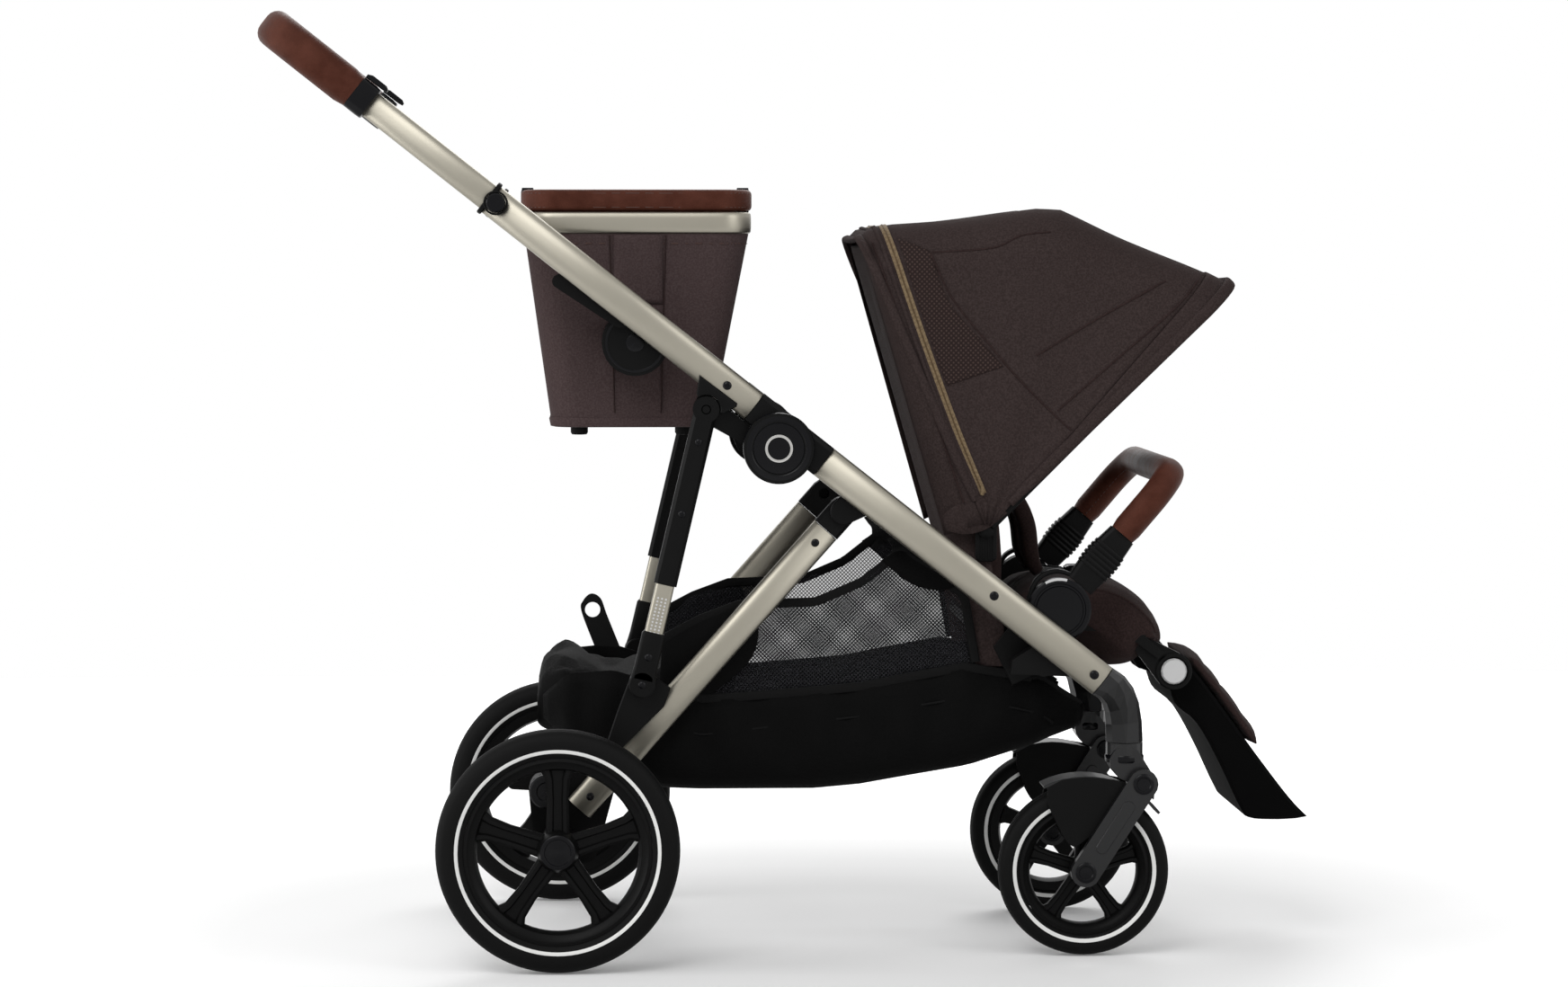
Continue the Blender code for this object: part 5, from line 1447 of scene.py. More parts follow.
        # The cover wraps the solid footing, which belongs to the aluminium leg's node
        cover = slab(footing, sign * 0.2137, sign * 0.2229, 0.0012)
        piece(f"strut_footing_{tag}", cover, GLASS_FILLED_NYLON, "rear_frame")
        root = LINE.at(0.118, -0.008)
        lug = hull_of_discs((*self.leg_top, 0.0156), (*root, 0.0204))
        piece(f"leg_lug_{tag}", slab(lug, sign * 0.2141, sign * 0.2229, 0.0012), GLASS_FILLED_NYLON, "root")

    def bag_carrier(self) -> None:
        """Adds the ring and rivet of the bag's adapter disc."""
        tag, sign = self.side.tag, self.side.value
        x, z = -0.189, 0.744
        ring = [(0.0330, 0.2105), (0.0360, 0.2105), (0.0360, 0.2119), (0.0345, 0.2123), (0.0330, 0.2119)]
        rim = turned(x, z, ring, 48, sign, loop=True)
        knob = turned(
            x, z, [(0.0110, 0.2105), (0.0110, 0.2122), (0.0080, 0.2129), (0.0010, 0.2129)], 28, sign
        )
        piece(f"bag_adapter_ring_{tag}", merged(rim, knob), SMOOTH_ABS, "upper_frame")


@dataclass
class Caster:
    """A front wheel's swivelling head and swing arm.

    Attributes:
        side: Its side of the object.
        nodes: The CAD nodes.
        plane: The wheel's distance from the middle plane.
        pivot: The swing arm's pivot.
        axle: The wheel's axle.
        reach: The swing arm's outer face from the wheel's middle.
        swivel_x: The place of the swivel's upright axis.
        swivel_z: The height of its ring.
    """

    side: Side
    nodes: dict[str, bpy.types.Object]
    plane: float = 0.190
    pivot: Flat = (0.423, 0.211)
    axle: Flat = (0.3535, 0.104)
    reach: float = 0.0355
    swivel_x: float = 0.4035
    swivel_z: float = 0.259

    def build(self) -> None:
        """Builds and paints the caster."""
        tag = self.side.tag
        repaint(
            self.nodes, (f"{n}_{tag}" for n in ("front_elbow", "fork_head", "fork_arm")), SATIN_CAST_ALLOY
        )
        for name, (x, z), r in (
            ("fork_pivot_caps", self.pivot, 0.0125), ("front_axle_caps", self.axle, 0.0125)
        ):
            caps = []
            for facing in (1, -1):
                plane = self.plane + facing * self.reach
                profile = [
                    (r, plane - facing * 0.0004),
                    (r, plane + facing * 0.0016),
                    (r * 0.88, plane + facing * 0.0026),
                    (r * 0.70, plane + facing * 0.0026),
                    (r * 0.62, plane + facing * 0.0016),
                    (r * 0.1, plane + facing * 0.0020),
                ]
                caps.append(turned(x, z, profile, 32, self.side.value))
            piece(f"{name}_{tag}", merged(*caps), SMOOTH_ABS, f"fork_{tag}")
        self.swivel_ring()
        self.arm_ribs()
        self.fender_cheeks()

    def swivel_ring(self) -> None:
        """Makes the ring at the top of the swivelling head."""
        y = self.side.value * self.plane
        levels = []
        for z, r in ((-0.0240, 0.0228), (-0.0225, 0.0236), (-0.0165, 0.0236), (-0.0150, 0.0228)):
            levels.append([(self.swivel_x + a, y + b, self.swivel_z + z) for a, b in circle(r, 40)])
        piece(f"swivel_ring_{self.side.tag}", loft(levels), SMOOTH_ABS, f"caster_{self.side.tag}")

    def fender_cheeks(self) -> None:
        """Makes the fender's cheeks, which cover the wheel's top on both sides."""
        front = [(0.3080, 0.2070), (0.3075, 0.1900), (0.3130, 0.1750), (0.3300, 0.1420), (0.3420, 0.1330)]
        rear = [
            (0.3620, 0.1480), (0.3860, 0.1830), (0.4060, 0.2080), (0.3900, 0.2150), (0.3550, 0.2190),
            (0.3250, 0.2160)
        ]
        outline = smooth_line(front, 16) + smooth_line(rear, 20)
        meshes = []
        for facing in (1, -1):
            plane = self.side.value * (self.plane + facing * 0.0238)
            out = self.side.value * facing
            meshes.append(slab(outline, plane - out * 0.0008, plane + out * 0.0010, 0.0006))
        piece(f"fender_cheeks_{self.side.tag}", merged(*meshes), GLASS_FILLED_NYLON, f"fork_{self.side.tag}")

    def arm_ribs(self) -> None:
        """Makes the raised rib along the outside of the swing arm."""
        run = Vector(self.axle) - Vector(self.pivot)
        places = [Vector(self.pivot) + run * share for share in (0.26, 0.5, 0.72)]
        outline = hull_of_discs(*[(p.x, p.y, r) for p, r in zip(places, (0.0075, 0.0062, 0.0072))])
        meshes = []
        for facing in (1, -1):
            plane = self.side.value * (self.plane + facing * self.reach)
            out = self.side.value * facing
            meshes.append(slab(outline, plane - out * 0.0005, plane + out * 0.0014, 0.0006))
        piece(f"fork_arm_ribs_{self.side.tag}", merged(*meshes), SATIN_CAST_ALLOY, f"fork_{self.side.tag}")


@dataclass
class RearAxle:
    """The beam between the rear wheels with its housings and the brake's foot bar.

    Attributes:
        nodes: The CAD nodes.
        beam: The beam's place in the side view.
        pedal: The brake bar's place in the side view.
        housing_outer: The outer plane of the housings' plates.
        pedal_half: Half the brake bar's width.
    """

    nodes: dict[str, bpy.types.Object]
    beam: Flat = (-0.297, 0.203)
    pedal: Flat = (-0.338, 0.196)
    housing_outer: float = 0.1911
    pedal_half: float = 0.055

    def build(self) -> None:
        """Builds and paints the rear axle."""
        repaint(self.nodes, ("rear_axle_beam", "brake_pedal"), GLASS_FILLED_NYLON)
        caps, springs = [], []
        for side in Side:
            plane = self.housing_outer
            profile = [
                (0.0205, plane - 0.001), (0.0205, plane + 0.010), (0.0185, plane + 0.0125),
                (0.0120, plane + 0.0125), (0.0105, plane + 0.0110), (0.0010, plane + 0.0110)
            ]
            caps.append(turned(self.beam[0], self.beam[1], profile, 36, side.value))
            collar = [(0.0155, 0.128), (0.0185, 0.130), (0.0205, 0.150), (0.0205, 0.161), (0.0155, 0.161)]
            springs.append(turned(self.beam[0], self.beam[1], collar, 32, side.value, loop=True))
        piece("axle_housing_caps", merged(*caps), SMOOTH_ABS, "rear_frame")
        piece("axle_beam_collars", merged(*springs), GLASS_FILLED_NYLON, "rear_frame")
        ribs = []
        for i in range(9):
            y = -self.pedal_half * 0.86 + i * self.pedal_half * 0.215
            outline = [(self.pedal[0] + a, self.pedal[1] + b) for a, b in circle(0.0083, 20)]
            ribs.append(slab(outline, y - 0.0022, y + 0.0022, 0.0008))
        piece("brake_pedal_ribs", merged(*ribs), FOAMED_RUBBER, "brake")


@dataclass
class LeatherBow:
    """A bow of foam wrapped in leatherette: two legs joined by a crossbar.

    Attributes:
        name: The piece's name.
        node: The CAD node that it replaces.
        body: The body that it rides on.
        origin: The side-view point that its legs are measured from.
        heading: The legs' direction in the side view, in radians.
        start: Where the legs start.
        leg: How far the bow reaches from there.
        bend: The corner's radius.
        half_span: The legs' distance from the middle plane.
        height: The section's height in the side view.
        thick: The section's thickness across.
    """

    name: str
    node: str
    body: str
    origin: Flat
    heading: float
    start: float
    leg: float
    bend: float
    half_span: float
    height: float
    thick: float

    def line(self, inside: float = 0.0) -> list[Point]:
        """Gives the bow's middle line, or one that runs inside it by a distance."""
        span, bend = self.half_span - inside, self.bend - inside
        turn = self.start + self.leg - self.bend
        flat = [(self.start + (turn - self.start) * i / 5, -span) for i in range(6)]
        for i in range(1, 11):
            angle = math.pi / 2 * i / 10
            flat.append((turn + bend * math.sin(angle), -span + bend * (1 - math.cos(angle))))
        flat += [(turn + bend, -(span - bend) * (1 - i / 5)) for i in range(1, 6)]
        flat += [(a, -y) for a, y in reversed(flat[:-1])]
        return [
            (self.origin[0] + a * math.cos(self.heading), y, self.origin[1] + a * math.sin(self.heading))
            for a, y in flat
        ]

    def build(self) -> None:
        """Builds the wrapped bow, drawn in at both ends, and its sewn seam."""
        corner = min(self.height, self.thick) * 0.48
        section = rounded_box(self.height, self.thick, corner, 5)
        normal = (-math.sin(self.heading), 0.0, math.cos(self.heading))

        def swell(share: float) -> float:
            """Draws the wrap in at both ends."""
            near = min(share, 1 - share)
            return 0.90 + 0.10 * min(1.0, near / 0.02) ** 0.6

        path = self.line()
        piece(
            self.name, swept(path, section, normal, swell), EMBOSSED_POLYURETHANE, self.body, (self.node,),
            crease=60
        )
        seam = [Vector(p) for p in self.line(self.thick / 2)]
        fine = [tuple(a + (b - a) * i / 8) for a, b in zip(seam, seam[1:]) for i in range(8)]
        thread_line(f"{self.name}_seam", fine, self.body)


@dataclass
class SeatHubs:
    """The seat's hubs, mount and frame, with their covers and release loops.

    Attributes:
        nodes: The CAD nodes.
        hub: The hub's place in the side view.
        inner: The plane of the hub's inner face.
        outer: The plane of the hub's outer face.
        radius: The hub's radius.
    """

    nodes: dict[str, bpy.types.Object]
    hub: Flat = (0.321, 0.422)
    inner: float = 0.196
    outer: float = 0.219
    radius: float = 0.038

    def build(self) -> None:
        """Builds and paints the hubs and the bumper's arms."""
        repaint(
            self.nodes, ("seat_mount_bar", "seat_frame", "bumper_arm_right", "bumper_arm_left"),
            GLASS_FILLED_NYLON
        )
        repaint(self.nodes, ("legrest_button_right", "legrest_button_left"), LACQUERED_ABS)
        x, z = self.hub
        for side in Side:
            low, r = self.outer, self.radius
            cover = [
                (r + 0.0005, low - 0.006),
                (r + 0.0005, low + 0.0012),
                (r - 0.0015, low + 0.0026),
                (r - 0.0060, low + 0.0026),
                (r - 0.0068, low + 0.0016),
                (r - 0.0090, low + 0.0016),
                (r - 0.0100, low + 0.0030),
                (0.0010, low + 0.0034),
            ]
            piece(f"seat_hub_cover_{side.tag}", turned(x, z, cover, 56, side.value), SMOOTH_ABS, "seat")
            arch = smooth_line(
                [
                    (x - 0.036, z + 0.012), (x - 0.026, z + 0.036), (x - 0.006, z + 0.046),
                    (x + 0.014, z + 0.042), (x + 0.027, z + 0.030)
                ],
                18
            )
            path = [(a, side.value * (self.inner + self.outer) / 2, b) for a, b in arch]
            loop = swept(path, rounded_box(0.016, 0.0055, 0.002, 2), (0.0, 1.0, 0.0))
            piece(f"seat_release_loop_{side.tag}", loop, GLASS_FILLED_NYLON, "seat")
            self.hub_crescent(side)
            self.bumper_joint(side)
            self.knee_cover(side)

    def hub_crescent(self, side: Side) -> None:
        """Makes a pale crescent along the hub's upper edge: a painted highlight where the light catches the
        hub's rim.
        """
        angles = [math.radians(76.0 + 42.0 * i / 16) for i in range(17)]
        outline = [(self.hub[0] + 0.0385 * math.cos(a), self.hub[1] + 0.0385 * math.sin(a)) for a in angles]
        outline += [
            (self.hub[0] + 0.0352 * math.cos(a), self.hub[1] + 0.0352 * math.sin(a))
            for a in reversed(angles)
        ]
        # The pale silver slab is a painted highlight on the hub's upper rim, not a mark on the part.
        mark = slab(outline, side.value * (self.outer + 0.0010), side.value * (self.outer + 0.0032), 0.0004)
        piece(f"seat_hub_mark_{side.tag}", mark, LACQUERED_ABS, "seat")

    def bumper_joint(self, side: Side) -> None:
        """Makes the ribbed joint in a bumper arm."""
        lean = math.radians(49.5)
        plane = (self.inner + self.outer) / 2
        meshes = []
        for along, wide in (
            (0.064, 0.0425), (0.070, 0.0440), (0.076, 0.0445), (0.082, 0.0445), (0.088, 0.0435),
            (0.094, 0.0415)
        ):
            rings = []
            for shift, size in ((-0.0022, 0.965), (-0.0014, 1.0), (0.0014, 1.0), (0.0022, 0.965)):
                ring = []
                for a, b in rounded_box(wide * size, 0.0235 * size, 0.005, 2):
                    px = self.hub[0] + (along + shift) * math.cos(lean) - a * math.sin(lean)
                    pz = self.hub[1] + (along + shift) * math.sin(lean) + a * math.cos(lean)
                    ring.append((px, side.value * (plane + b), pz))
                rings.append(ring)
            meshes.append(loft(rings))
        piece(f"bumper_joint_ribs_{side.tag}", merged(*meshes), GLASS_FILLED_NYLON, "bumper_bar")

    def knee_cover(self, side: Side) -> None:
        """Makes the raised ring round a leg-rest button."""
        low = 0.142
        ring = [
            (0.0170, low - 0.0005), (0.0225, low - 0.0005), (0.0225, low + 0.0016), (0.0210, low + 0.0028),
            (0.0180, low + 0.0028), (0.0170, low + 0.0016)
        ]
        piece(
            f"knee_ring_{side.tag}", turned(0.470, 0.340, ring, 40, side.value, loop=True),
            GLASS_FILLED_NYLON, "seat"
        )


@dataclass
class LegRest:
    """The leg rest: a moulded shell with a foot ledge, and a quilted pad.

    Attributes:
        half: The shell's half width.
        pivot: Its hinge in the side view.
    """

    half: float = 0.118
    pivot: Flat = (0.470, 0.340)

    def build(self) -> None:
        """Builds the shell and the pad."""
        upper = smooth_line(
            [
                (0.484, 0.346), (0.499, 0.338), (0.535, 0.291), (0.575, 0.236), (0.617, 0.181),
                (0.640, 0.157)
            ],
            20
        )
        lower = smooth_line(
            [
                (0.626, 0.1545), (0.600, 0.1535), (0.568, 0.156), (0.556, 0.170), (0.528, 0.229),
                (0.502, 0.274), (0.477, 0.296), (0.4685, 0.318)
            ],
            24
        )
        outline = [*upper, *lower]
        hubs = [
            turned(
                *self.pivot,
                [
                    (0.0190, self.half - 0.03), (0.0210, self.half - 0.028), (0.0210, self.half + 0.0066),
                    (0.0200, self.half + 0.0072)
                ],
                36, side.value
            )
            for side in Side
        ]
        shell = merged(slab(outline, -self.half, self.half, 0.004), *hubs)
        piece("legrest_shell", shell, ROUGH_MOULDED_NYLON, "legrest", ("legrest",))
        line = smooth_line(
            [(0.4960, 0.3530), (0.5110, 0.3350), (0.5315, 0.3100), (0.5575, 0.2745), (0.5770, 0.2470)], 22
        )
        pad = pad_mesh(line, self.half - 0.005, 0.020, 0.004, 0.25, channels=4)
        obj = piece("legrest_quilted_pad", pad, SEAT_TWILL, "legrest", ("legrest_pad",), crease=180)


def pad_mesh(
    line: Sequence[Sequence[float]], half: float, thick: float, pull: float, crown: float, channels: int = 0
) -> bmesh.types.BMesh:
    """Makes a stuffed pad along a side-view line.

    Args:
        line: Even points along its middle, from one end to the other.
        half: Its half width.
        thick: Its thickness at the middle.
        pull: How far its sides draw in between the corners.
        crown: How much thicker it is in the middle than at its sides.
        channels: How many sewn channels cross it.

    Returns:
        The closed mesh.
    """
    steps = 40
    total = len(line) - 1
    rings = []
    for number, point in enumerate(line):
        before, after = line[max(0, number - 1)], line[min(total, number + 1)]
        run = Vector((after[0] - before[0], after[1] - before[1])).normalized()
        up = Vector((-run.y, run.x))
        share = number / total
        bulge = math.sin(math.pi * share)
        full = 0.30 + 0.70 * min(1.0, 3.0 * bulge) ** 0.7
        if channels:
            full *= 0.80 + 0.20 * abs(math.sin(math.pi * share * channels)) ** 0.5
        width = half - pull * bulge
        ring = []
        for i in range(steps):
            angle = math.tau * i / steps
            wide, high = math.cos(angle), math.sin(angle)
            y = width * math.copysign(abs(wide) ** 0.6, wide)
            lift = 1.0 + crown * (1 - (y / width) ** 2) if high > 0 else 0.8
            rise = thick / 2 * full * lift * math.copysign(abs(high) ** 0.75, high)
            ring.append((point[0] + up.x * rise, y, point[1] + up.y * rise))
        rings.append(ring)
    return loft(rings)


@dataclass
class SeatPads:
    """The seat's cushion and the padded back with its wings.

    Attributes:
        recline: The back's pivot in the side view.
        lean: The back's angle, in radians.
        setback: How far its rear face lies behind the pivot.
        lift: How far its lower end lies above the pivot.
        long: The back's length.
        half: The back's half width.
        thick: The back's thickness.
        wing: How far its side wings reach forward.
    """

    recline: Flat = (0.232, 0.398)
    lean: float = math.radians(106.2)
    setback: float = 0.010
    lift: float = 0.014
    long: float = 0.4791
    half: float = 0.160
    thick: float = 0.036
    wing: float = 0.088

    def build(self) -> None:
        """Builds the pads, their covers and the harness."""
        self.cushion()
        self.back()
        self.back_cover()
        self.harness()

    def on_back(self, up: float, depth: float) -> Flat:
        """Gives the side-view point at a height along the back and a depth in front of its rear face."""
        ux, uz = math.cos(self.lean), math.sin(self.lean)
        x = self.recline[0] + ux * (self.lift + up) + uz * (depth - self.setback)
        z = self.recline[1] + uz * (self.lift + up) - ux * (depth - self.setback)
        return x, z

    def cushion(self) -> None:
        """Makes the seat cushion, which rolls down over the front of the tray."""
        top = [
            (0.266, 0.414), (0.286, 0.434), (0.330, 0.442), (0.376, 0.443), (0.408, 0.434), (0.436, 0.416),
            (0.456, 0.393), (0.463, 0.376)
        ]
        low = [
            (0.458, 0.366), (0.440, 0.366), (0.424, 0.349), (0.398, 0.347), (0.372, 0.366), (0.330, 0.388),
            (0.288, 0.394), (0.268, 0.402)
        ]
        outline = [*smooth_line(top, 26), *smooth_line(low, 22)]
        shares = (-1.0, -0.97, -0.90, -0.76, -0.50, -0.25, 0.0, 0.25, 0.50, 0.76, 0.90, 0.97, 1.0)
        rings = []
        for share in shares:
            small = inset(outline, 0.018 * abs(share) ** 10 + 0.002 * share * share)
            rings.append(
                [(x, 0.1565 * share, z + 0.004 * (1 - share * share) * (z > 0.41)) for x, z in small]
            )
        obj = piece("seat_cushion_twill", loft(rings), SEAT_TWILL, "", ("seat_cushion",), crease=180)
        puff(obj, 4.0, 0.006)
        self.smooth_and_ride(obj, "seat")
        bpy.context.view_layer.update()
        skin = BVHTree.FromObject(obj, bpy.context.evaluated_depsgraph_get())
        crest = smooth_line(top[1:-1], 80)
        for side in Side:
            y = side.value * 0.1430
            path = []
            for before, (x, z), after in zip(crest, crest[1:], crest[2:]):
                out = Vector((before[1] - after[1], 0.0, after[0] - before[0])).normalized()
                hit = skin.ray_cast(Vector((x, y, z)) + out * 0.03, -out)[0]
                if hit:
                    path.append(tuple(hit + out * 0.0004))
            piping = swept(path, circle(0.0018, 8), (0.0, 1.0, 0.0))
            piece(f"seat_cushion_piping_{side.tag}", piping, SEAT_TWILL, "seat", crease=180)

    def smooth_and_ride(self, obj: bpy.types.Object, body: str) -> None:
        """Subdivides a finished pad once and lets it ride."""
        smooth = obj.modifiers.new("smooth", "SUBSURF")
        smooth.levels = smooth.render_levels = 1
        obj.data.shade_smooth()
        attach(obj, body)

    def back(self) -> None:
        """Makes the stuffed back with its wings."""
        rings = []
        steps = 26
        for i in range(steps + 1):
            share = i / steps
            ends = min(1.0, share / 0.05, (1 - share) / 0.04)
            round_off = 0.008 * (1 - math.sqrt(max(0.0, ends * (2 - ends))))
            wing = self.thick + (self.wing - self.thick) * math.sin(
                math.pi * min(1.0, 0.06 + 0.94 * share)
            ) ** 0.7 - 0.004
            half = self.half * (1 - 0.16 * share**3) - 0.010 * math.sin(math.pi * share) - 0.003 - round_off
            channel = 0.0035 * (abs(math.sin(math.pi * share * 5)) ** 0.4) if share < 0.96 else 0.0
            front = self.thick - 0.006 + channel - round_off
            section = [
                (0.006 + round_off, 0.0),
                (0.004 + round_off, -half * 0.6),
                (0.006 + round_off, -half + 0.014),
                (0.016, -half + 0.001),
                (wing * 0.5, -half),
                (wing - 0.012, -half + 0.003),
                (wing - 0.003, -half + 0.014),
                (wing - 0.010, -half + 0.028),
                ((wing + front) / 2, -half + 0.036),
                (front, -half + 0.050),
                (front + 0.005, -half * 0.35),
                (front + 0.006, 0.0),
            ]
            section += [(d, -y) for d, y in reversed(section[1:-1])]
            rings.append(
                [
                    (
                        *self.on_back(self.long * share * 0.992 + 0.002, d)[:1], y,
                        self.on_back(self.long * share * 0.992 + 0.002, d)[1]
                    )
                    for d, y in section
                ]
            )
        obj = piece("backrest_pad", loft(rings), SEAT_TWILL, "", ("backrest",), crease=180)
        puff(obj, 3.0, 0.004)
        self.smooth_and_ride(obj, "backrest")

    def back_cover(self) -> None:
        """Makes the canvas shell behind the back and the bindings along its sides."""
        rows = []
        for i in range(15):
            share = i / 14
            half = self.half * (1 - 0.16 * share**3) + 0.002 - 0.010 * math.sin(math.pi * share)
            deep = 0.055 * math.sin(math.pi * (0.15 + 0.75 * share)) ** 0.8
            sag = 0.004 * math.sin(math.pi * share)
            flat = [
                (deep, -half), (deep * 0.5, -half - 0.001), (0.010, -half + 0.001), (0.001, -half + 0.014),
                (sag, -half * 0.5), (sag, 0.0)
            ]
            flat += [(d, -y) for d, y in reversed(flat[:-1])]
            rows.append(
                [
                    (
                        self.on_back(self.long * 0.985 * share, d)[0], y,
                        self.on_back(self.long * 0.985 * share, d)[1]
                    )
                    for d, y in flat
                ]
            )
        obj = piece(
            "backrest_cover", sheet_mesh(rows), MELANGE_POLYESTER, "backrest", crease=180, subdivide=1,
            thick=0.0016
        )
        for side in Side:
            edge = [
                self.on_back(
                    self.long * 0.985 * i / 90, 0.054 * math.sin(math.pi * (0.15 + 0.75 * i / 90)) ** 0.8
                )
                for i in range(91)
            ]
            path = [
                (
                    x,
                    side.value * (
                        self.half * (1 - 0.16 * (i / 90) ** 3) + 0.0032 - 0.010 * math.sin(math.pi * i / 90)
                    ),
                    z
                )
                for i, (x, z) in enumerate(edge)
            ]
            piece(
                f"backrest_binding_{side.tag}",
                swept(path, rounded_box(0.0024, 0.0075, 0.001, 1), (0.0, 1.0, 0.0)), MELANGE_POLYESTER,
                "backrest", crease=60
            )

    def harness(self) -> None:
        """Makes the harness straps, their pads and the buckle."""
        for side in Side:
            s = side.value
            line = [
                self.on_back(0.330, 0.040), self.on_back(0.250, 0.052), (0.274, 0.560), (0.296, 0.520),
                (0.303, 0.476), (0.318, 0.4560), (0.352, 0.4515)
            ]
            spread = (0.045, 0.045, 0.047, 0.049, 0.047, 0.036, 0.016)
            path = smooth_line([self.at(flat, s * y) for flat, y in zip(line, spread)], 56)
            strap = swept(path, rounded_box(0.025, 0.0018, 0.0008, 1), (0.0, 1.0, 0.0))
            band = piece(f"harness_strap_{side.tag}", strap, POLYPROPYLENE_WEBBING, "", crease=60)
            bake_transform(band)
            pad = swept(
                path[6:44], rounded_box(0.046, 0.021, 0.0090, 4), (0.0, 1.0, 0.0),
                lambda share: 0.72 + 0.28 * min(1.0, 5 * share, 5 * (1 - share))
            )
            made = piece(f"harness_pad_{side.tag}", pad, SEAT_TWILL, "", crease=180)
            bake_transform(made)
        outline = [(0.372 + a, b) for a, b in rounded_box(0.044, 0.036, 0.010, 4)]
        rings = [[(x, y, z) for x, y in outline] for z in (0.4490, 0.4510, 0.4590)]
        rings.append([(0.372 + (x - 0.372) * 0.86, y * 0.86, 0.4615) for x, y in outline])
        piece("harness_buckle", loft(rings), SMOOTH_ABS, "seat", crease=50)
        crotch = [(0.392, 0.0, 0.4520), (0.402, 0.0, 0.4470), (0.414, 0.0, 0.4405), (0.420, 0.0, 0.4340)]
        piece(
            "harness_crotch_strap", swept(crotch, rounded_box(0.025, 0.0018, 0.0008, 1), (0.0, 1.0, 0.0)),
            POLYPROPYLENE_WEBBING, "seat", crease=60
        )

    @staticmethod
    def at(flat: Flat, y: float) -> Point:
        """Puts a side-view point at a distance from the middle plane."""
        return flat[0], y, flat[1]


@dataclass
class Canopy:
    """The canopy: one curved sheet on its hoops, with a zip, seams and a visor.

    Attributes:
        pivot: The hoops' pivot in the side view.
        half: The canopy's half width.
        corner: The radius between its sides and its roof.
        roof: The roof line, from the back edge to the visor.
        start: How far from the pivot the cloth begins.
    """

    pivot: Flat = (0.237, 0.515)
    half: float = 0.182
    corner: float = 0.060
    roof: tuple[Flat, ...] = (
        (0.0845, 0.8680), (0.0950, 0.8795), (0.1190, 0.8855), (0.209, 0.8955), (0.300, 0.9045),
        (0.331, 0.9030), (0.430, 0.8615), (0.514, 0.8235), (0.541, 0.8100)
    )
    start: float = 0.008

    def polar(self, x: float, z: float) -> Flat:
        """Gives a side-view point's angle and distance from the pivot."""
        return math.atan2(
            z - self.pivot[1], x - self.pivot[0]
        ), math.hypot(x - self.pivot[0], z - self.pivot[1])

    def reach(self, angle: float) -> float:
        """Gives the roof's distance from the pivot at an angle."""
        line = [self.polar(x, z) for x, z in self.roof]
        if angle >= line[0][0]:
            return line[0][1]
        for (a, long_a), (b, long_b) in zip(line, line[1:]):
            if a >= angle >= b:
                straight = long_a * long_b * math.sin(a - b) / (
                    long_a * math.sin(a - angle) + long_b * math.sin(angle - b)
                )
                return straight
        return line[-1][1]

    def hollow(self, angle: float) -> float:
        """Gives how far the sheet sinks between its hoops at an angle."""
        hoops = [self.polar(*self.roof[0])[0], math.radians(78.0), self.polar(*self.roof[-2])[0]]
        for a, b in zip(hoops, hoops[1:]):
            if a >= angle >= b:
                return 0.0035 * math.sin(math.pi * (a - angle) / (a - b)) ** 2
        return 0.0

    def skin_at(self, angle: float, wrap: float, side: Side, lift: float = 0.0) -> tuple[Vector, Vector]:
        """Gives a point of the sheet and its outward direction.

        Args:
            angle: The point's direction from the pivot.
            wrap: Its distance along the sheet from the top of the flat side, negative below it.
            side: The side of the canopy.
            lift: How far it stands off the sheet.

        Returns:
            The point and the direction.
        """
        sink = self.hollow(angle)
        long, half = self.reach(angle) - sink, self.half - sink
        near, quarter = long - self.corner, self.corner * math.pi / 2
        radial, out = Vector((math.cos(angle), 0.0, math.sin(angle))), Vector((0.0, side.value, 0.0))
        if wrap <= 0:
            r = near + wrap
            billow = 0.0025 * math.sin(math.pi * max(0.0, r - self.start) / (long - self.start))
            spot, face = radial * r + out * (half - billow), out
        elif wrap <= quarter:
            turn = wrap / self.corner
            face = radial * math.sin(turn) + out * math.cos(turn)
            spot = radial * near + out * (half - self.corner) + face * self.corner
        else:
            flat = half - self.corner
            past = min(flat, wrap - quarter)
            face = radial
            spot = radial * (long - 0.0025 * math.sin(math.pi / 2 * past / flat)) + out * (flat - past)
        return Vector((self.pivot[0], 0.0, self.pivot[1])) + spot + face * lift, face

    def arch(self, angle: float, lift: float = 0.0, steps: int = 10) -> Ring:
        """Gives the sheet's points at one angle: up the right side, over the roof and down the left.

        Args:
            angle: The hoop's angle about the pivot.
            lift: How far the points lie off the sheet.
            steps: The steps of each side.

        Returns:
            The points, in order.
        """
        sink = self.hollow(angle)
        near = self.reach(angle) - sink - self.corner
        quarter, flat = self.corner * math.pi / 2, self.half - sink - self.corner
        wraps = [self.start - near + (near - self.start) * i / steps for i in range(steps)]
        wraps += [quarter * i / 8 for i in range(9)] + [quarter + flat * i / 4 for i in range(1, 5)]
        right = [self.skin_at(angle, wrap, Side.RIGHT, lift)[0] for wrap in wraps]
        return [tuple(p) for p in right] + [(p.x, -p.y, p.z) for p in reversed(right[:-1])]

    def unrolled(self, x: float, z: float) -> Flat:
        """Moves a side-view point out to where it would lie if the sheet's round edge were flat."""
        angle, r = self.polar(x, z)
        near = self.reach(angle) - self.hollow(angle) - self.corner
        if r > near:
            r = near + self.corner * math.asin(min(1.0, (r - near) / self.corner))
        return self.pivot[0] + r * math.cos(angle), self.pivot[1] + r * math.sin(angle)

    def rolled(self, x: float, z: float, side: Side, lift: float = 0.0012) -> tuple[Vector, Vector]:
        """Puts an unrolled point back on the sheet, with its outward direction.

        Args:
            x: The point's x in the side view.
            z: Its height there.
            side: Its side of the object.
            lift: How far it lies off the sheet.

        Returns:
            The place and its outward direction.
        """
        angle, r = self.polar(x, z)
        return self.skin_at(angle, r - (self.reach(angle) - self.hollow(angle) - self.corner), side, lift)

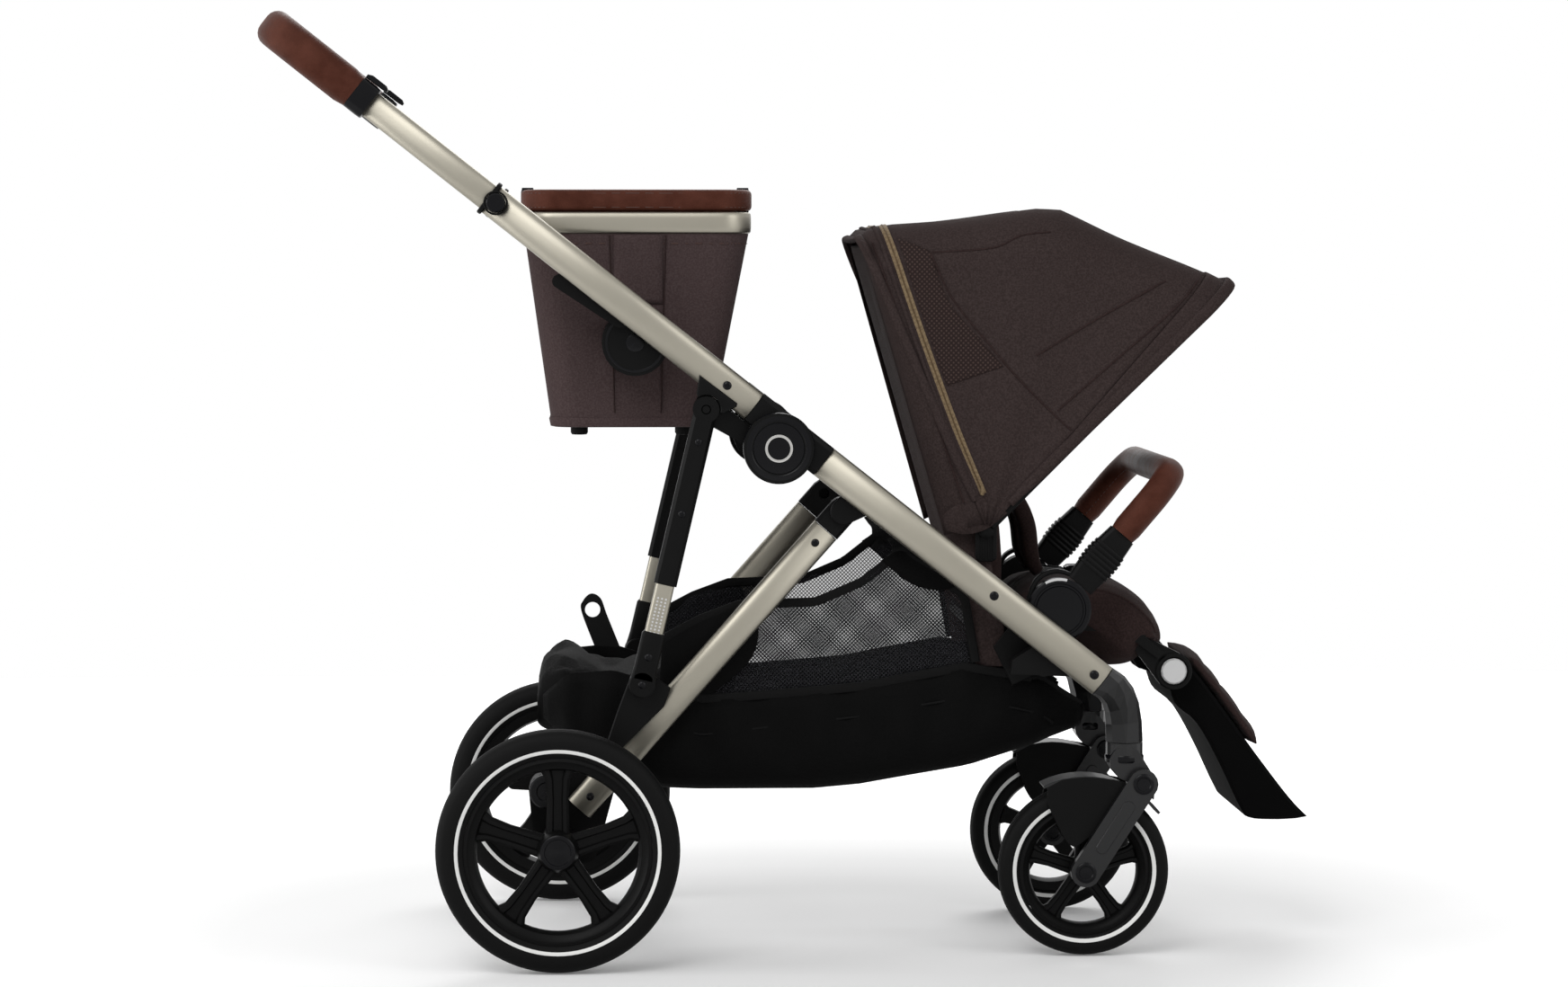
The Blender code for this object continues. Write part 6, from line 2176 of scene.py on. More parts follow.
    def line(self, points: Sequence[Flat], side: Side, steps: int = 60) -> list[tuple[Vector, Vector]]:
        """Leads a smooth line over the sheet through side-view points.

        Args:
            points: The points that it passes.
            side: Its side of the object.
            steps: How many points it gets.

        Returns:
            Its places, each with its outward direction.
        """
        knots = [self.unrolled(x, z) for x, z in points]
        return [self.rolled(x, z, side) for x, z in smooth_line(knots, steps)]

    def round_line(self, points: Sequence[Flat], steps: int = 60) -> list[tuple[Vector, Vector]]:
        """Leads a line up the right side, across the roof at its last point, and down the left side."""
        right = self.line(points, Side.RIGHT, steps)
        angle, flat = self.polar(*points[-1])[0], self.half - self.corner
        edge = self.corner * math.pi / 2
        right += [self.skin_at(angle, edge + flat * i / 12, Side.RIGHT, 0.0012) for i in range(1, 13)]
        left = [(Vector((p.x, -p.y, p.z)), Vector((n.x, -n.y, n.z))) for p, n in reversed(right[:-1])]
        return right + left

    def sew(
        self, name: str, line: Sequence[tuple[Vector, Vector]], width: float, thick: float, finish: Finish
    ) -> None:
        """Lays a band along a line of the sheet.

        Args:
            name: The piece's name.
            line: Its places, each with its outward direction.
            width: The band's width.
            thick: Its thickness.
            finish: Its finish.
        """
        band = strip([p for p, _ in line], [n for _, n in line], width, thick)
        self.fold(piece(name, band, finish, "", crease=70))

    def build(self) -> None:
        """Builds the canopy's pieces."""
        self.hoop()
        back, front = self.polar(*self.roof[0])[0], self.polar(*self.roof[-2])[0]
        angles = [back + (front - back) * i / 30 for i in range(31)]
        obj = piece(
            "canopy_sheet", sheet_mesh([self.arch(a) for a in angles]), MELANGE_POLYESTER, "", ("canopy",),
            crease=180, thick=0.0020
        )
        self.fold(obj)
        self.visor(front)
        self.rear_hem(back)
        self.rear_skirts()
        self.zip()
        self.vent_panels()
        self.seams()
        self.clips()

    def hoop(self) -> None:
        """Makes the front hoop, from one pivot over the roof to the other."""
        tip = self.polar(*self.roof[-1])[0]
        path = self.arch(tip + 0.013, -0.0052)
        hoop = swept(path, rounded_box(0.0050, 0.0100, 0.0018, 2), (0.0, 1.0, 0.0))
        ends = []
        for side in Side:
            face = self.half - 0.0060
            pivot = [(0.0095, face - 0.006), (0.0095, face - 0.0008), (0.0085, face), (0.0010, face)]
            ends.append(turned(*self.pivot, pivot, 28, side.value))
        piece(
            "canopy_hoop", merged(hoop, *ends), GLASS_FILLED_NYLON, "canopy_front", ("canopy_bow",),
            crease=50
        )

    def fold(self, obj: bpy.types.Object) -> None:
        """Bakes a canopy piece's place into its mesh; it rides on no body."""
        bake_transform(obj)

    def visor(self, front: float) -> None:
        """Makes the stiff visor with its rolled edge."""
        tip = self.polar(*self.roof[-1])[0]
        lap = 0.014
        rows = [self.arch(front + lap + (tip - front - lap) * i / 6, 0.0012)[1:-1] for i in range(7)]
        obj = piece(
            "canopy_visor", sheet_mesh(rows), MELANGE_POLYESTER, "canopy_front", crease=180, thick=0.0030
        )
        ahead = Vector((-math.sin(tip), 0.0, math.cos(tip)))
        rings = []
        rim = [Vector(p) for p in self.arch(tip)[1:-1]]
        for i, point in enumerate(rim):
            size = self.taper(point)
            run = (rim[min(i + 1, len(rim) - 1)] - rim[max(i - 1, 0)]).normalized()
            out = ahead.cross(run).normalized()
            centre = point - out * 0.0020 + ahead * 0.0055
            rings.append(
                [
                    tuple(centre + ahead * a + out * b) for a,
                    b in oval(0.0150 * size, 0.0085 * size, 2.4, 16)
                ]
            )
        piece("canopy_visor_binding", loft(rings), MELANGE_POLYESTER, "canopy_front", crease=60)

    def taper(self, point: Vector) -> float:
        """Gives a binding's share of its full size, which grows away from the pivot."""
        away = math.hypot(point.x - self.pivot[0], point.z - self.pivot[1])
        return min(1.0, max(0.3, away / 0.085))

    def rear_hem(self, back: float) -> None:
        """Makes the rolled hem that holds the canopy to the back."""
        rings = []
        rim = [Vector(p) for p in self.arch(back)[1:-1]]
        ahead = Vector((-math.sin(back), 0.0, math.cos(back)))
        for i, point in enumerate(rim):
            size = self.taper(point)
            run = (rim[min(i + 1, len(rim) - 1)] - rim[max(i - 1, 0)]).normalized()
            out = ahead.cross(run).normalized()
            section = oval(0.0110 * size, 0.0070 * size, 2.4, 16)
            rings.append([tuple(point - out * 0.0020 + ahead * a + out * b) for a, b in section])
        piece("canopy_rear_binding", loft(rings), MELANGE_POLYESTER, "backrest", crease=60)

    def rear_skirts(self) -> None:
        """Makes the cloth on each side between the canopy's rear edge and the back."""
        spokes = [
            Vector(self.pivot) + (Vector(self.roof[0]) - Vector(self.pivot)) * (0.03 + 0.96 * i / 23)
            for i in range(24)
        ]
        low = Vector((0.1870, 0.5090))
        edge = [(p.x + 0.003, p.y) for p in spokes]
        back = [low.lerp(Vector((0.0850, 0.8670)), i / 23)[:] for i in range(24)]
        for side in Side:
            rows = []
            for i, (outer, inner) in enumerate(zip(edge, back)):
                row = []
                for j in range(9):
                    share = j / 8
                    x = outer[0] + (inner[0] - outer[0]) * share
                    z = outer[1] + (inner[1] - outer[1]) * share
                    out = self.half - 0.0012 - 0.018 * share**3 - 0.020 * share**2 * i / 23
                    row.append((x, side.value * out, z))
                rows.append(row)
            made = piece(
                f"canopy_skirt_{side.tag}", sheet_mesh(rows), MELANGE_POLYESTER, "backrest", crease=180,
                thick=0.0012
            )

    def zip(self) -> None:
        """Makes the tan zip that lets out a further panel, with its welt and slider."""
        knots = [(0.2320, 0.5600), (0.2010, 0.6347), (0.1685, 0.7216), (0.1340, 0.8199), (0.1130, 0.8845)]
        line = self.round_line(knots, 90)
        self.sew("canopy_zip_tape", line, 0.0088, 0.0009, TAN_ZIP)
        self.sew("canopy_zip_coil", line, 0.0020, 0.0018, DARK_ZIP_COIL)
        welt = self.round_line([(x - 0.0098, z - 0.0026) for x, z in knots[:-1]] + [(0.1030, 0.8825)], 90)
        self.sew("canopy_zip_welt", welt, 0.0050, 0.0024, MELANGE_POLYESTER)
        spot, _ = self.line([(0.2310, 0.5640), (0.2280, 0.5700)], Side.RIGHT, 2)[0]
        outline = [(spot.x + a, spot.z + b) for a, b in rounded_box(0.0045, 0.012, 0.002, 2)]
        pull = slab(outline, spot.y - 0.0036, spot.y - 0.0014, 0.0005)
        self.fold(piece("canopy_zip_slider", pull, TAN_ZIP, "", crease=50))

    def vent_panels(self) -> None:
        """Makes the perforated panels between the zip and the first seam."""
        rear = [
            self.unrolled(x, z) for x,
            z in ((0.1880, 0.6910), (0.1730, 0.7320), (0.1480, 0.8060), (0.1290, 0.8690))
        ]
        front = [
            self.unrolled(x, z) for x,
            z in ((0.2560, 0.7140), (0.2330, 0.7410), (0.1900, 0.7930), (0.1670, 0.8530))
        ]
        for side in Side:
            rows = []
            for low, high in zip(smooth_line(rear, 24), smooth_line(front, 24)):
                row = []
                for i in range(13):
                    x, z = (a + (b - a) * i / 12 for a, b in zip(low, high))
                    row.append(tuple(self.rolled(x, z, side, 0.0016)[0]))
                rows.append(row)
            obj = piece(
                f"canopy_vent_{side.tag}", sheet_mesh(rows), PERFORATED_POLYESTER, "", crease=180,
                thick=0.0006
            )
            self.fold(obj)

    def seams(self) -> None:
        """Makes the piped seams of the panels."""
        lines = {
            "panel": [
                (0.3387, 0.6373), (0.3223, 0.6518), (0.2756, 0.6983), (0.2407, 0.7389), (0.1941, 0.7968),
                (0.1679, 0.8516)
            ],
            "rear": [
                (0.2080, 0.5500), (0.1790, 0.6347), (0.1480, 0.7216), (0.1150, 0.8141), (0.0990, 0.8620)
            ],
            "roof": [(0.1704, 0.8517), (0.2433, 0.8575), (0.2783, 0.8720), (0.3134, 0.8761)],
            "front": [(0.2959, 0.7272), (0.3685, 0.7706), (0.4527, 0.8169)],
            "low": [(0.3223, 0.6605), (0.3920, 0.7214), (0.4616, 0.7822), (0.4935, 0.8169)],
        }
        for name, points in lines.items():
            for side in Side:
                self.sew(
                    f"canopy_seam_{name}_{side.tag}", self.line(points, side, 50), 0.0026, 0.0009,
                    SEAT_TWILL
                )

    def clips(self) -> None:
        """Makes the ribbed clips at the canopy's pivots."""
        for side in Side:
            s = side.value
            x, z = self.pivot
            foot = smooth_line([(0.1885, 0.5150), (0.2121, 0.5110), (0.2380, 0.5180), (0.2620, 0.5370)], 14)
            foot += smooth_line(
                [(0.2500, 0.5450), (0.2330, 0.5510), (0.2050, 0.5480), (0.1860, 0.5370), (0.1850, 0.5220)],
                14
            )
            piece(
                f"canopy_foot_{side.tag}", slab(foot, s * 0.1778, s * 0.1796, 0.0006), MELANGE_POLYESTER,
                "backrest", crease=60
            )
            body = slab(
                [(x + a, z - 0.012 + b) for a, b in rounded_box(0.026, 0.052, 0.006, 3)], s * 0.1605,
                s * 0.1680, 0.0010
            )
            ribs = [
                slab(
                    [
                        (x - 0.009 + 0.006 * i + a, z - 0.014 + b) for a,
                        b in rounded_box(0.0030, 0.044, 0.0012, 2)
                    ],
                    s * 0.1600, s * 0.1692, 0.0006
                )
                for i in range(4)
            ]
            piece(f"canopy_clip_{side.tag}", merged(body, *ribs), GLASS_FILLED_NYLON, "backrest")


@dataclass
class BoxBag:
    """The box bag behind the frame: a canvas body, an aluminium rim and two leatherette handles.

    Attributes:
        half: The body's half width.
        top: The body's rear and front end at the rim.
        bottom: The same at the floor.
        low: The floor's height.
        high: The body's top.
        wall: The thickness of its walls.
    """

    half: float = 0.158
    top: Flat = (-0.322, -0.050)
    bottom: Flat = (-0.289, -0.096)
    low: float = 0.640
    high: float = 0.8746
    wall: float = 0.005

    def plan(self, z: float, inward: float = 0.0, steps: int = 5) -> Ring:
        """Gives the bag's outline at a height; its panels sink a little between the corners.

        Args:
            z: The height.
            inward: How far inside the outer face it runs.
            steps: The steps of each corner.

        Returns:
            The ring of points.
        """
        share = (z - self.low) / (self.high - self.low)
        rear = self.bottom[0] + (self.top[0] - self.bottom[0]) * share
        front = self.bottom[1] + (self.top[1] - self.bottom[1]) * share
        middle, long = (rear + front) / 2, (front - rear) / 2 - inward
        wide, corner = self.half - inward, 0.034 - min(inward, 0.02)
        sag = 0.0035 * math.sin(math.pi * min(1.0, max(0.0, share))) ** 0.8
        flat: list[Flat] = []
        for quarter in range(4):
            sx = 1 if quarter in (0, 3) else -1
            sy = 1 if quarter in (0, 1) else -1
            for i in range(steps + 1):
                angle = math.pi / 2 * (quarter + i / steps)
                flat.append(
                    (
                        sx * (long - corner) + corner * math.cos(angle),
                        sy * (wide - corner) + corner * math.sin(angle)
                    )
                )
            for i in range(1, 8):
                t = i / 8
                dip = sag * math.sin(math.pi * t)
                if quarter % 2 == 0:
                    x = sx * (long - corner) * (1 - 2 * t)
                    flat.append((x, sy * (wide - dip)))
                else:
                    y = sy * (wide - corner) * (1 - 2 * t)
                    flat.append((sx * (long - dip), y))
        return [(middle + x, y, z) for x, y in flat]

    def build(self) -> None:
        """Builds the bag's pieces."""
        self.rim()
        levels = [self.low + 0.0005, self.low + 0.004, self.low + 0.016] + [
            self.low + 0.016 + (self.high - self.low - 0.016) * i / 10 for i in range(1, 11)
        ]
        rings = [self.plan(levels[0], 0.006)] + [self.plan(z) for z in levels[1:]]
        rings += [
            self.plan(z, self.wall) for z in reversed(levels[2:])
        ] + [self.plan(self.low + 0.0062, self.wall + 0.004)]
        body = piece("bag_canvas", loft(rings), BAG_CANVAS, "bag", ("bag_body",), crease=50)
        self.base()
        self.panels()
        for side in Side:
            self.handle(side)
        self.clips()

    def rim(self) -> None:
        """Makes the rounded aluminium rim."""
        section = (
            (0.0030, 0.0006), (
                -0.0012, 0.0004
            ), (-0.0026, 0.0022), (-0.0031, 0.0070), (-0.0032, 0.0130), (-0.0031, 0.0190),
            (-0.0026, 0.0238), (-0.0010, 0.0258), (0.0030, 0.0260), (0.0048, 0.0240), (0.0048, 0.0026),
        )
        rings = []
        for inward, up in section:
            ring = self.plan(self.high, inward, 8)
            rings.append([(x, y, self.high + up) for x, y, _ in ring])
        piece("bag_rim_aluminium", loft(rings, loop=True), ANODISED_ALUMINIUM, "bag", ("bag_rim",), crease=60)

    def base(self) -> None:
        """Makes the stiff base with its raised lip and feet."""
        lip = []
        for z, inward in (
            (self.low + 0.0005, 0.003), (self.low + 0.0015, -0.0016), (self.low + 0.0105, -0.0022),
            (self.low + 0.0125, -0.0008), (self.low + 0.0125, 0.0030), (self.low + 0.0005, 0.0090)
        ):
            lip.append(self.plan(max(z, self.low), inward))
        piece("bag_base_lip", loft(lip, loop=True), BAG_CANVAS, "bag", crease=50)
        feet = []
        for side in Side:
            for x in (self.bottom[0] + 0.033, self.bottom[1] - 0.033):
                y = side.value * (self.half - 0.045)
                levels = (
                    (self.low + 0.001, 0.0105), (self.low - 0.0070, 0.0105), (self.low - 0.0095, 0.0090),
                    (self.low - 0.0098, 0.0060)
                )
                feet.append(loft([[(x + a, y + b, z) for a, b in circle(r, 28)] for z, r in levels]))
        piece("bag_feet", merged(*feet), FOAMED_RUBBER, "bag")

    def panels(self) -> None:
        """Sews the seams, the hem and the side pocket's flap."""
        for side in Side:
            s = side.value
            for number, (high_x, low_x) in enumerate(((-0.219, -0.213), (-0.151, -0.158))):
                path = []
                for i in range(120):
                    z = self.high - 0.002 - (self.high - self.low - 0.020) * i / 119
                    share = (z - self.low) / (self.high - self.low)
                    x = low_x + (high_x - low_x) * share
                    path.append((x, s * self.side_plane(x, z), z))
                piping = swept(path, rounded_box(0.0018, 0.0032, 0.0008, 1), (1.0, 0.0, 0.0))
                piece(f"bag_seam_{number}_{side.tag}", piping, SEAT_TWILL, "bag", crease=60)
            flap = []
            for i in range(14):
                z = 0.873 - 0.083 * i / 13
                row = []
                for j in range(9):
                    x = -0.214 + 0.059 * j / 8
                    puffed = 0.0022 * math.sin(math.pi * j / 8) ** 0.5 * math.sin(
                        math.pi * (i + 1) / 15
                    ) ** 0.5
                    row.append((x, s * (self.side_plane(x, z) + 0.0004 + puffed), z))
                flap.append(row)
            obj = piece(
                f"bag_pocket_{side.tag}", sheet_mesh(flap), BAG_CANVAS, "bag", crease=180, thick=0.0012
            )
        hem = self.plan(self.high - 0.012, -0.0006)
        path = [Vector(p) for p in [*hem, hem[0]]]
        fine = [tuple(a + (b - a) * i / 6) for a, b in zip(path, path[1:]) for i in range(6)]
        thread_line("bag_hem_stitching", fine, "bag")

    def side_plane(self, x: float, z: float) -> float:
        """Gives the side panel's distance from the middle plane at a place."""
        share = (z - self.low) / (self.high - self.low)
        rear = self.bottom[0] + (self.top[0] - self.bottom[0]) * share
        front = self.bottom[1] + (self.top[1] - self.bottom[1]) * share
        long = (front - rear) / 2 - 0.034
        t = min(1.0, max(0.0, ((x - (rear + front) / 2) / long + 1) / 2))
        sag = 0.0035 * math.sin(math.pi * min(1.0, max(0.0, share))) ** 0.8
        return self.half - sag * math.sin(math.pi * t) + 0.0003

    def handle(self, side: Side) -> None:
        """Makes one handle: a leatherette band that lies on the rim."""
        s = side.value
        z, pivot = 0.9148, 0.0201
        rear, front = self.top[0] + 0.004, self.top[1] - 0.004
        reach, bend = self.half - 0.010, 0.036
        flat = [(rear, pivot), (rear, pivot + 0.004), (rear, 0.06), (rear, 0.09), (rear, reach - bend)]
        flat += [
            (rear + bend * (1 - math.cos(a)), reach - bend + bend * math.sin(a))
            for a in [math.pi / 2 * i / 8 for i in range(1, 9)]
        ]
        middle = [(rear + bend + (front - rear - 2 * bend) * i / 10, reach) for i in range(1, 11)]
        flat += middle
        flat += [
            (front - bend + bend * math.sin(a), reach - bend + bend * math.cos(a))
            for a in [math.pi / 2 * i / 8 for i in range(1, 9)]
        ]
        flat += [(front, 0.09), (front, 0.06), (front, pivot + 0.004), (front, pivot)]
        path = [(x, s * y, z) for x, y in flat]

        def swell(share: float) -> float:
            """Thins the band towards its pivots."""
            return 0.86 + 0.14 * min(1.0, 14 * share, 14 * (1 - share))

        band = swept(path, rounded_box(0.0262, 0.0165, 0.0062, 4), (0.0, 0.0, 1.0), swell)
        tag = side.tag
        piece(
            f"bag_handle_{tag}_wrap", band, EMBOSSED_POLYURETHANE, f"bag_handle_{tag}",
            (f"bag_handle_{tag}",), crease=60
        )
        for name, lift in (("upper", 0.0085), ("lower", -0.0085)):
            centre = (rear + front) / 2
            edge = []
            for x, y in flat[2:-2]:
                run = Vector((x - centre, y)).normalized()
                edge.append(Vector((x + run.x * 0.0079, s * (y + run.y * 0.0079), z + lift)))
            fine = [tuple(a + (b - a) * i / 6) for a, b in zip(edge, edge[1:]) for i in range(6)]
            thread_line(f"bag_handle_stitching_{name}_{tag}", fine, f"bag_handle_{tag}")

    def clips(self) -> None:
        """Makes the black clips over the rim's ends."""
        meshes = []
        for x, sign in ((self.top[0] - 0.003, -1), (self.top[1] + 0.003, 1)):
            outline = [
                (x - sign * 0.0135, 0.8990), (x + sign * 0.0016, 0.8990), (x + sign * 0.0026, 0.9260),
                (x + sign * 0.0012, 0.9320), (x - sign * 0.0125, 0.9320), (x - sign * 0.0140, 0.9260)
            ]
            meshes.append(slab(outline, -0.0072, 0.0072, 0.0012))
        piece("bag_rim_clips", merged(*meshes), SMOOTH_ABS, "bag")


@dataclass
class ShoppingBasket:
    """The basket under the seat: a cloth tub with net sides and a soft hump at the rear.

    Attributes:
        stations: Along it, each with x, its top edge, the net's lower edge, its bottom and half width.
    """

    stations: tuple[tuple[float, float, float, float, float], ...] = (
        (-0.303, 0.318, 0.312, 0.286, 0.140),
        (-0.270, 0.352, 0.344, 0.252, 0.172),
        (-0.215, 0.356, 0.348, 0.225, 0.183),
        (-0.157, 0.385, 0.330, 0.202, 0.183),
        (-0.110, 0.410, 0.315, 0.200, 0.183),
        (-0.064, 0.427, 0.317, 0.200, 0.183),
        (0.029, 0.430, 0.324, 0.200, 0.183),
        (0.085, 0.454, 0.329, 0.205, 0.183),
        (0.131, 0.490, 0.338, 0.213, 0.183),
        (0.209, 0.438, 0.352, 0.226, 0.183),
        (0.223, 0.356, 0.350, 0.229, 0.181),
        (0.302, 0.341, 0.336, 0.252, 0.168),
        (0.360, 0.302, 0.298, 0.275, 0.140),
    )

    def at(self, x: float) -> tuple[float, ...]:
        """Gives the station at a place along the basket."""
        for low, high in zip(self.stations, self.stations[1:]):
            if x <= high[0]:
                share = (x - low[0]) / (high[0] - low[0])
                return tuple(a + (b - a) * share for a, b in zip(low, high))
        return self.stations[-1]

    def section(self, x: float, top: float) -> Ring:
        """Gives the cloth's section at a place, with the wrinkles of hanging cloth."""
        _, _, _, bottom, half = self.at(x)
        corner = min(0.040, (top - bottom) * 0.6)
        sag = 0.004 + 0.004 * math.sin(x * 23.0)
        side = [(-half, top)]
        for i in range(1, 5):
            z = top + (bottom + corner - top) * i / 4
            fold = 0.0026 * math.sin(x * 61.0 + z * 33.0) + 0.0020 * math.sin(x * 117.0 - z * 20.0)
            side.append((-half + fold - 0.003 * math.sin(math.pi * i / 5), z))
        for i in range(1, 6):
            turn = math.pi / 2 * i / 5
            side.append((-half + corner * (1 - math.cos(turn)), bottom + corner * (1 - math.sin(turn))))
        for y in (0.75, 0.5, 0.25):
            ripple = 0.0016 * math.sin(x * 71.0 + y * 9.0) + 0.0012 * math.sin(x * 133.0 - y * 14.0)
            side.append((-(half - corner) * y, bottom + sag * 0.4 * (1 - y) - ripple))
        side.append((0.0, bottom + sag * 0.4))
        return [(x, y, z) for y, z in side + [(-y, z) for y, z in reversed(side[:-1])]]

    def build(self) -> None:
        """Builds the basket's pieces."""
        spots = [-0.300 + 0.655 * i / 80 for i in range(81)]
        tub = piece(
            "basket_tub", sheet_mesh([self.section(x, self.at(x)[2]) for x in spots]), BLACK_TAFFETA,
            "root", ("shopping_basket",), crease=180, thick=0.0022
        )
        self.ends()
        self.nets()
        self.patches()
        self.bindings()
        self.hump()
        self.tab()
        self.net_ends()

    def net_ends(self) -> None:
        """Makes the cloth strips and the brackets that close the net's front ends."""
        strip_outline = [(0.2100, 0.4420), (0.2240, 0.3500), (0.2580, 0.3500), (0.2580, 0.4350)]
        bracket = [(0.2450, 0.3740), (0.2800, 0.4190), (0.3080, 0.3460), (0.2680, 0.3270)]
        for side in Side:
            cloth = slab(strip_outline, side.value * 0.1745, side.value * 0.1757, 0.0004)
            piece(f"basket_net_end_{side.tag}", cloth, MELANGE_POLYESTER, "root", crease=60)
            plate = slab(bracket, side.value * 0.1765, side.value * 0.1800, 0.0010)
            piece(f"basket_bracket_{side.tag}", plate, GLASS_FILLED_NYLON, "root")

    def ends(self) -> None:
        """Closes the tub at its front."""
        rows = []
        for k in range(6):
            share = k / 5
            ring = self.section(0.355, self.at(0.355)[2])
            rows.append(
                [(x + 0.004 * math.sin(math.pi * share), y, z + (0.298 - z) * share) for x, y, z in ring]
            )
        piece("basket_front_panel", sheet_mesh(rows), BLACK_TAFFETA, "root", crease=180, thick=0.0018)

    def nets(self) -> None:
        """Makes the net sides between the tub and the top strap."""
        for side in Side:
            rows = []
            for i in range(57):
                x = -0.150 + 0.370 * i / 56
                _, top, low, _, half = self.at(x)
                top = max(top, low + 0.002)
                row = []
                for j in range(9):
                    z = low - 0.004 + (top - low + 0.004) * j / 8
                    bow = 0.004 * math.sin(math.pi * j / 8) + 0.0015 * math.sin(x * 47.0)
                    row.append((x, side.value * (half - bow), z))
                rows.append(row)
            obj = piece(
                f"basket_net_{side.tag}", sheet_mesh(rows), POLYESTER_NET, "root", crease=180, thick=0.0006
            )

    def patches(self) -> None:
        """Sews the solid cloth corners over the net, front and rear."""
        front = smooth_line(
            [
                (0.108, 0.4800), (0.131, 0.4920), (0.150, 0.4800), (0.197, 0.4500), (0.178, 0.4440),
                (0.160, 0.4460), (0.140, 0.4540), (0.122, 0.4680), (0.108, 0.4800)
            ],
            40
        )[:-1]
        rear = smooth_line(
            [
                (-0.157, 0.3800), (-0.112, 0.4060), (-0.064, 0.4230), (-0.047, 0.4200), (-0.040, 0.3950),
                (-0.049, 0.3620), (-0.080, 0.3320), (-0.116, 0.3080), (-0.157, 0.3020), (-0.157, 0.3800)
            ],
            40
        )[:-1]
        for side in Side:
            for name, outline in (("front", front), ("rear", rear)):
                patch = slab(outline, side.value * 0.1834, side.value * 0.1848, 0.0005)
                piece(f"basket_patch_{name}_{side.tag}", patch, BLACK_TAFFETA, "root", crease=60)

    def bindings(self) -> None:
        """Makes the straps along the net's edges and the loop that hooks on the tube."""
        for side in Side:
            s = side.value
            top = [
                (x, s * self.at(x)[4], self.at(x)[1]) for x in [-0.160 + 0.383 * i / 60 for i in range(61)]
            ]
            low = [
                (x, s * (self.at(x)[4] + 0.0008), self.at(x)[2] - 0.002)
                for x in [-0.160 + 0.515 * i / 60 for i in range(61)]
            ]
            section = rounded_box(0.0030, 0.0110, 0.0012, 2)
            for name, path in (("top", top), ("low", low)):
                piece(
                    f"basket_binding_{name}_{side.tag}", swept(path, section, (0.0, 1.0, 0.0)),
                    POLYPROPYLENE_WEBBING, "root", crease=60
                )
            seam = [
                (x, s * (self.at(x)[4] + 0.0016), self.at(x)[2] - 0.048 + 0.010 * math.sin((x + 0.15) * 6))
                for x in [-0.120 + 0.440 * i / 60 for i in range(61)]
            ]
            piece(
                f"basket_seam_{side.tag}",
                swept(seam, rounded_box(0.0016, 0.0030, 0.0007, 1), (0.0, 1.0, 0.0)), POLYPROPYLENE_WEBBING,
                "root", crease=60
            )
            peak = self.at(0.131)
            loop = smooth_line(
                [
                    (0.131, s * peak[4], peak[1] - 0.020), (0.132, s * (peak[4] + 0.002), peak[1] + 0.006),
                    (0.128, s * 0.205, peak[1] + 0.014), (0.124, s * 0.222, peak[1] + 0.020)
                ],
                16
            )
            piece(
                f"basket_hanger_{side.tag}",
                swept(loop, rounded_box(0.0022, 0.022, 0.0009, 1), (0.0, 1.0, 0.0)), POLYPROPYLENE_WEBBING,
                "root", crease=60
            )

    def hump(self) -> None:
        """Makes the gathered cloth hump at the rear."""
        crests = smooth_line(
            [
                (-0.308, 0.312), (-0.300, 0.344), (-0.280, 0.357), (-0.262, 0.352), (-0.226, 0.336),
                (-0.198, 0.332), (-0.160, 0.345), (-0.146, 0.350)
            ],
            24
        )
        rings = []
        for i in range(25):
            share = i / 24
            x = crests[i][0]
            _, _, _, _, half = self.at(max(-0.303, x))
            crest = crests[i][1]
            base = 0.300 - 0.040 * math.sin(math.pi * min(1.0, 0.2 + share * 0.7))
            ring = []
            for j in range(40):
                angle = math.tau * j / 40
                wide, high = math.cos(angle), math.sin(angle)
                y = (half - 0.004) * math.copysign(abs(wide) ** 0.35, wide)
                crease_depth = 0.0050 * math.sin(y * 62.0 + x * 90.0) + 0.0030 * math.sin(
                    y * 151.0 - x * 60.0 + 1.3
                )
                z = (crest + base) / 2 + (crest - base) / 2 * math.copysign(abs(high) ** 0.6, high)
                ring.append((x, y, z + crease_depth * max(0.0, high)))
            rings.append(ring)
        obj = piece("basket_hump", loft(rings), BLACK_TAFFETA, "root", crease=180)

    def tab(self) -> None:
        """Makes the upright tab with the round eyelet at the rear."""
        outline = smooth_line(
            [
                (-0.238, 0.362), (-0.254, 0.405), (-0.252, 0.418), (-0.242, 0.427), (-0.230, 0.421),
                (-0.222, 0.400), (-0.206, 0.360)
            ],
            30
        )
        centre = Vector((-0.2400, 0.4070))
        hole = [(centre.x + a, centre.y + b) for a, b in circle(0.0095, 31, math.radians(200))]
        piece("basket_tab", ring_plate(outline, hole, 0.0040), GLASS_FILLED_NYLON, "root", crease=50)


def ring_plate(outline: Sequence[Flat], hole: Sequence[Flat], thick: float) -> bmesh.types.BMesh:
    """Makes a plate with a hole in the middle plane from two outlines of the same count.

    Args:
        outline: The plate's outline in the side view.
        hole: The hole's outline.
        thick: The plate's thickness.

    Returns:
        The plate's mesh.
    """
    centre = sum((Vector(p) for p in hole), Vector((0.0, 0.0))) / len(hole)

    def bearing(point: Flat) -> float:
        """Gives a point's direction from the hole's middle."""
        return math.atan2(point[1] - centre.y, point[0] - centre.x)

    outer = sorted(outline, key=bearing)
    inner = sorted(hole, key=bearing)[: len(outer)]
    rings = [
        [(x, -thick / 2, z) for x, z in outer],
        [(x, thick / 2, z) for x, z in outer],
        [(x, thick / 2, z) for x, z in inner],
        [(x, -thick / 2, z) for x, z in inner],
    ]
    return loft(rings, loop=True)


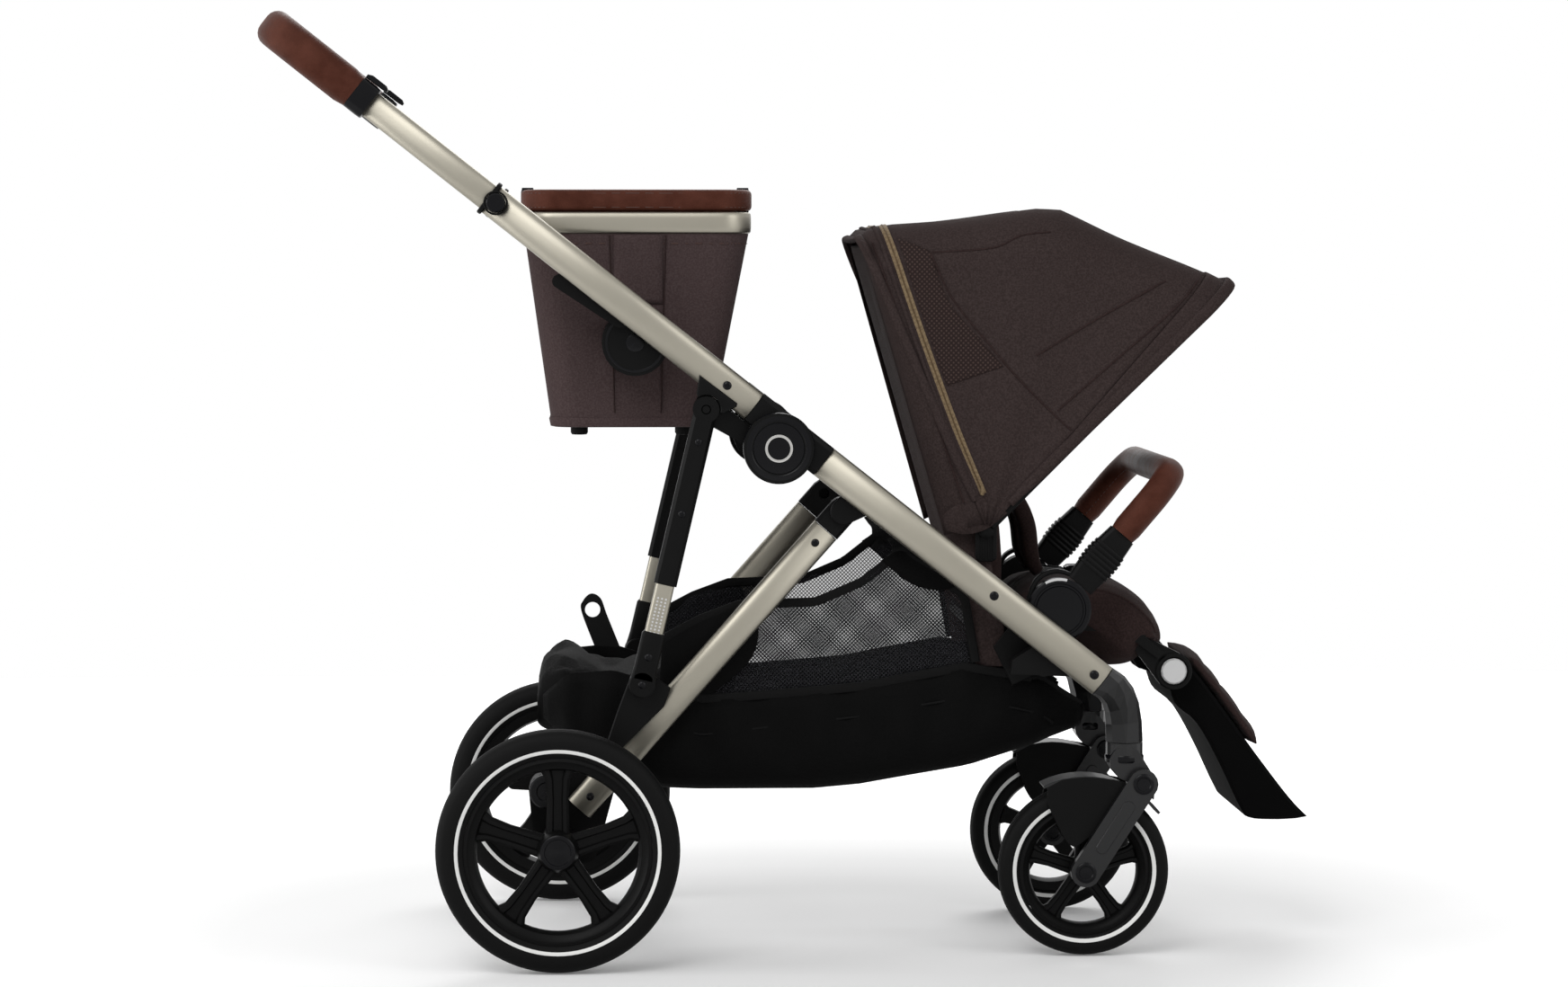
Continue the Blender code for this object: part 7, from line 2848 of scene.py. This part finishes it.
@dataclass
class Studio:
    """The camera, the lamps and the white floor.

    Attributes:
        camera: Where the camera stands.
        yaw: How far it turns from +Y towards +X.
        pitch: How far it looks down.
        lens: Its focal length in mm, on a 36 mm sensor.
    """

    camera: Point = (-0.2555, -5.52, 0.8497)
    yaw: float = math.radians(2.64)
    pitch: float = math.radians(3.09)
    lens: float = 101.77

    def build(self) -> None:
        """Sets the stage up."""
        scene = bpy.context.scene
        scene.view_settings.view_transform = "Standard"
        data = bpy.data.cameras.new("camera")
        data.lens = self.lens
        data.sensor_width = 36.0
        camera = bpy.data.objects.new("camera", data)
        scene.collection.objects.link(camera)
        camera.location = self.camera
        ahead = Vector(
            (
                math.sin(self.yaw) * math.cos(self.pitch), math.cos(self.yaw) * math.cos(self.pitch),
                -math.sin(self.pitch)
            )
        )
        camera.rotation_euler = ahead.to_track_quat("-Z", "Y").to_euler()
        scene.camera = camera
        self.world(scene)
        self.lamp("key", (-1.6, -3.4, 3.6), 2.6, 105.0)
        self.lamp("fill", (2.8, -2.8, 2.0), 2.2, 42.0)
        self.lamp("rim", (0.4, 2.8, 2.8), 2.4, 55.0)
        self.lamp("rear", (-4.2, -1.2, 1.5), 2.4, 85.0)
        self.floor()

    def world(self, scene: bpy.types.Scene) -> None:
        """Lights the scene evenly and shows white to the camera and in reflections."""
        world = bpy.data.worlds.new("studio")
        scene.world = world
        world.use_nodes = True
        tree = world.node_tree
        tree.nodes.clear()
        seen = self.seen_rays(tree)
        soft = add_node(tree, "ShaderNodeBackground", {"Color": (1.0, 1.0, 1.0, 1.0), "Strength": 0.34})
        white = add_node(tree, "ShaderNodeBackground", {"Color": (1.0, 1.0, 1.0, 1.0), "Strength": 1.0})
        mix = add_node(tree, "ShaderNodeMixShader", links={0: seen, 1: soft.outputs[0], 2: white.outputs[0]})
        add_node(tree, "ShaderNodeOutputWorld", links={"Surface": mix.outputs[0]})

    def seen_rays(self, tree: bpy.types.NodeTree) -> bpy.types.NodeSocket:
        """Gives 1 for the rays that show the background: seen, mirrored or through glass."""
        path = add_node(tree, "ShaderNodeLightPath")
        rays = [path.outputs[f"Is {name} Ray"] for name in ("Camera", "Glossy", "Transmission")]
        first = add_node(tree, "ShaderNodeMath", links={0: rays[0], 1: rays[1]}, operation="MAXIMUM")
        both = add_node(tree, "ShaderNodeMath", links={0: first.outputs[0], 1: rays[2]}, operation="MAXIMUM")
        return both.outputs[0]

    def lamp(self, name: str, place: Point, size: float, power: float) -> None:
        """Adds a soft lamp that faces the object.

        Args:
            name: The lamp's name.
            place: Where it hangs.
            size: Its edge length.
            power: Its power in watts.
        """
        data = bpy.data.lights.new(name, "AREA")
        data.size = size
        data.energy = power
        lamp = bpy.data.objects.new(name, data)
        bpy.context.scene.collection.objects.link(lamp)
        lamp.location = place
        lamp.rotation_euler = (Vector((0.0, 0.0, 0.5)) - Vector(place)).to_track_quat("-Z", "Y").to_euler()

    def floor(self) -> None:
        """Lays the white floor, which keeps the object's shadow."""
        bm = bmesh.new()
        bmesh.ops.create_grid(bm, x_segments=1, y_segments=1, size=3.4)
        mesh = bpy.data.meshes.new("floor")
        bm.to_mesh(mesh)
        bm.free()
        made = bpy.data.materials.new("painted_floor")
        made.use_nodes = True
        tree = made.node_tree
        shader = tree.nodes["Principled BSDF"]
        shader.inputs["Base Color"].default_value = (0.80, 0.80, 0.80, 1.0)
        shader.inputs["Roughness"].default_value = 0.6
        shader.inputs["Emission Color"].default_value = (1.0, 1.0, 1.0, 1.0)
        place = add_node(tree, "ShaderNodeTexCoord").outputs["Object"]
        away = add_node(tree, "ShaderNodeVectorMath", links={0: place}, operation="LENGTH")
        glow = add_node(
            tree,
            "ShaderNodeMapRange",
            {"From Min": 0.7, "From Max": 2.1, "To Min": 0.12, "To Max": 0.70},
            {"Value": away.outputs["Value"]},
        )
        lift = add_node(
            tree, "ShaderNodeMath", links={0: self.seen_rays(tree), 1: glow.outputs[0]},
            operation="MULTIPLY"
        )
        tree.links.new(lift.outputs[0], shader.inputs["Emission Strength"])
        mesh.materials.append(made)
        floor = bpy.data.objects.new("floor", mesh)
        bpy.context.scene.collection.objects.link(floor)
        floor.location = (0.0, 0.0, -0.0005)


def wheels() -> list[Wheel]:
    """Gives the four wheels."""
    made = []
    for side in Side:
        made.append(
            Wheel(
                "rear", side, -0.2826, 0.300, 0.145, 0.045, 0.112, 0.096, (0.1180, 0.1222), 0.0205, 0.021,
                0.0088
            )
        )
        made.append(
            Wheel(
                "front", side, 0.3535, 0.190, 0.104, 0.040, 0.079, 0.065, (0.0826, 0.0872), 0.0150, 0.015,
                0.0088
            )
        )
    return made


def main() -> None:
    """Dresses the frame, sub-assembly by sub-assembly."""
    logging.basicConfig(level=logging.INFO, format="%(message)s")
    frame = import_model()
    nodes = frame["nodes"]
    Studio().build()
    for wheel in wheels():
        wheel.build()
    for side in Side:
        FrameSide(side, nodes).build()
        Caster(side, nodes).build()
    RearAxle(nodes).build()
    origin = LINE.at(0.0)
    LeatherBow(
        "handle_grip_wrap", "handle_grip", "handle", origin, math.pi - LINE.tilt, 0.6563, 0.123, 0.055,
        0.235, 0.046, 0.034
    ).build()
    LeatherBow(
        "bumper_grip_wrap", "bumper_grip", "bumper_bar", (0.321, 0.422), math.radians(49.5), 0.1184, 0.096,
        0.045, 0.2075, 0.035, 0.033
    ).build()
    SeatHubs(nodes).build()
    LegRest().build()
    SeatPads().build()
    Canopy().build()
    BoxBag().build()
    ShoppingBasket().build()


if __name__ == "__main__":
    main()
